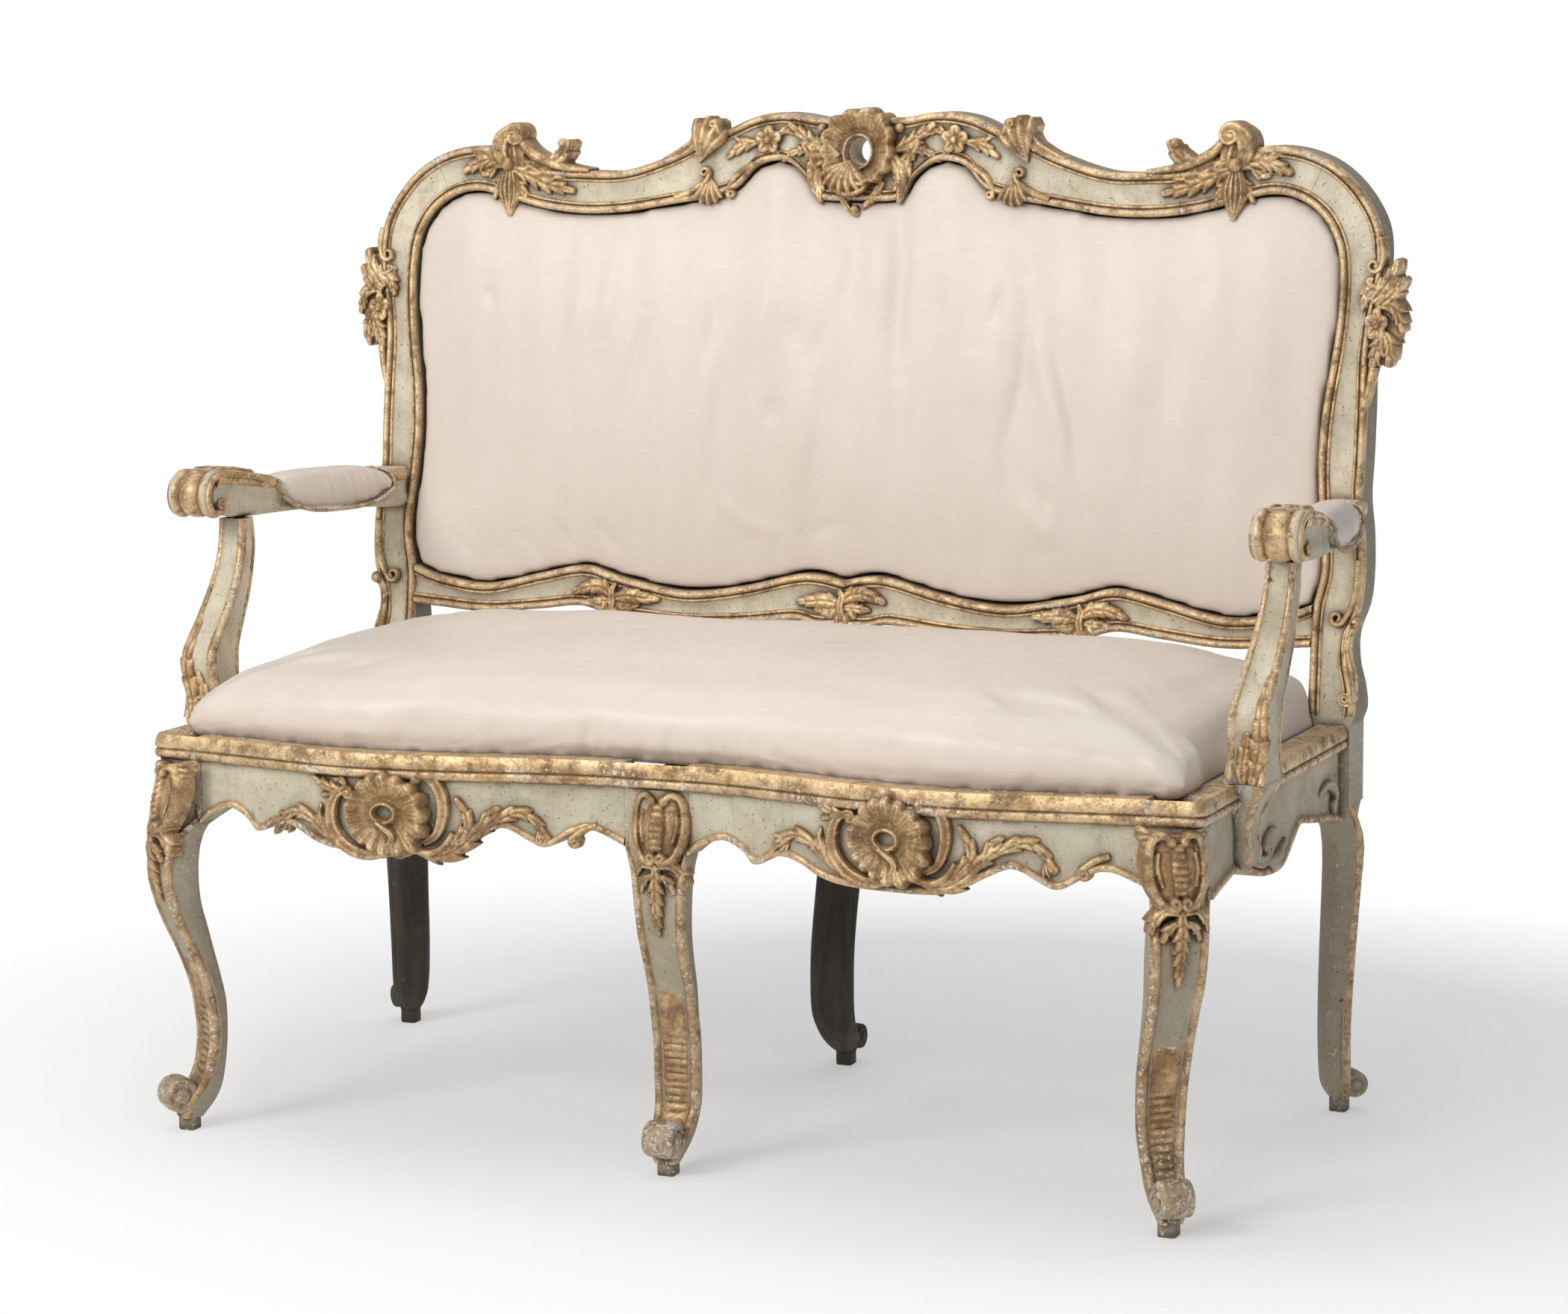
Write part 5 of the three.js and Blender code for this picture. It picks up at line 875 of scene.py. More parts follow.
def leg_frame(foot, facing):
    out = np.array([math.cos(facing), math.sin(facing)])
    across = np.array([-out[1], out[0]])

    def place(depth, side, z):
        depth, side, z = np.broadcast_arrays(depth, side, z)
        return np.stack([
            foot[0] + depth * out[0] + side * across[0],
            foot[1] + depth * out[1] + side * across[1], z,
        ], axis=-1)
    return place


def leg_shaft(foot, facing, table, block_ring, ribbed):
    """A cabriole shaft whose top spreads into a block, with cuts across its lower front."""
    place = leg_frame(foot, facing)
    rows = read_curve(table, np.linspace(0, 1, LEG_ROWS))
    up = np.linspace(table[0][0], 1, LEG_ROWS)
    values = [np.interp(up, rows[:, 0], rows[:, k]) for k in (1, 2, 3)]
    front, back, half = values[0] * LEG_REACH, values[1] * LEG_REACH, values[2] * LEG_HALF_WIDTH
    z = up * LEG_TOP
    ring = leg_ring(front, back, half)
    points = np.stack([place(d, a, z) for d, a, _, _, _ in ring], axis=1)
    gold = np.tile(np.array([r[2] for r in ring], float), (LEG_ROWS, 1))
    worn = np.tile(np.array([r[3] for r in ring], float), (LEG_ROWS, 1))
    if ribbed:
        inner = np.array([abs(i - len(ring) // 2) <= SHIN_COLUMNS for i in range(len(ring))])
        rising = smooth(RIBS_FROM - RIBS_RISE, RIBS_FROM, up)
        cut_zone = rising * (1 - smooth(RIBS_TO - RIBS_FALL, RIBS_TO, up))
        cuts = (0.5 + 0.5 * np.cos(2 * np.pi * z / RIB_PITCH)) ** 2
        low = np.clip((GILT_TO - up) / GILT_FADE, 0, 1)
        lowered = GILT_SINK * smooth(0, 1, low)[:, None]
        sunk = inner * ((RIB_CUT * cut_zone * cuts)[:, None] - lowered)
        towards = place(1, 0, 0) - place(0, 0, 0)
        points -= sunk[..., None] * towards
        gold = np.maximum(gold, inner * low[:, None])
    share = np.interp(up, *zip(*EAR_BLEND))[:, None, None]
    block = np.asarray(block_ring, float)
    places = np.array([r[4] for r in ring]) % len(block)
    index = places.astype(int)
    part = (places - index)[:, None]
    spread = mix(block[index], block[(index + 1) % len(block)], part)
    points[..., :2] = mix(points[..., :2], spread[None], share)
    lap = points[-1:].copy()
    lap[..., 2] = LEG_TOP + BLOCK_LAP
    points = np.concatenate([points, lap])
    raised = KNEE_BEAD * smooth(KNEE_FROM, 1, up)[:, None] * (worn > 0.5)
    points[:-1] += raised[..., None] * (place(1, 0, 0) - place(0, 0, 0))
    marks = {"gilt": gold, "worn": worn}
    return points, {key: np.concatenate([v, v[-1:]]) for key, v in marks.items()}


TOE_PROFILE = [
    (-1, 0), (-1, 0.2), (-0.97, 0.34), (-0.9, 0.4), (-0.86, 0.5), (-0.9, 0.62), (-0.93, 0.76),
    (-0.88, 0.88), (-0.78, 0.95), (-0.6, 0.97), (-0.3, 0.99), (0, 1),
]
TOE_SEGMENTS = 40


def lathe(profile, axis, centre, segments):
    """A turned body. Its profile is distance along an axis and radius."""
    axis = np.asarray(axis, float) / np.linalg.norm(axis)
    side = np.cross(axis, [0, 0, 1])
    side /= np.linalg.norm(side)
    up = np.cross(side, axis)
    turn = np.linspace(0, 2 * np.pi, segments, endpoint=False)
    along = np.array([p[0] for p in profile])[:, None, None]
    radius = np.array([p[1] for p in profile])[:, None, None]
    ring = np.cos(turn)[None, :, None] * side + np.sin(turn)[None, :, None] * up
    return np.asarray(centre) + along * axis + radius * ring


def toe_points(foot, facing, roll):
    profile = TOE_PROFILE + [(-a, r) for a, r in TOE_PROFILE[-2::-1]]
    sized = [(a * roll["half"], r * roll["radius"]) for a, r in profile]
    axis = (-math.sin(facing), math.cos(facing), 0)
    centre = leg_frame(foot, facing)(roll["out"], 0, roll["height"])
    return lathe(sized, axis, centre, TOE_SEGMENTS)


def foot_pad(x, y):
    ring = [(-1, -0.8), (-0.8, -1), (0.8, -1), (1, -0.8), (1, 0.8), (0.8, 1), (-0.8, 1), (-1, 0.8)]
    rows = [(0, 0.94), (1.5, 1), (12, 1), (PAD_HEIGHT, 0.98)]
    return np.array([
        [(x + a * PAD_HALF * s, y + b * PAD_HALF * s, z) for a, b in ring] for z, s in rows
    ])


def front_ear_ring():
    corner = face_y(FRAME_HALF_WIDTH)[0] + JOINT_GAP
    side = FRAME_HALF_WIDTH - JOINT_GAP
    inner = (FRAME_HALF_WIDTH - RAIL_DEPTH, face_y(FRAME_HALF_WIDTH)[0] + RAIL_DEPTH)
    joint = CORNER_JOINT_X + JOINT_GAP
    front = face_y(CORNER_JOINT_X)[0] + JOINT_GAP
    rear = CORNER_JOINT_Y - JOINT_GAP
    half_way = mix(joint, side, 0.5)
    return [
        ((joint + inner[0]) / 2, inner[1] - JOINT_GAP),
        (joint, face_y(CORNER_JOINT_X)[0] + RAIL_DEPTH - JOINT_GAP),
        (joint, front + EDGE_BEAD), (joint, front), (mix(joint, side, 0.25), front - JOINT_GAP),
        (half_way, face_y(half_way)[0] + JOINT_GAP),
        (side - CORNER_RADIUS / 2, corner + CORNER_RADIUS / 3),
        (side, mix(corner, rear, 0.35)), (side, mix(corner, rear, 0.6)), (side, rear),
        (side - EDGE_BEAD, rear), (inner[0], rear), (inner[0] - JOINT_GAP, inner[1] + EDGE_BEAD),
    ]


def corner_point():
    return FRAME_HALF_WIDTH, float(face_y(FRAME_HALF_WIDTH)[0])


def straight_ear_ring(half, front, back):
    towards = math.copysign(1, front - back)
    inset = JOINT_GAP * towards
    flank = [
        (half / 2, back + inset), (half, back + inset), (half, front - EDGE_BEAD * towards),
        (half, front - inset), (0.8 * half, front - inset), (half / 2, front - inset),
    ]
    flank = [(x - JOINT_GAP, y) for x, y in flank]
    ring = [(-x, y) for x, y in flank] + [(0, front - inset)] + flank[::-1]
    return ring if towards < 0 else [(-x, y) for x, y in ring]


def rear_ear_ring():
    shares = [
        (0.4, 0), (0.7, 0), (0.92, 0), (1, 0.06), (1, 0.28), (1, 0.55), (1, 1), (0.55, 1),
        (0.28, 1), (0.06, 1), (0, 0.92), (0, 0.6), (0, 0.2),
    ]
    left, right = POST_INNER_X + JOINT_GAP, POST_OUTER_X - JOINT_GAP
    front, back = BACK_FACE_Y + JOINT_GAP, BACK_FACE_Y + POST_DEPTH - JOINT_GAP
    return [(mix(left, right, a), mix(front, back, b)) for a, b in shares]


def corner_plan(out):
    """The plan of a front corner block at a moulding's distance out, with its rounded corner."""
    side, corner = FRAME_HALF_WIDTH + out, face_y(FRAME_HALF_WIDTH)[0] - out
    xs = np.linspace(CORNER_JOINT_X, side - CORNER_RADIUS, 6)
    front = [(x, face_y(min(x, FRAME_HALF_WIDTH))[0] - out) for x in xs]
    turn = np.linspace(-90, 0, 9)[1:]
    bend = [
        (side - CORNER_RADIUS + CORNER_RADIUS * math.cos(math.radians(a)),
         corner + CORNER_RADIUS + CORNER_RADIUS * math.sin(math.radians(a))) for a in turn
    ]
    front[-1] = (front[-1][0], corner)
    inner_y = face_y(FRAME_HALF_WIDTH)[0] + RAIL_DEPTH
    return front + bend + [
        (side, CORNER_JOINT_Y), (FRAME_HALF_WIDTH - RAIL_DEPTH, CORNER_JOINT_Y),
        (FRAME_HALF_WIDTH - RAIL_DEPTH, inner_y), (CORNER_JOINT_X, inner_y),
    ]


def middle_plan(out):
    xs = np.linspace(-MIDDLE_BLOCK_HALF, MIDDLE_BLOCK_HALF, 15)
    front = [(x, face_y(x)[0] - out) for x in xs]
    rear = FRONT_FACE_Y + RAIL_DEPTH
    return front + [(MIDDLE_BLOCK_HALF, rear), (-MIDDLE_BLOCK_HALF, rear)]


def block_points(plan, inner, middle, facing, amount):
    """A leg's block with the seat's moulding round its top; inner says which corners of the plan
    lie inside the seat, where the block stops at the ledge."""
    foot = SEAT_TOP - MOULDING_HEIGHT - 0.5
    levels = [(0, z, 0, 0) for z in np.linspace(LEG_TOP, foot, 10)]
    levels += [
        (out * MOULDING_PROUD, SEAT_TOP - down * MOULDING_HEIGHT, 1, out > WORN_FROM)
        for out, down in MOULDING_PROFILE
    ]
    rows = []
    for out, z, _, _ in levels:
        around = swollen(plan(out), z, middle, facing, amount if z <= foot else 0)
        rows.append([(x, y, z) for x, y in around])
    points = np.array(rows, float)
    points[:, inner, 2] = np.minimum(points[:, inner, 2], SEAT_TOP - LEDGE_DEPTH)
    return points, {key: values[:, None] for key, values in gilt_and_worn(levels).items()}


FRONT_TOE_MARKS, REAR_TOE_MARKS = {"gilt": 0.5, "worn": 1.0}, {"gilt": 0.42, "worn": 1.0}
# The feet's pads carry dirt and painted shade from their mark.
PAD_MARKS = {"gilt": 0.0, "worn": 0.5, "soil_and_shade": 0.8}


def make_leg(name, foot, facing, table, roll, ring, material, ribbed, nodes=(), flip=False):
    shaft, marks = leg_shaft(foot, facing, table, ring, ribbed)
    toe, pad = toe_points(foot, facing, roll), foot_pad(*foot)
    if flip:
        shaft, toe, pad = mirrored(shaft), mirrored(toe), mirrored(pad)
    finish_piece(grid_piece(f"{name}_shaft", shaft, marks), material, "painted_wood", *nodes)
    toe_marks = FRONT_TOE_MARKS if ribbed else REAR_TOE_MARKS
    finish_piece(grid_piece(f"{name}_toe", toe, toe_marks), material, "painted_wood")
    finish_piece(grid_piece(f"{name}_pad", pad, PAD_MARKS), material, "painted_wood")


REAR_BLOCK_DEPTH = 30
FRONT_FACING = -math.radians(52)
REAR_FACING = math.radians(40)
FRONT_FOOT, MIDDLE_FOOT = (567, -279), (6, -256)
REAR_FOOT, REAR_MIDDLE_FOOT = (587, 265), (-7, 262)


def legs(material, dark_shaded_wood):
    for side in ("right", "left"):
        flip = side == "left"
        node = f"front_corner_leg_{side}"
        ring = swollen(front_ear_ring(), LEG_TOP, corner_point(), FRONT_FACING, CORNER_SWELL)
        make_leg(node, FRONT_FOOT, FRONT_FACING, FRONT_LEG, FRONT_ROLL, ring, material,
                 True, [node], flip)
        points, marks = block_points(
            corner_plan, slice(-2, None), corner_point(), FRONT_FACING, CORNER_SWELL
        )
        block = grid_piece(f"{node}_block", mirrored(points) if flip else points, marks)
        finish_piece(block, material, "painted_wood")
        # The left rear leg takes the dark finish as painted shade; the right rear leg keeps the
        # frame's.
        make_leg(f"rear_leg_{side}", REAR_FOOT, REAR_FACING, REAR_LEG, REAR_ROLL, rear_ear_ring(),
                 dark_shaded_wood if flip else material, False, (), flip)
    facing, centre = -math.pi / 2, (0, FRONT_FACE_Y)
    ring = straight_ear_ring(MIDDLE_BLOCK_HALF, FRONT_FACE_Y, FRONT_FACE_Y + RAIL_DEPTH)
    ring = swollen(ring, LEG_TOP, centre, facing, MIDDLE_SWELL)
    make_leg("front_middle_leg", MIDDLE_FOOT, facing, MIDDLE_LEG, FRONT_ROLL, ring, material,
             True, ["front_middle_leg"])
    points, marks = block_points(middle_plan, slice(-2, None), centre, facing, MIDDLE_SWELL)
    finish_piece(grid_piece("front_middle_leg_block", points, marks), material, "painted_wood")
    rear_front = REAR_RAIL_BACK - REAR_BLOCK_DEPTH
    ring = straight_ear_ring(MIDDLE_BLOCK_HALF, REAR_RAIL_BACK, rear_front)
    # The rear middle leg takes the dark finish as painted shade.
    make_leg("rear_middle_leg", REAR_MIDDLE_FOOT, math.pi / 2, REAR_MIDDLE_LEG, REAR_ROLL, ring,
             dark_shaded_wood, False, ["rear_middle_leg"])
    rear_block = [[(x, y, z) for x, y in (
        (-MIDDLE_BLOCK_HALF, rear_front), (MIDDLE_BLOCK_HALF, rear_front),
        (MIDDLE_BLOCK_HALF, REAR_RAIL_BACK), (-MIDDLE_BLOCK_HALF, REAR_RAIL_BACK),
    )] for z in (LEG_TOP, SEAT_TOP)]
    finish_piece(grid_piece("rear_middle_leg_block", rear_block), dark_shaded_wood, "painted_wood")


# The arms.

ARM_LENGTH = back_y(ARM_UNDERSIDE) - ARM_ROLL_Y
ARM_ROWS, ARM_TENON = 90, 3
# Half of the section across an arm from its underside to its top: shares of its half width and
# of its height, gilding and wear.
ARM_RING = [
    (0, 0.02, 0, 0), (0.5, 0, 0, 0), (0.8, 0.04, 0, 0), (0.94, 0.14, 0, 0), (0.97, 0.24, 0, 0),
    (0.94, 0.32, 0, 0), (0.9, 0.36, 0, 0), (0.88, 0.5, 0, 0), (0.9, 0.64, 0, 0), (0.95, 0.7, 1, 0),
    (1, 0.78, 1, 1), (0.94, 0.9, 1, 1), (0.74, 0.98, 1, 0), (0.62, 1, 0, 0), (0, 1, 0, 0),
]


def arm_rows(shares):
    table = np.array(ARM, float).T
    along, sweep, under, top, half = [np.interp(shares, table[0], column) for column in table]
    return {
        "x": ARM_END_X + sweep * ARM_OUTSWEEP, "y": ARM_ROLL_Y + (1 - along) * ARM_LENGTH,
        "low": ARM_UNDERSIDE + under * ARM_LIFT, "high": ARM_UNDERSIDE + top * ARM_DEEP,
        "half": half * ARM_HALF_WIDTH,
    }


def arms(material):
    rows = arm_rows(np.linspace(0.01, 1, ARM_ROWS))
    ring = ARM_RING + [(-a, up, g, w) for a, up, g, w in ARM_RING[-2:0:-1]]
    columns = [
        np.stack([rows["x"] + a * rows["half"], rows["y"], mix(rows["low"], rows["high"], up)],
                 axis=-1)
        for a, up, _, _ in ring
    ]
    points = np.stack(columns, axis=1)
    points[0, :, 1] = back_y(points[0, :, 2]) + ARM_TENON
    painted_pair("arm_{}_carved", points, gilt_and_worn(ring), material, "arm_{}")


ROLL_PROFILE = [
    (-1, 0), (-1, 0.22), (-0.97, 0.34), (-0.88, 0.4), (-0.84, 0.5), (-0.9, 0.66), (-0.98, 0.82),
    (-0.96, 0.92), (-0.86, 0.99), (-0.72, 1), (-0.6, 0.95), (-0.53, 0.87), (-0.45, 0.86),
    (-0.36, 0.91), (-0.2, 0.96), (0, 0.97),
]
GILT_ROLL_END, ROLL_SEGMENTS = 0.84, 56


def arm_rolls(material):
    profile = ROLL_PROFILE + [(-a, r) for a, r in ROLL_PROFILE[-2::-1]]
    sized = [(a * ARM_ROLL_HALF, r * ARM_ROLL_RADIUS) for a, r in profile]
    centre = (ARM_END_X + ARM_OUTSWEEP, ARM_ROLL_Y, ARM_ROLL_Z)
    points = lathe(sized, (1, 0, 0), centre, ROLL_SEGMENTS)
    gold = np.array([[float(abs(along) < GILT_ROLL_END)] for along, _ in profile])
    painted_pair("arm_roll_{}", points, {"gilt": gold, "worn": 0.5}, material)


SUPPORT_ROWS = 90
# Half of the section across an arm support from its back to its front.
SUPPORT_RING = [
    (0, "back", 0, 0, 0), (0.6, "back", 0, 0, 0), (0.85, "back", 1.2, 0.6, 0),
    (0.98, "back", 4, 1, 1), (1, "back", 7, 1, 1), (0.95, "back", 10, 0.6, 0),
    (0.92, "back", 12, 0, 0), (0.91, "mid", 0, 0, 0), (0.92, "front", -12, 0, 0),
    (0.96, "front", -10, 0.8, 0), (1, "front", -7, 1, 1), (0.99, "front", -3.4, 1, 1),
    (0.9, "front", -0.9, 1, 1), (0.76, "front", 0, 1, 0), (0.62, "front", -1, 1, 0),
    (0.54, "front", -2.6, 0, 0), (0.3, "front", -3.4, 0, 0), (0, "front", -3.6, 0, 0),
]


def arm_supports(material):
    rows = read_curve(SUPPORT, np.linspace(0, 1, SUPPORT_ROWS))
    up, front, back, half = rows.T
    z = mix(SEAT_TOP + JOINT_GAP, SUPPORT_TOP, up)
    x = mix(SUPPORT_BASE_X, SUPPORT_TOP_X, up)
    front_y, back_edge = [SUPPORT_TOP_Y - edge * SUPPORT_REACH for edge in (front, back)]
    edges = {"front": front_y, "back": back_edge, "mid": (front_y + back_edge) / 2}
    ring = SUPPORT_RING + [(-a, *rest) for a, *rest in SUPPORT_RING[-2:0:-1]]
    columns = [
        np.stack([x + a * half * SUPPORT_HALF_WIDTH, edges[base] - inset, z], axis=-1)
        for a, base, inset, _, _ in ring
    ]
    points = np.stack(columns, axis=1)
    painted_pair("arm_support_{}_carved", points, gilt_and_worn(ring), material, "arm_support_{}")


# The carvings. A carved element is worked out flat, as rings of (across, up, proud) round its
# section, and is then laid on the frame. The elements of one carving are fused into one body.

CARVING_FOOT = -5
CARVING_GRAIN = 1.03
STRAP_COLUMNS = 15
CURL_STEPS = 26
CURL_TURN = 2 * math.pi * 1.15
CURL_CLOSES, CURL_THINS, CURL_LIFT = 0.74, 0.55, 0.16
LINE_SAMPLES = 240
GROOVE_WIDTH = 0.13
LEAF_SPREAD = 1.3
FAN_CUT, FAN_ROWS, FAN_COLUMNS = 3, 16, 14
LEAF_ROWS, LEAF_COLUMNS = 18, STRAP_COLUMNS + 4
BALL_ROWS, BALL_COLUMNS = 14, 20
RUNG_CUT = 2


def with_proud(points):
    return np.array([(*point, 0) if len(point) == 2 else point for point in points], float)


def lengths_along(line):
    """How far along a line each of its points is."""
    return np.concatenate([[0], np.cumsum(np.linalg.norm(np.diff(line, axis=0), axis=1))])


def read_line(line, along, at):
    return np.stack([np.interp(at, along, column) for column in line.T], axis=-1)


def even_line(points, count):
    """A smooth line through points, evenly stepped."""
    line = read_curve(points, np.linspace(0, 1, LINE_SAMPLES))
    along = lengths_along(line[:, :2])
    return read_line(line, along, np.linspace(0, along[-1], count))


def across_line(line):
    ahead = np.gradient(line[:, :2], axis=0)
    ahead /= np.maximum(np.linalg.norm(ahead, axis=1), 1e-9)[:, None]
    return ahead, np.stack([-ahead[:, 1], ahead[:, 0]], axis=-1)


def ring_of(front, foot):
    """Closes the front of an element round its back: front is rows and columns of points."""
    back = front[:, [-1, 0]].copy()
    back[..., 2] = foot
    return np.concatenate([front, back], axis=1)


def raised_ring(plan, height, foot):
    return ring_of(np.concatenate([plan, height[..., None]], axis=-1), foot)


def across_plan(line, left, half, span):
    """Places to both sides of a line, at shares of its half width."""
    return line[:, None, :2] + left[:, None] * (half[:, None] * span)[..., None]


def strap(points, widths, rise=6, ridges=1, foot=CARVING_FOOT, curl=None, count=46, rungs=0):
    """A strap along a line, rounded or with ridges. curl is the radius of the roll at its end,
    to the left when positive."""
    line = even_line(with_proud(points), count)
    half = read_curve(widths, np.linspace(0, 1, count))[:, 0] / 2
    if curl:
        left = across_line(line)[1]
        side = math.copysign(1, curl)
        turn = np.linspace(0, CURL_TURN, CURL_STEPS + 1)[1:]
        radius = abs(curl) * (1 - CURL_CLOSES * turn / CURL_TURN)
        centre = line[-1, :2] + left[-1] * curl
        spoke = -side * left[-1]
        c, s = np.cos(turn * side), np.sin(turn * side)
        turned = np.stack([c * spoke[0] - s * spoke[1], s * spoke[0] + c * spoke[1]], axis=-1)
        rise_of_roll = (line[-1, 2] + CURL_LIFT * abs(curl) * turn / math.pi)[:, None]
        roll = np.concatenate([centre + radius[:, None] * turned, rise_of_roll], axis=1)
        line = np.concatenate([line, roll])
        half = np.concatenate([half, half[-1] * (1 - CURL_THINS * turn / CURL_TURN)])
    left = across_line(line)[1]
    span = np.linspace(-1, 1, STRAP_COLUMNS)
    section = np.maximum(1 - span ** 2, 0) ** 0.42
    if ridges > 1:
        section *= mix(0.5, 1, 0.5 + 0.5 * np.cos(np.pi * (ridges - 1) * (span + 1)))
    height = line[:, 2:] + rise * np.sqrt(half / half.max())[:, None] * section
    if rungs:
        step = np.cos(2 * np.pi * rungs * np.linspace(0, 1, len(line)))
        height -= RUNG_CUT * (0.5 + 0.5 * step)[:, None] ** 2
    return raised_ring(across_plan(line, left, half, span), height, foot)


def leaf(points, width, lobes=4, rise=6, jag=0.5, sweep=0.9, vein=2.2, tip=0, foot=CARVING_FOOT):
    """An acanthus leaf along a line from its root: pointed fingers that sweep forward, a groove
    between each two of them and a hollow midrib. tip lifts its end."""
    count = LEAF_ROWS * lobes
    line = even_line(with_proud(points), count)
    t = np.linspace(0, 1, count)
    ahead, left = across_line(line)
    phase = (t * lobes) % 1
    finger = phase ** 1.2
    body = (1 - t) ** 0.5 * mix(0.55, 1, smooth(0, 0.3, t))
    half = LEAF_SPREAD * width * body * (1 - jag * (1 - finger)) + 0.3
    span = np.linspace(-1, 1, LEAF_COLUMNS)
    lean = sweep * width * (body * mix(0.35, 1, finger))[:, None] * np.abs(span) ** 1.4
    crown = rise * (1 - 0.5 * t)[:, None] * np.maximum(1 - np.abs(span) ** 3, 0) ** 0.5
    groove = np.exp(-(np.minimum(phase, 1 - phase) / GROOVE_WIDTH) ** 2)
    grooves = vein * groove[:, None] * np.abs(span) ** 0.5
    rib = 0.8 * vein * np.exp(-(span / GROOVE_WIDTH) ** 2)
    height = line[:, 2:] + crown - grooves - rib + tip * t[:, None] ** 2
    plan = across_plan(line, left, half, span) + ahead[:, None] * lean[..., None]
    return raised_ring(plan, height, foot)


def fan(root, aim, spread, radius, ribs=5, rise=8, proud=0, dome=0.75, foot=CARVING_FOOT):
    """A ribbed half-round leaf that opens from its root; aim and spread in degrees."""
    share = np.linspace(-1, 1, FAN_COLUMNS * ribs)
    angle = np.radians(aim + spread * share)
    rib = np.abs(np.cos(np.pi * ribs * (share + 1) / 2))
    out = np.linspace(0, 1, FAN_ROWS)
    reach = radius * (0.9 + 0.1 * (1 - rib ** 2)) * (1 - 0.12 * share ** 2)
    height = rise * np.sin(np.pi * np.clip(out, 0, 1) ** 1.3 * dome)[None]
    height = height * (1 - 0.3 * share ** 2)[:, None]
    height = height - FAN_CUT * rib[:, None] ** 3 * np.sqrt(out)[None]
    plan_x = root[0] + np.cos(angle)[:, None] * out * reach[:, None]
    plan_y = root[1] + np.sin(angle)[:, None] * out * reach[:, None]
    return ring_of(np.stack([plan_x, plan_y, height + proud], axis=-1), foot)


def ball(centre, radius, proud=3):
    """A round button or the eye of a scroll."""
    turn = np.linspace(0, np.pi, BALL_ROWS)[:, None]
    round_ = np.linspace(0, 2 * np.pi, BALL_COLUMNS, endpoint=False)
    wide = radius * np.sin(turn)
    return np.stack([
        centre[0] + wide * np.cos(round_), centre[1] + wide * np.sin(round_),
        proud + radius * np.cos(turn) + 0 * round_,
    ], axis=-1)


def round_body(spokes, shares, heights, centre, foot, floor):
    """Joins the rings of a body round a centre: spokes are angles with their reach."""
    angle, inner, reach = spokes
    out = inner[:, None] + (reach - inner)[:, None] * shares
    ahead, aside = np.cos(angle)[:, None] * out, np.sin(angle)[:, None] * out
    front = np.stack([centre[0] + ahead, centre[1] + aside, heights], axis=-1)
    rings = ring_of(front, foot)
    if floor is not None:
        rings[:, -2, :2] = mix(np.array(centre), rings[:, -2, :2], floor)
    return np.concatenate([rings, rings[:1]])


PETALS, PETAL_TURN, PETAL_COLUMNS, PETAL_ROWS = 5, 0.3, 20, 14
PETAL_CUP, PETAL_CREASE, BUTTON_SHARE = 4.5, 1.6, 0.27


def blossom(centre, radius, proud):
    """An open flower with cupped petals round a button."""
    angle = np.linspace(0, 2 * np.pi, PETAL_COLUMNS * PETALS + 1)[:-1]
    lobe = np.abs(np.cos(PETALS * (angle - PETAL_TURN) / 2))
    reach = radius * (0.62 + 0.38 * lobe ** 0.55)
    shares = np.linspace(0, 1, PETAL_ROWS)
    cup = PETAL_CUP * np.sin(np.pi * shares ** 1.4 * 0.82)[None] * (0.45 + 0.55 * lobe[:, None])
    crease = PETAL_CREASE * np.exp(-((lobe - 1) / 0.06) ** 2)[:, None] * np.sin(np.pi * shares)
    spokes = (angle, np.full_like(angle, 0.4), reach)
    petals_body = round_body(spokes, shares, proud + cup - crease, centre, -4, 0.8)
    return [petals_body, ball(centre, radius * BUTTON_SHARE, proud + 2.5)]


SHELL_SECTION = [
    (0, 0.1), (0.03, 0.42), (0.08, 0.5), (0.14, 0.42), (0.18, 0.2), (0.26, 0.22), (0.42, 0.46),
    (0.6, 0.72), (0.76, 0.92), (0.88, 1), (0.95, 0.9), (1, 0.66),
]
FLUTE_COLUMNS, SHELL_ROWS, LIP_WAVE, FINE_FLUTE = 12, 26, 0.09, 0.5


def scallop_shell(centre, outline, hole, flutes, rise, foot=-6, cut=4.2):
    """A fluted shell round a ringed hole, its lip following an outline round the centre."""
    edge = np.asarray(outline, float) - centre
    angles = np.unwrap(np.arctan2(edge[:, 1], edge[:, 0]))
    if angles[-1] < angles[0]:
        angles, edge = angles[::-1], edge[::-1]
    reach = np.linalg.norm(edge, axis=1)
    angles = np.concatenate([angles - 2 * np.pi, angles, angles + 2 * np.pi])
    angle = np.linspace(0, 2 * np.pi, FLUTE_COLUMNS * flutes + 1)[:-1]
    lip = np.interp(angle, angles, np.tile(reach, 3))
    lip = (lip + np.roll(lip, 3) + np.roll(lip, -3)) / 3
    flute = np.abs(np.cos(flutes * angle / 2))
    lip = lip * (1 + LIP_WAVE * (flute - 0.6))
    shares = np.linspace(0, 1, SHELL_ROWS)
    section = np.interp(shares, *zip(*SHELL_SECTION)) * rise
    depth = cut * smooth(0.16, 0.8, shares) * (1 - flute[:, None]) ** 1.5
    fine = FINE_FLUTE * smooth(0.2, 0.5, shares) * np.cos(3 * flutes * angle)[:, None]
    inner = hole[0] * hole[1] / np.hypot(hole[1] * np.cos(angle), hole[0] * np.sin(angle))
    return round_body((angle, inner, lip), shares, section - depth - fine, centre, foot, None)


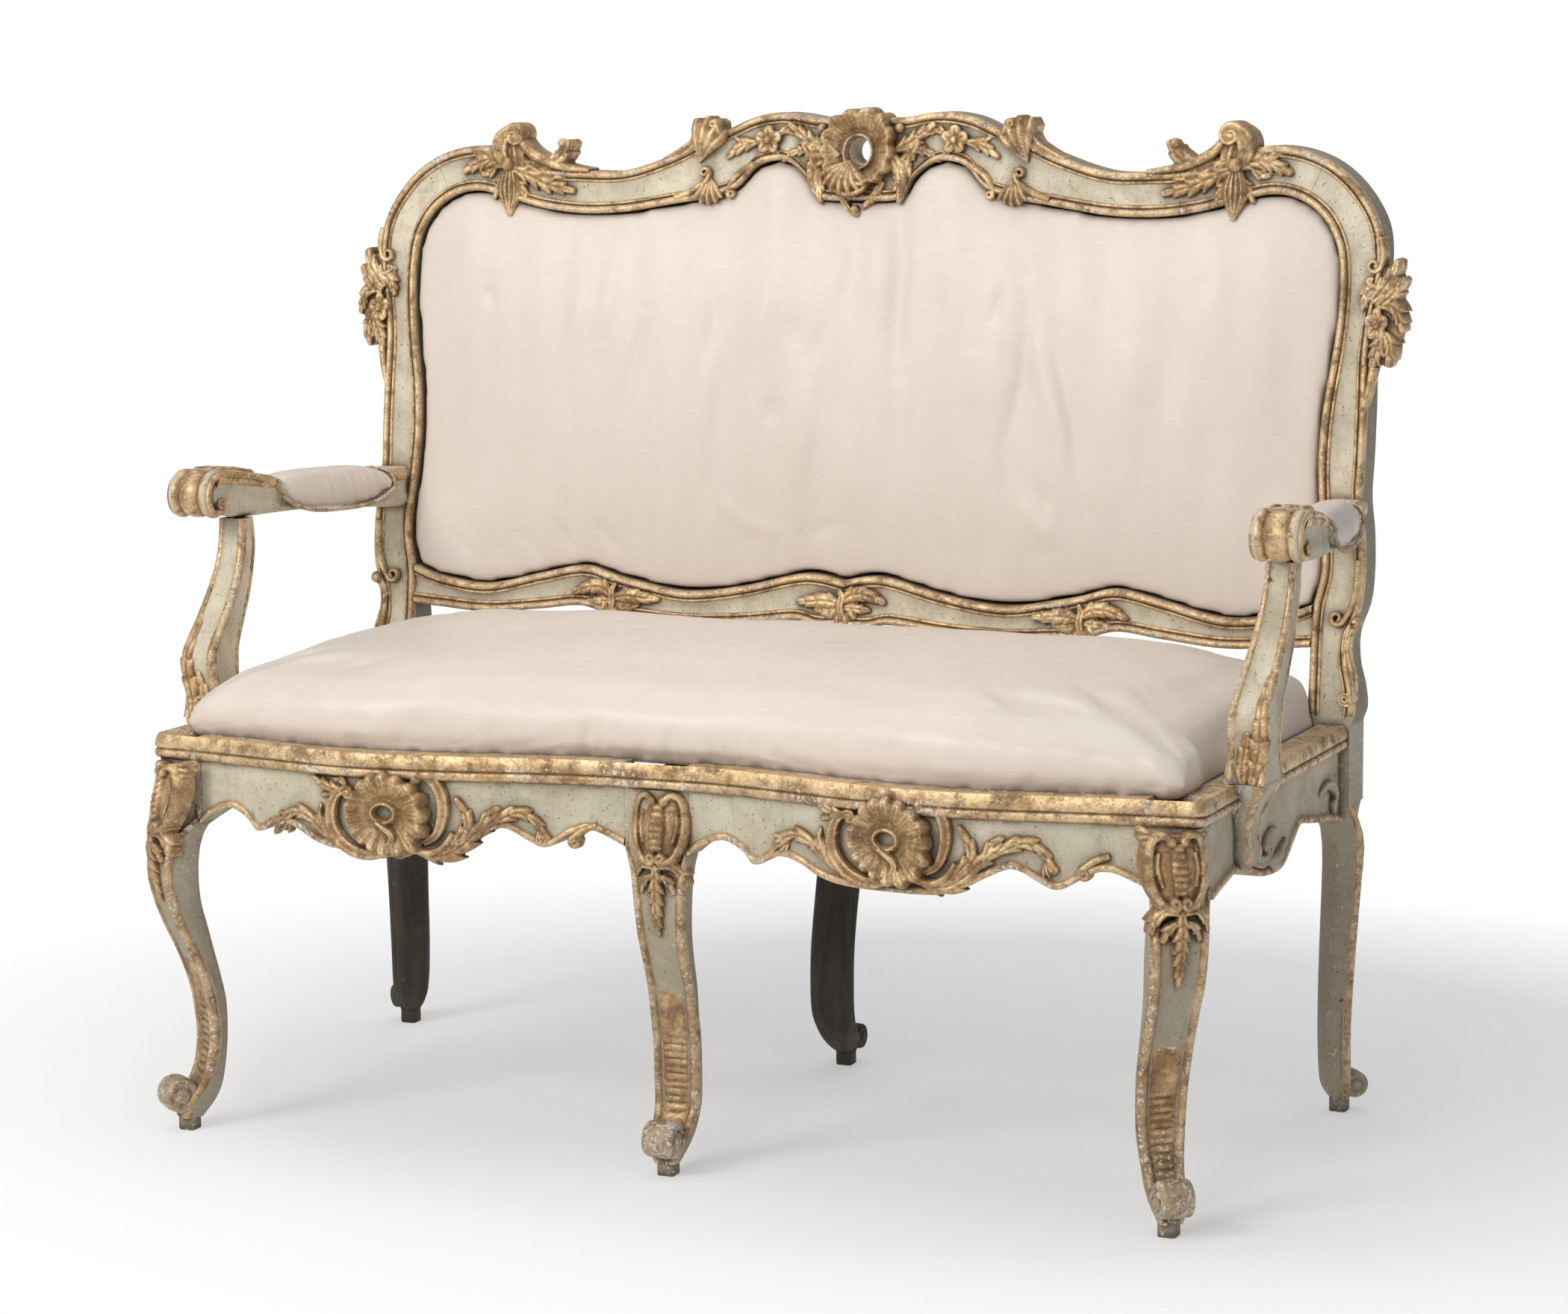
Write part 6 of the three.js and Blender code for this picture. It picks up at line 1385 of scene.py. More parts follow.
def carve(name, elements, place, material, nodes=(), slot="gilding"):
    """Lays elements on the frame and fuses them into one carved body."""
    parts = []
    for element in elements:
        parts += element if isinstance(element, list) else [element]
    made = [grid_piece(f"{name}_{k}", place(*np.moveaxis(p, -1, 0))) for k, p in enumerate(parts)]
    only(made[0])
    for part in made:
        part.select_set(True)
    bpy.ops.object.join()
    piece = bpy.context.object
    piece.name = piece.data.name = name
    changed_by(piece, "REMESH", mode="VOXEL", voxel_size=CARVING_GRAIN * MM, use_smooth_shade=True)
    changed_by(piece, "SMOOTH", factor=0.5, iterations=2)
    finish_piece(piece, material, slot, *nodes)


def as_it_is(points):
    return points


SIDES = (("right", as_it_is), ("left", mirrored))


def laid(place, turn):
    """A way to lay a carving on one side of the settee."""
    return lambda across, up, proud: turn(place(across, up, proud))


def narrowed(element, about, share):
    """An element, or a list of them, at a share of its width about one place."""
    if isinstance(element, list):
        return [narrowed(part, about, share) for part in element]
    return (element - [about, 0, 0]) * np.array([share, 1, 1]) + [about, 0, 0]


def shifted(element, across, up):
    """An element, or a list of them, moved."""
    if isinstance(element, list):
        return [shifted(part, across, up) for part in element]
    return element + np.array([across, up, 0])


CREST_SHELL_CENTRE = (-1, 1059)
CREST_SHELL_LIP = [
    (42, 1053), (43, 1070), (41, 1086), (33, 1099), (22, 1105), (7, 1108), (-6, 1107), (-18, 1104),
    (-32, 1098), (-41, 1084), (-44, 1068), (-42, 1050), (-36, 1034), (-22, 1026), (0, 1022),
    (22, 1025), (36, 1036),
]


def crest_shell(material):
    below = -12
    elements = [
        scallop_shell(CREST_SHELL_CENTRE, CREST_SHELL_LIP, (15, 17), 14, 22, foot=-18),
        fan((-12, 1050), -100, 62, 40, 7, 17, 8, 0.82, below),
        strap([(-40, 1040, 8), (-30, 1021, 9), (-12, 1012, 10), (6, 1016, 10), (14, 1026, 8)],
              [5, 7, 8, 7, 4], 8, foot=below),
        fan((-22, 1056), 172, 42, 34, 4, 10, 9, 0.8, below),
        leaf([(-44, 1058), (-50, 1034), (-47, 1000)], 10, 3, 9, 0.2, 0.4, 1.8, 2, below),
        leaf([(-58, 1054), (-62, 1036), (-56, 1014)], 6, 3, 6, 0.3, 0.4, 1.4, 1, below),
        leaf([(40, 1056), (52, 1032), (50, 1000)], 10, 3, 9, 0.2, 0.4, 1.8, 2, below),
        leaf([(48, 1052), (59, 1042), (61, 1028)], 7, 2, 6, 0.3, 0.4, 1.4, 1, below),
        strap([(-24, 1014), (-16, 1001, 2), (-8, 991, 3)], [10, 8, 6], 7, 2, below, 4.5),
        leaf([(30, 1026), (18, 1010), (4, 994)], 7, 3, 6, 0.35, 0.5, 1.4, 1, below),
        ball((-2, 989), 4, 2),
    ]
    carve("crest_shell_carved", elements, on_back, material, ["crest_shell"])


def crest_spray():
    return [
        ball((48, 1086), 6, 4),
        leaf([(42, 1060), (61, 1070), (76, 1081), (91, 1092)], 12, 4, 7, tip=2),
        leaf([(72, 1070), (60, 1056), (50, 1036), (44, 1014)], 11, 4, 7, tip=2),
        leaf([(64, 1062), (84, 1058), (98, 1048)], 7, 3, 5),
        leaf([(104, 1078), (94, 1084), (84, 1079)], 6, 2, 4),
        leaf([(108, 1064), (104, 1055), (96, 1052)], 6, 2, 4),
        blossom((115, 1073), 17, 3),
        leaf([(128, 1070), (148, 1066), (169, 1052)], 9, 3, 5, tip=1),
        leaf([(140, 1068), (152, 1072), (161, 1078)], 5, 2, 4),
    ]


def edge_shell():
    foot = -24
    return [
        fan((203, 1046), 110, 34, 56, 4, 13, 2, 0.86, foot),
        strap([(176, 1080, 4), (180, 1092, 6)], [9, 7], 7, foot=foot, curl=-4, count=20),
        strap([(205, 1084, 3), (212, 1068, 2), (228, 1058, 1), (248, 1049)], [9, 12, 10, 7], 7, 2,
              foot),
    ]


def inner_curls():
    foot = -12
    return [
        strap([(232, 1006), (212, 1013), (194, 1024), (189, 1033)], [9, 9, 8, 6], 7, foot=foot,
              curl=-6),
        strap([(132, 1045), (150, 1035), (162, 1021), (165, 1013)], [9, 9, 8, 6], 7, foot=foot,
              curl=-5),
        fan((188, 1031), -82, 52, 33, 6, 9, 1, foot=foot),
    ]


def shoulder_scroll():
    foot = -24
    return [
        strap([(450, 1042, 4), (460, 1058, 5), (458, 1074, 6), (447, 1084, 6)], [10, 20, 22, 17],
              10, 2, foot, 8.5),
        strap([(442, 1032, 2), (441, 1054, 3), (446, 1076, 3)], [18, 24, 16], 6, 3, foot),
        strap([(438, 1080, 4), (424, 1061, 4), (403, 1049, 3), (376, 1041, 2), (344, 1037, 0)],
              [8, 12, 11, 9, 6], 8, 1, foot),
        strap([(432, 1048, 1), (412, 1038, 1), (388, 1033, 0)], [14, 14, 8], 6, 3, foot),
        leaf([(404, 1046), (384, 1052, 2), (370, 1072, 6)], 11, 3, 8, 0.3, foot=foot),
        ball((378, 1069), 6, 7),
        ball((449, 1045), 8, 9),
        leaf([(444, 1040), (419, 1031), (396, 1021), (362, 1013)], 14, 5, 9, tip=1),
        leaf([(440, 1052), (422, 1042), (403, 1032), (374, 1029)], 9, 4, 7),
        leaf([(450, 1042), (472, 1050), (490, 1046), (512, 1035)], 14, 5, 9, tip=1),
        leaf([(470, 1050), (484, 1057), (500, 1056)], 7, 2, 6),
        leaf([(466, 1040), (478, 1033), (488, 1034)], 7, 2, 6),
        strap([(448, 1046, 3), (448, 1020, 4), (447, 984, 1)], [12, 32, 8], 9, 6, -12),
        leaf([(454, 1032), (463, 1018), (469, 1003)], 8, 3, 7),
        leaf([(441, 1028), (430, 1014), (425, 999)], 8, 3, 7),
    ]


FLOWER_NARROWED = (598, 0.76)


def side_flower():
    foot = -24
    return [
        strap([(622, 934, -3), (630, 900, -2), (632, 866, -2), (622, 832, -4)], [24, 44, 44, 26],
              4, 1, foot),
        leaf([(612, 898, 1), (628, 912, 3), (642, 928, 4), (648, 944, 3)], 14, 3, 9, 0.35,
             foot=foot),
        leaf([(618, 892, 1), (636, 902, 3), (650, 914, 3), (658, 924, 2)], 12, 3, 8, 0.35,
             foot=foot),
        leaf([(620, 914, 2), (606, 908, 2), (597, 888)], 12, 4, 8, tip=2),
        leaf([(614, 924), (604, 918), (598, 906)], 7, 2, 6),
        blossom((621, 874), 18, 7),
        leaf([(628, 894, 3), (646, 892, 3), (658, 866, 1)], 13, 4, 9, foot=foot),
        leaf([(630, 862, 1), (622, 846, 2), (614, 826, 1)], 13, 3, 9, 0.35, foot=foot),
        leaf([(634, 866, 1), (642, 850, 2), (638, 828, 1)], 11, 3, 9, 0.35, foot=foot),
    ]


def post_curls():
    """The ends of the outer bead beside the flower and near the seat."""
    return [
        strap([(616, 968), (619, 950), (617, 936)], [9, 9, 7], 8, foot=-10, curl=-8),
        strap([(613, 828), (608, 800), (602, 780)], [10, 9, 8], 6.5, foot=-10),
        strap([(607, 620), (606, 590), (600, 566), (592, 552)], [9, 10, 9, 7], 8, foot=-10,
              curl=-8),
        ball((607, 552), 7, 3),
        strap([(606, 552), (598, 540), (596, 520), (602, 494), (605, 470)], [11, 10, 10, 11, 9], 8,
              2, -10, -7),
    ]


def clasp(x, z, reach):
    """Two soft leaves that open from a round ribbed lobe on the lower rail."""
    return [
        leaf([(x - 2, z, 1), (x - 20, z + 3, 3), (x - 42, z + 1, 3), (x - reach, z, 1)], 10, 4, 7,
             0.26, 0.5, 1.8),
        leaf([(x - 4, z - 7, 1), (x - 18, z - 10, 2), (x - 34, z - 7, 2)], 7, 3, 5, 0.26, 0.5,
             1.6),
        leaf([(x + 2, z + 3, 1), (x + 14, z + 11, 3), (x + 32, z + 11, 3),
              (x + reach - 4, z + 2, 1)],
             10, 4, 7, 0.26, 0.5, 1.8),
        leaf([(x + 4, z - 4, 1), (x + 18, z - 5, 2), (x + 36, z - 6, 2)], 7, 3, 5, 0.26, 0.5, 1.6),
        fan((x + 1, z), -90, 62, 26, 4, 7, 1, 0.8),
        strap([(x - 3, z + 17, 3), (x + 1, z + 8, 5), (x, z - 4, 6), (x + 3, z - 18, 4)],
              [5, 8, 9, 6], 6, 2),
    ]


APRON_SHELL_LIP = [
    (326, 384), (327, 371), (320, 359), (314, 348), (302, 342), (282, 342), (262, 350), (243, 366),
    (236, 384), (236, 398), (245, 408), (255, 423), (268, 429), (287, 431), (303, 423), (318, 414),
    (325, 402),
]
LEFT_APRON_SHIFT = (-573, -10)


def apron_carving():
    below = -8
    return [
        scallop_shell((276, 387), APRON_SHELL_LIP, (10.5, 7), 17, 21, foot=below, cut=4.8),
        strap([(270, 378, 12), (280, 372, 13), (290, 364, 13), (284, 350, 11), (262, 342, 8),
               (236, 347, 6),
               (217, 364, 5), (213, 384, 5), (220, 403, 5), (232, 410, 4)],
              [4, 6, 9, 12, 14, 15, 15, 14, 11, 8], 8, 2, below, -5),
        leaf([(228, 408, 2), (210, 411, 3), (190, 420, 2)], 9, 3, 7, 0.5, tip=2),
        leaf([(224, 402), (208, 402), (196, 400)], 6, 2, 5),
        leaf([(232, 412), (224, 419), (210, 418)], 6, 2, 5),
        strap([(196, 386), (202, 366), (220, 350), (246, 341), (276, 340)], [6, 10, 10, 9, 6], 7,
              1, below),
        leaf([(208, 362), (198, 376), (197, 392)], 7, 2, 6),
        leaf([(208, 356), (188, 373), (166, 380), (146, 370), (134, 352)], 10, 4, 7, tip=2,
             foot=below),
        fan((160, 374), -150, 50, 22, 5, 6, 0, foot=below),
        strap([(312, 427, 1), (327, 427, 2), (338, 414, 2), (342, 398, 2), (340, 380, 2),
               (333, 364, 2), (320, 356, 2)],
              [8, 12, 13, 13, 12, 10, 7], 8, 2, below),
        ball((313, 425), 6, 4),
        strap([(284, 343, 2), (306, 350, 4), (326, 346, 4), (342, 353, 3), (352, 368, 2)],
              [8, 10, 9, 8, 6], 7, 1, below),
        leaf([(312, 348), (338, 343), (358, 352), (378, 370), (398, 384), (416, 398)], 12, 6, 8,
             tip=1, foot=below),
        leaf([(350, 354), (367, 374), (364, 392), (354, 406)], 9, 3, 7, tip=2),
        leaf([(396, 380), (420, 391), (438, 384), (454, 362)], 9, 4, 7, tip=1, foot=below),
        leaf([(380, 372), (390, 390), (402, 396)], 7, 2, 6),
        fan((440, 376), -62, 36, 20, 4, 6, 0, foot=below),
        strap([(506, 381), (490, 375), (478, 366)], [7, 8, 8], 6, 1, below, 5.5),
        fan((486, 374), -120, 40, 16, 4, 5, 0, foot=below),
    ]


def side_carving():
    """Along the side rail, counted backwards and up: a ribbed curl at its lowest place with a
    leaf behind it, and a curled strap where the rail meets the rear leg."""
    below = -6
    return [
        strap([(-150, 376, 1), (-122, 360, 2), (-92, 348, 3), (-66, 342, 3), (-46, 342, 2)],
              [7, 10, 13, 14, 12], 7, 2, below, 10, rungs=9),
        leaf([(-44, 338, 1), (-18, 334, 3), (6, 342, 2), (24, 352, 1)], 9, 4, 6, 0.26, 0.5,
             foot=below),
        leaf([(-60, 352, 1), (-36, 366, 2), (-8, 366, 1)], 7, 3, 5, 0.26, 0.5, foot=below),
        strap([(150, 376, 0), (170, 382, 2), (190, 379, 3), (203, 369, 3), (204, 358, 2)],
              [5, 8, 10, 10, 8], 6, 2, below, -6),
    ]


def side_rail_carvings(material):
    def on_side_rail(y, z, proud):
        return np.stack([FRAME_HALF_WIDTH + proud, y, z], axis=-1)

    for side, turn in SIDES:
        carve(f"side_rail_curls_{side}", side_carving(), laid(on_side_rail, turn), material,
              slot="painted_wood")


def leg_cartouche():
    """Two facing scrolls round a laddered oval, hung from the moulding, with wings and a drop."""
    foot = -12
    half = [
        strap([(5, 399, 2), (13, 408, 2), (24, 404, 1), (29, 386, 0), (28, 364, 0), (20, 345, 1),
               (9, 338, 2)],
              [6, 8, 10, 11, 10, 9, 8], 8, 1, foot, -5.5),
        ball((7, 402), 5, 5),
        fan((20, 410), -30, 60, 17, 4, 7, -1, foot=foot),
        strap([(19, 392, 1), (21, 376, 1), (17, 358, 1)], [4, 5, 4], 4, 1, foot),
        leaf([(4, 333, 1), (16, 336, 1), (26, 326), (30, 312)], 8, 3, 7, foot=foot),
        leaf([(6, 326), (14, 318), (20, 304)], 6, 2, 6, foot=foot),
    ]
    middle = [
        strap([(0, 408, -2), (0, 374, 0), (0, 342, -2)], [34, 52, 34], 3, 1, foot),
        strap([(0, 400, 4), (0, 372, 6), (0, 350, 4)], [11, 17, 12], 4, 1, foot, rungs=7),
        leaf([(0, 336, 1), (-1, 300, 0), (-1, 258, -1)], 10, 6, 6, foot=foot),
    ]
    return middle + half + mirrored(half)


CARTOUCHE_ROUND = 44
LEG_EAR = (0.9, 1)


def on_leg_front(foot, facing, table, block_depth, swell):
    """Lays a carving on the front of a leg and on over its block."""
    place = leg_frame(foot, facing)
    rows = read_curve(table, np.linspace(0, 1, LEG_ROWS))

    def lay(across, up, proud):
        shaft = np.interp(up / LEG_TOP, np.linspace(table[0][0], 1, LEG_ROWS), np.interp(
            np.linspace(table[0][0], 1, LEG_ROWS), rows[:, 0], rows[:, 1])) * LEG_REACH
        above = block_depth + swell_at(up, swell)
        front = mix(shaft, above, smooth(*LEG_EAR, up / LEG_TOP))
        return place(front + proud - across ** 2 / (2 * CARTOUCHE_ROUND), across, up)
    return lay


CORNER_BLOCK_DEPTH, MIDDLE_BLOCK_DEPTH = 9.5, 6


def leg_carvings(material):
    corner = on_leg_front(FRONT_FOOT, FRONT_FACING, FRONT_LEG, CORNER_BLOCK_DEPTH, CORNER_SWELL)
    middle = on_leg_front(MIDDLE_FOOT, -math.pi / 2, MIDDLE_LEG, MIDDLE_BLOCK_DEPTH, MIDDLE_SWELL)
    for side, turn in SIDES:
        carve(f"leg_cartouche_{side}", leg_cartouche(), laid(corner, turn), material)
    carve("leg_cartouche_middle", leg_cartouche(), middle, material)


ARM_VOLUTE = [
    (-30, 694), (-56, 701), (-90, 706), (-118, 708), (-137, 699), (-142, 682), (-133, 668),
    (-117, 666),
]
VOLUTE_OUT = -1
VOLUTE_WIDENS = (ARM_ROLL_Y + 4, ARM_ROLL_Y + ARM_ROLL_RADIUS + 8)
FRONT_PANEL_SUNK = 3.4


def arm_half_at(y):
    share = 1 - (np.asarray(y, float) - ARM_ROLL_Y) / ARM_LENGTH
    rows = arm_rows(np.clip(share, 0.01, 1))
    return rows["x"], rows["half"], rows["high"]


def arm_carvings(gold):
    volute = strap(ARM_VOLUTE, [4, 6, 7, 8, 8, 8, 7], 4, 1, -4, 8.5) + np.array([0, 0, VOLUTE_OUT])
    crown = [
        leaf([(0, -18), (0, -58), (0, -104)], 17, 6, 5, foot=-6),
        strap([(-10, -30), (-16, -70), (-15, -104)], [5, 7, 5], 3, 1, -6),
        strap([(10, -30), (16, -70), (15, -104)], [5, 7, 5], 3, 1, -6),
    ]
    climbing = [
        leaf([(8, 440, 0), (12, 470, 0), (14, 506, 0), (11, 548, 0)], 11, 5, 6, 0.3, 0.6),
        leaf([(-1, 440, 0), (-4, 462, 0), (1, 494, 0)], 9, 3, 5, 0.3, 0.6),
    ]
    rows = read_curve(SUPPORT, np.linspace(0, 1, SUPPORT_ROWS))

    def on_side(sign):
        def lay(y, z, proud):
            x, half, _ = arm_half_at(y)
            wide = mix(ARM_ROLL_HALF, half, smooth(*VOLUTE_WIDENS, y))
            return np.stack([x + sign * (wide + proud), y, z], axis=-1)
        return lay

    def on_top(across, y, proud):
        x, _, high = arm_half_at(y)
        return np.stack([x + across, y, high + proud], axis=-1)

    def on_support(across, z, proud):
        up = (z - SEAT_TOP) / (SUPPORT_TOP - SEAT_TOP)
        front = SUPPORT_TOP_Y - np.interp(up, rows[:, 0], rows[:, 1]) * SUPPORT_REACH
        return np.stack([mix(SUPPORT_BASE_X, SUPPORT_TOP_X, up) + across,
                         front + FRONT_PANEL_SUNK - proud, z], axis=-1)

    for side, turn in SIDES:
        for face, sign in (("outer", 1), ("inner", -1)):
            carve(f"arm_volute_{side}_{face}", [volute], laid(on_side(sign), turn), gold)
        carve(f"arm_leaf_{side}", crown, laid(on_top, turn), gold)
        carve(f"support_leaf_{side}", climbing, laid(on_support, turn), gold)


def back_carvings(material):
    crest_shell(material)
    for side, turn in SIDES:
        for name, elements, node in (
            ("crest_spray", crest_spray(), None),
            ("crest_edge_shell", edge_shell(), "crest_edge_shell"),
            ("crest_inner_curls", inner_curls(), None),
            ("shoulder_scroll", shoulder_scroll(), "shoulder_scroll"),
            ("side_flower", narrowed(side_flower(), *FLOWER_NARROWED), "post_flower"),
            ("post_curls", post_curls(), None),
        ):
            nodes = [f"{node}_{side}"] if node else []
            carve(f"{name}_{side}_carved", turn(elements), on_back, material, nodes)
        carve(f"rail_leaves_{side}", turn(clasp(290, 541, 60)), on_back, material)
    carve("rail_leaves_middle", clasp(0, 546, 58), on_back, material)


def apron_carvings(material):
    for side, shift in (("right", (0, 0)), ("left", LEFT_APRON_SHIFT)):
        elements = shifted(apron_carving(), *shift)
        carve(f"apron_shell_{side}_carved", elements, on_apron, material, [f"apron_shell_{side}"])


# The upholstery.

CUSHION_SHOULDER, CUSHION_CROWN, CORNER_DROOP, SEAT_BELLY = 70, 37, 18, 14
DROOP_POWER, REAR_FALL, BESIDE_ARM = 6, 20, -180
CUSHION_FOOT = SEAT_TOP - LEDGE_DEPTH + 2.6
CUSHION_HELD_BELOW = (CUSHION_FOOT + 4, CUSHION_FOOT + 18)
CUSHION_RINGS = [
    (1, 0, 0, 0), (1, 0.1, 0, 0), (1, 0.17, 0.25, 0), (1, 0.27, 0.85, 0), (1, 0.5, 1, 0),
    (1, 0.76, 0.92, 0), (0.994, 0.95, 0.3, 0.02), (0.975, 1, 0, 0.14), (0.94, 1, 0, 0.34),
    (0.84, 1, 0, 0.62), (0.66, 1, 0, 0.86), (0.34, 1, 0, 1), (0.02, 1, 0, 1),
]
FOOT_PASSES, CORNER_PASSES = 4, 34
UNDER_SEAT = (0.02, 0.3, 0.6, 0.9, 0.98)
CUSHION_ROWS = 90
WELL_SAMPLES, WELL_STEP = 150, 9


def coordinates(piece):
    values = np.empty(3 * len(piece.data.vertices))
    piece.data.vertices.foreach_get("co", values)
    points = values.reshape(-1, 3)
    points[:, 1] -= SHIFT_Y
    return points / MM


def move_to(piece, points):
    piece.data.vertices.foreach_set("co", in_metres(points).ravel())
    piece.data.update()


SWELL_GRAIN, SWELL_FRAMES, HOLD_LEVELS = 8, 20, 10
COVER_SLACK, COVER_PRESSURE, COVER_SINK = 4, 4, 0.25


def let_swell(piece, held_at, cap):
    """Lets a pad's cover swell and pucker as cloth between the edges where it is held, from a
    slightly smaller shape and by no more than cap, and then smooths it by one subdivision."""
    changed_by(piece, "REMESH", mode="VOXEL", voxel_size=SWELL_GRAIN * MM)
    changed_by(piece, "SMOOTH", factor=0.5, iterations=3)
    start = coordinates(piece)
    held = np.clip(held_at(start), 0, 1)
    normals = np.empty(3 * len(start))
    piece.data.vertices.foreach_get("normal", normals)
    normals = normals.reshape(-1, 3)
    start = start - normals * (COVER_SLACK * (1 - held))[:, None]
    move_to(piece, start)
    group = piece.vertex_groups.new(name="held")
    for level in range(1, HOLD_LEVELS + 1):
        inside = np.nonzero((held > (level - 1) / HOLD_LEVELS) & (held <= level / HOLD_LEVELS))[0]
        group.add(inside.tolist(), level / HOLD_LEVELS, "REPLACE")
    cloth = piece.modifiers.new("cover", "CLOTH")
    cloth.settings.vertex_group_mass = "held"
    cloth.settings.use_pressure = True
    cloth.settings.uniform_pressure_force = COVER_PRESSURE
    cloth.settings.effector_weights.gravity = 0
    cloth.point_cache.frame_start, cloth.point_cache.frame_end = 1, SWELL_FRAMES
    scene = bpy.context.scene
    for number in range(1, SWELL_FRAMES + 1):
        scene.frame_set(number)
    bpy.ops.object.modifier_apply(modifier="cover")
    scene.frame_set(1)
    moved = coordinates(piece) - start
    outward = (moved * normals).sum(axis=1)
    moved -= normals * (np.minimum(outward, 0) * (1 - COVER_SINK))[:, None]
    length = np.maximum(np.linalg.norm(moved, axis=1), 1e-6)
    eased = cap * np.tanh(length / cap) / length * (1 - held)
    move_to(piece, start + moved * eased[:, None])
    piece.vertex_groups.clear()
    changed_by(piece, "SUBSURF", levels=1, render_levels=1)
    piece.data.shade_smooth()


def fold_field(places, folds):
    """Height of a cover's folds at many places: each fold has a height, a width and a course."""
    field = np.zeros(len(places))
    for height, width, course in folds:
        course = np.array(course, float)
        lengths = lengths_along(course)
        near = np.full(len(places), np.inf)
        along = np.zeros(len(places))
        for a, b, so_far in zip(course[:-1], course[1:], lengths):
            ahead = b - a
            share = np.clip((places - a) @ ahead / (ahead @ ahead), 0, 1)
            away = np.linalg.norm(places - a - share[:, None] * ahead, axis=1)
            closer = away < near
            near = np.where(closer, away, near)
            along = np.where(closer, so_far + share * np.linalg.norm(ahead), along)
        taper = np.sin(np.pi * np.clip(along / lengths[-1], 0.04, 0.96)) ** 0.6
        field += height * taper * np.exp(-(near / width) ** 2)
    return field


def well_outline(inset):
    """The plan of the seat's well as many points, its corners a little rounded."""
    half = FRAME_HALF_WIDTH - SEAT_LIP - inset
    x = np.linspace(-half, half, WELL_SAMPLES)
    front = np.stack([x, face_y(x) + SEAT_LIP + inset], axis=-1)
    beside_post = BACK_FACE_Y - WELL_POST_GAP - inset
    back_x, rear = POST_INNER_X - WELL_POST_GAP - inset, SEAT_WELL_REAR - inset
    corners = [(half, beside_post), (back_x, beside_post), (back_x, rear), (-back_x, rear),
               (-back_x, beside_post), (-half, beside_post)]
    outline = [front]
    previous = front[-1]
    for corner in [*corners, tuple(front[0])]:
        steps = max(int(np.hypot(*(np.array(corner) - previous)) / WELL_STEP), 2)
        stretch = np.linspace(previous, corner, steps + 1)[1:]
        outline.append(stretch)
        previous = np.array(corner)
    return np.concatenate(outline)[:-1]


def seat_cushion_points():
    outline = well_outline(JOINT_GAP * 2)
    centre = np.array([0, mix(FRONT_FACE_Y, SEAT_WELL_REAR, 0.5)])
    forward = np.maximum((centre[1] - outline[:, 1]) / (centre[1] - FRONT_FACE_Y), 0)
    behind = np.maximum((outline[:, 1] - centre[1]) / (SEAT_WELL_REAR - centre[1]), 0)
    reach = FRAME_HALF_WIDTH - SEAT_LIP
    droop = CORNER_DROOP * forward * (np.abs(outline[:, 0]) / reach) ** DROOP_POWER
    shoulder = CUSHION_SHOULDER - droop - REAR_FALL * behind ** 2
    rows = read_curve(CUSHION_RINGS, np.linspace(0, 1, CUSHION_ROWS))
    eased = outline.copy()
    turning = smooth(120, 60, outline[:, 1])[:, None]
    for number in range(CORNER_PASSES):
        eased = (np.roll(eased, 1, axis=0) + 2 * eased + np.roll(eased, -1, axis=0)) / 4
        if number == FOOT_PASSES:
            at_foot = mix(outline, eased, turning)
    eased = mix(outline, eased, turning)
    points = []
    for size, up, belly, rise in rows:
        size, rise = min(size, 1), min(max(rise, 0), 1)
        plan = mix(at_foot, eased, smooth(0.2, 0.8, up))
        plan = centre + (plan - centre) * size
        beside = np.where(outline[:, 1] < BESIDE_ARM, np.sign(outline[:, 0]), 0)
        sideways = beside * SEAT_BELLY * belly
        ahead = np.where(outline[:, 1] < centre[1], SEAT_BELLY * belly, 0)
        top = mix(shoulder, CUSHION_SHOULDER, rise)
        z = CUSHION_FOOT + np.clip(up, 0, 1) * top + rise * CUSHION_CROWN
        points.append(np.stack([plan[:, 0] + sideways, plan[:, 1] - ahead, z], axis=-1))
    foot = np.array([*centre, CUSHION_FOOT])
    under = [foot + (points[0] - foot) * [size, size, 1] for size in UNDER_SEAT]
    return np.array(under + points)


# Where the seat's front is creased from its base up: how far along, how deep, how wide, how far
# up, and how far the crease leans.
SEAT_CREASES = [
    (-530, 1.2, 9, 26, 3), (-470, 1, 10, 24, -2), (-350, 1.4, 8, 30, 4), (-296, 1.6, 7, 34, 12),
    (-188, 1.8, 6, 46, -3), (-92, 2.8, 7, 62, 8), (-76, 2, 6, 70, 6), (-30, 1.6, 7, 30, 5),
    (4, 2.6, 6, 56, 5), (60, 1.8, 6, 44, -4), (78, 1.8, 6, 48, -6), (92, 1.6, 5, 44, -5),
    (110, 1.8, 6, 46, -6), (138, 1.6, 7, 40, -6), (176, 1.4, 7, 40, -5), (300, 1.4, 8, 34, 3),
    (420, 1.6, 8, 36, 4), (500, 1.8, 8, 30, 8), (536, 2, 8, 26, 10),
]
BASE_PUCKERS = [(0.21, 0.4, 1.1), (0.33, 2.1, 0.8), (0.13, 4.0, 1.0), (0.54, 1.3, 0.5)]
PUCKER_HEIGHT = 13
SEAT_WAVES = [(0.031, 0.012, 0.5, 0.9), (0.021, -0.017, 2.4, 0.8), (0.052, 0.03, 4.2, 0.4)]


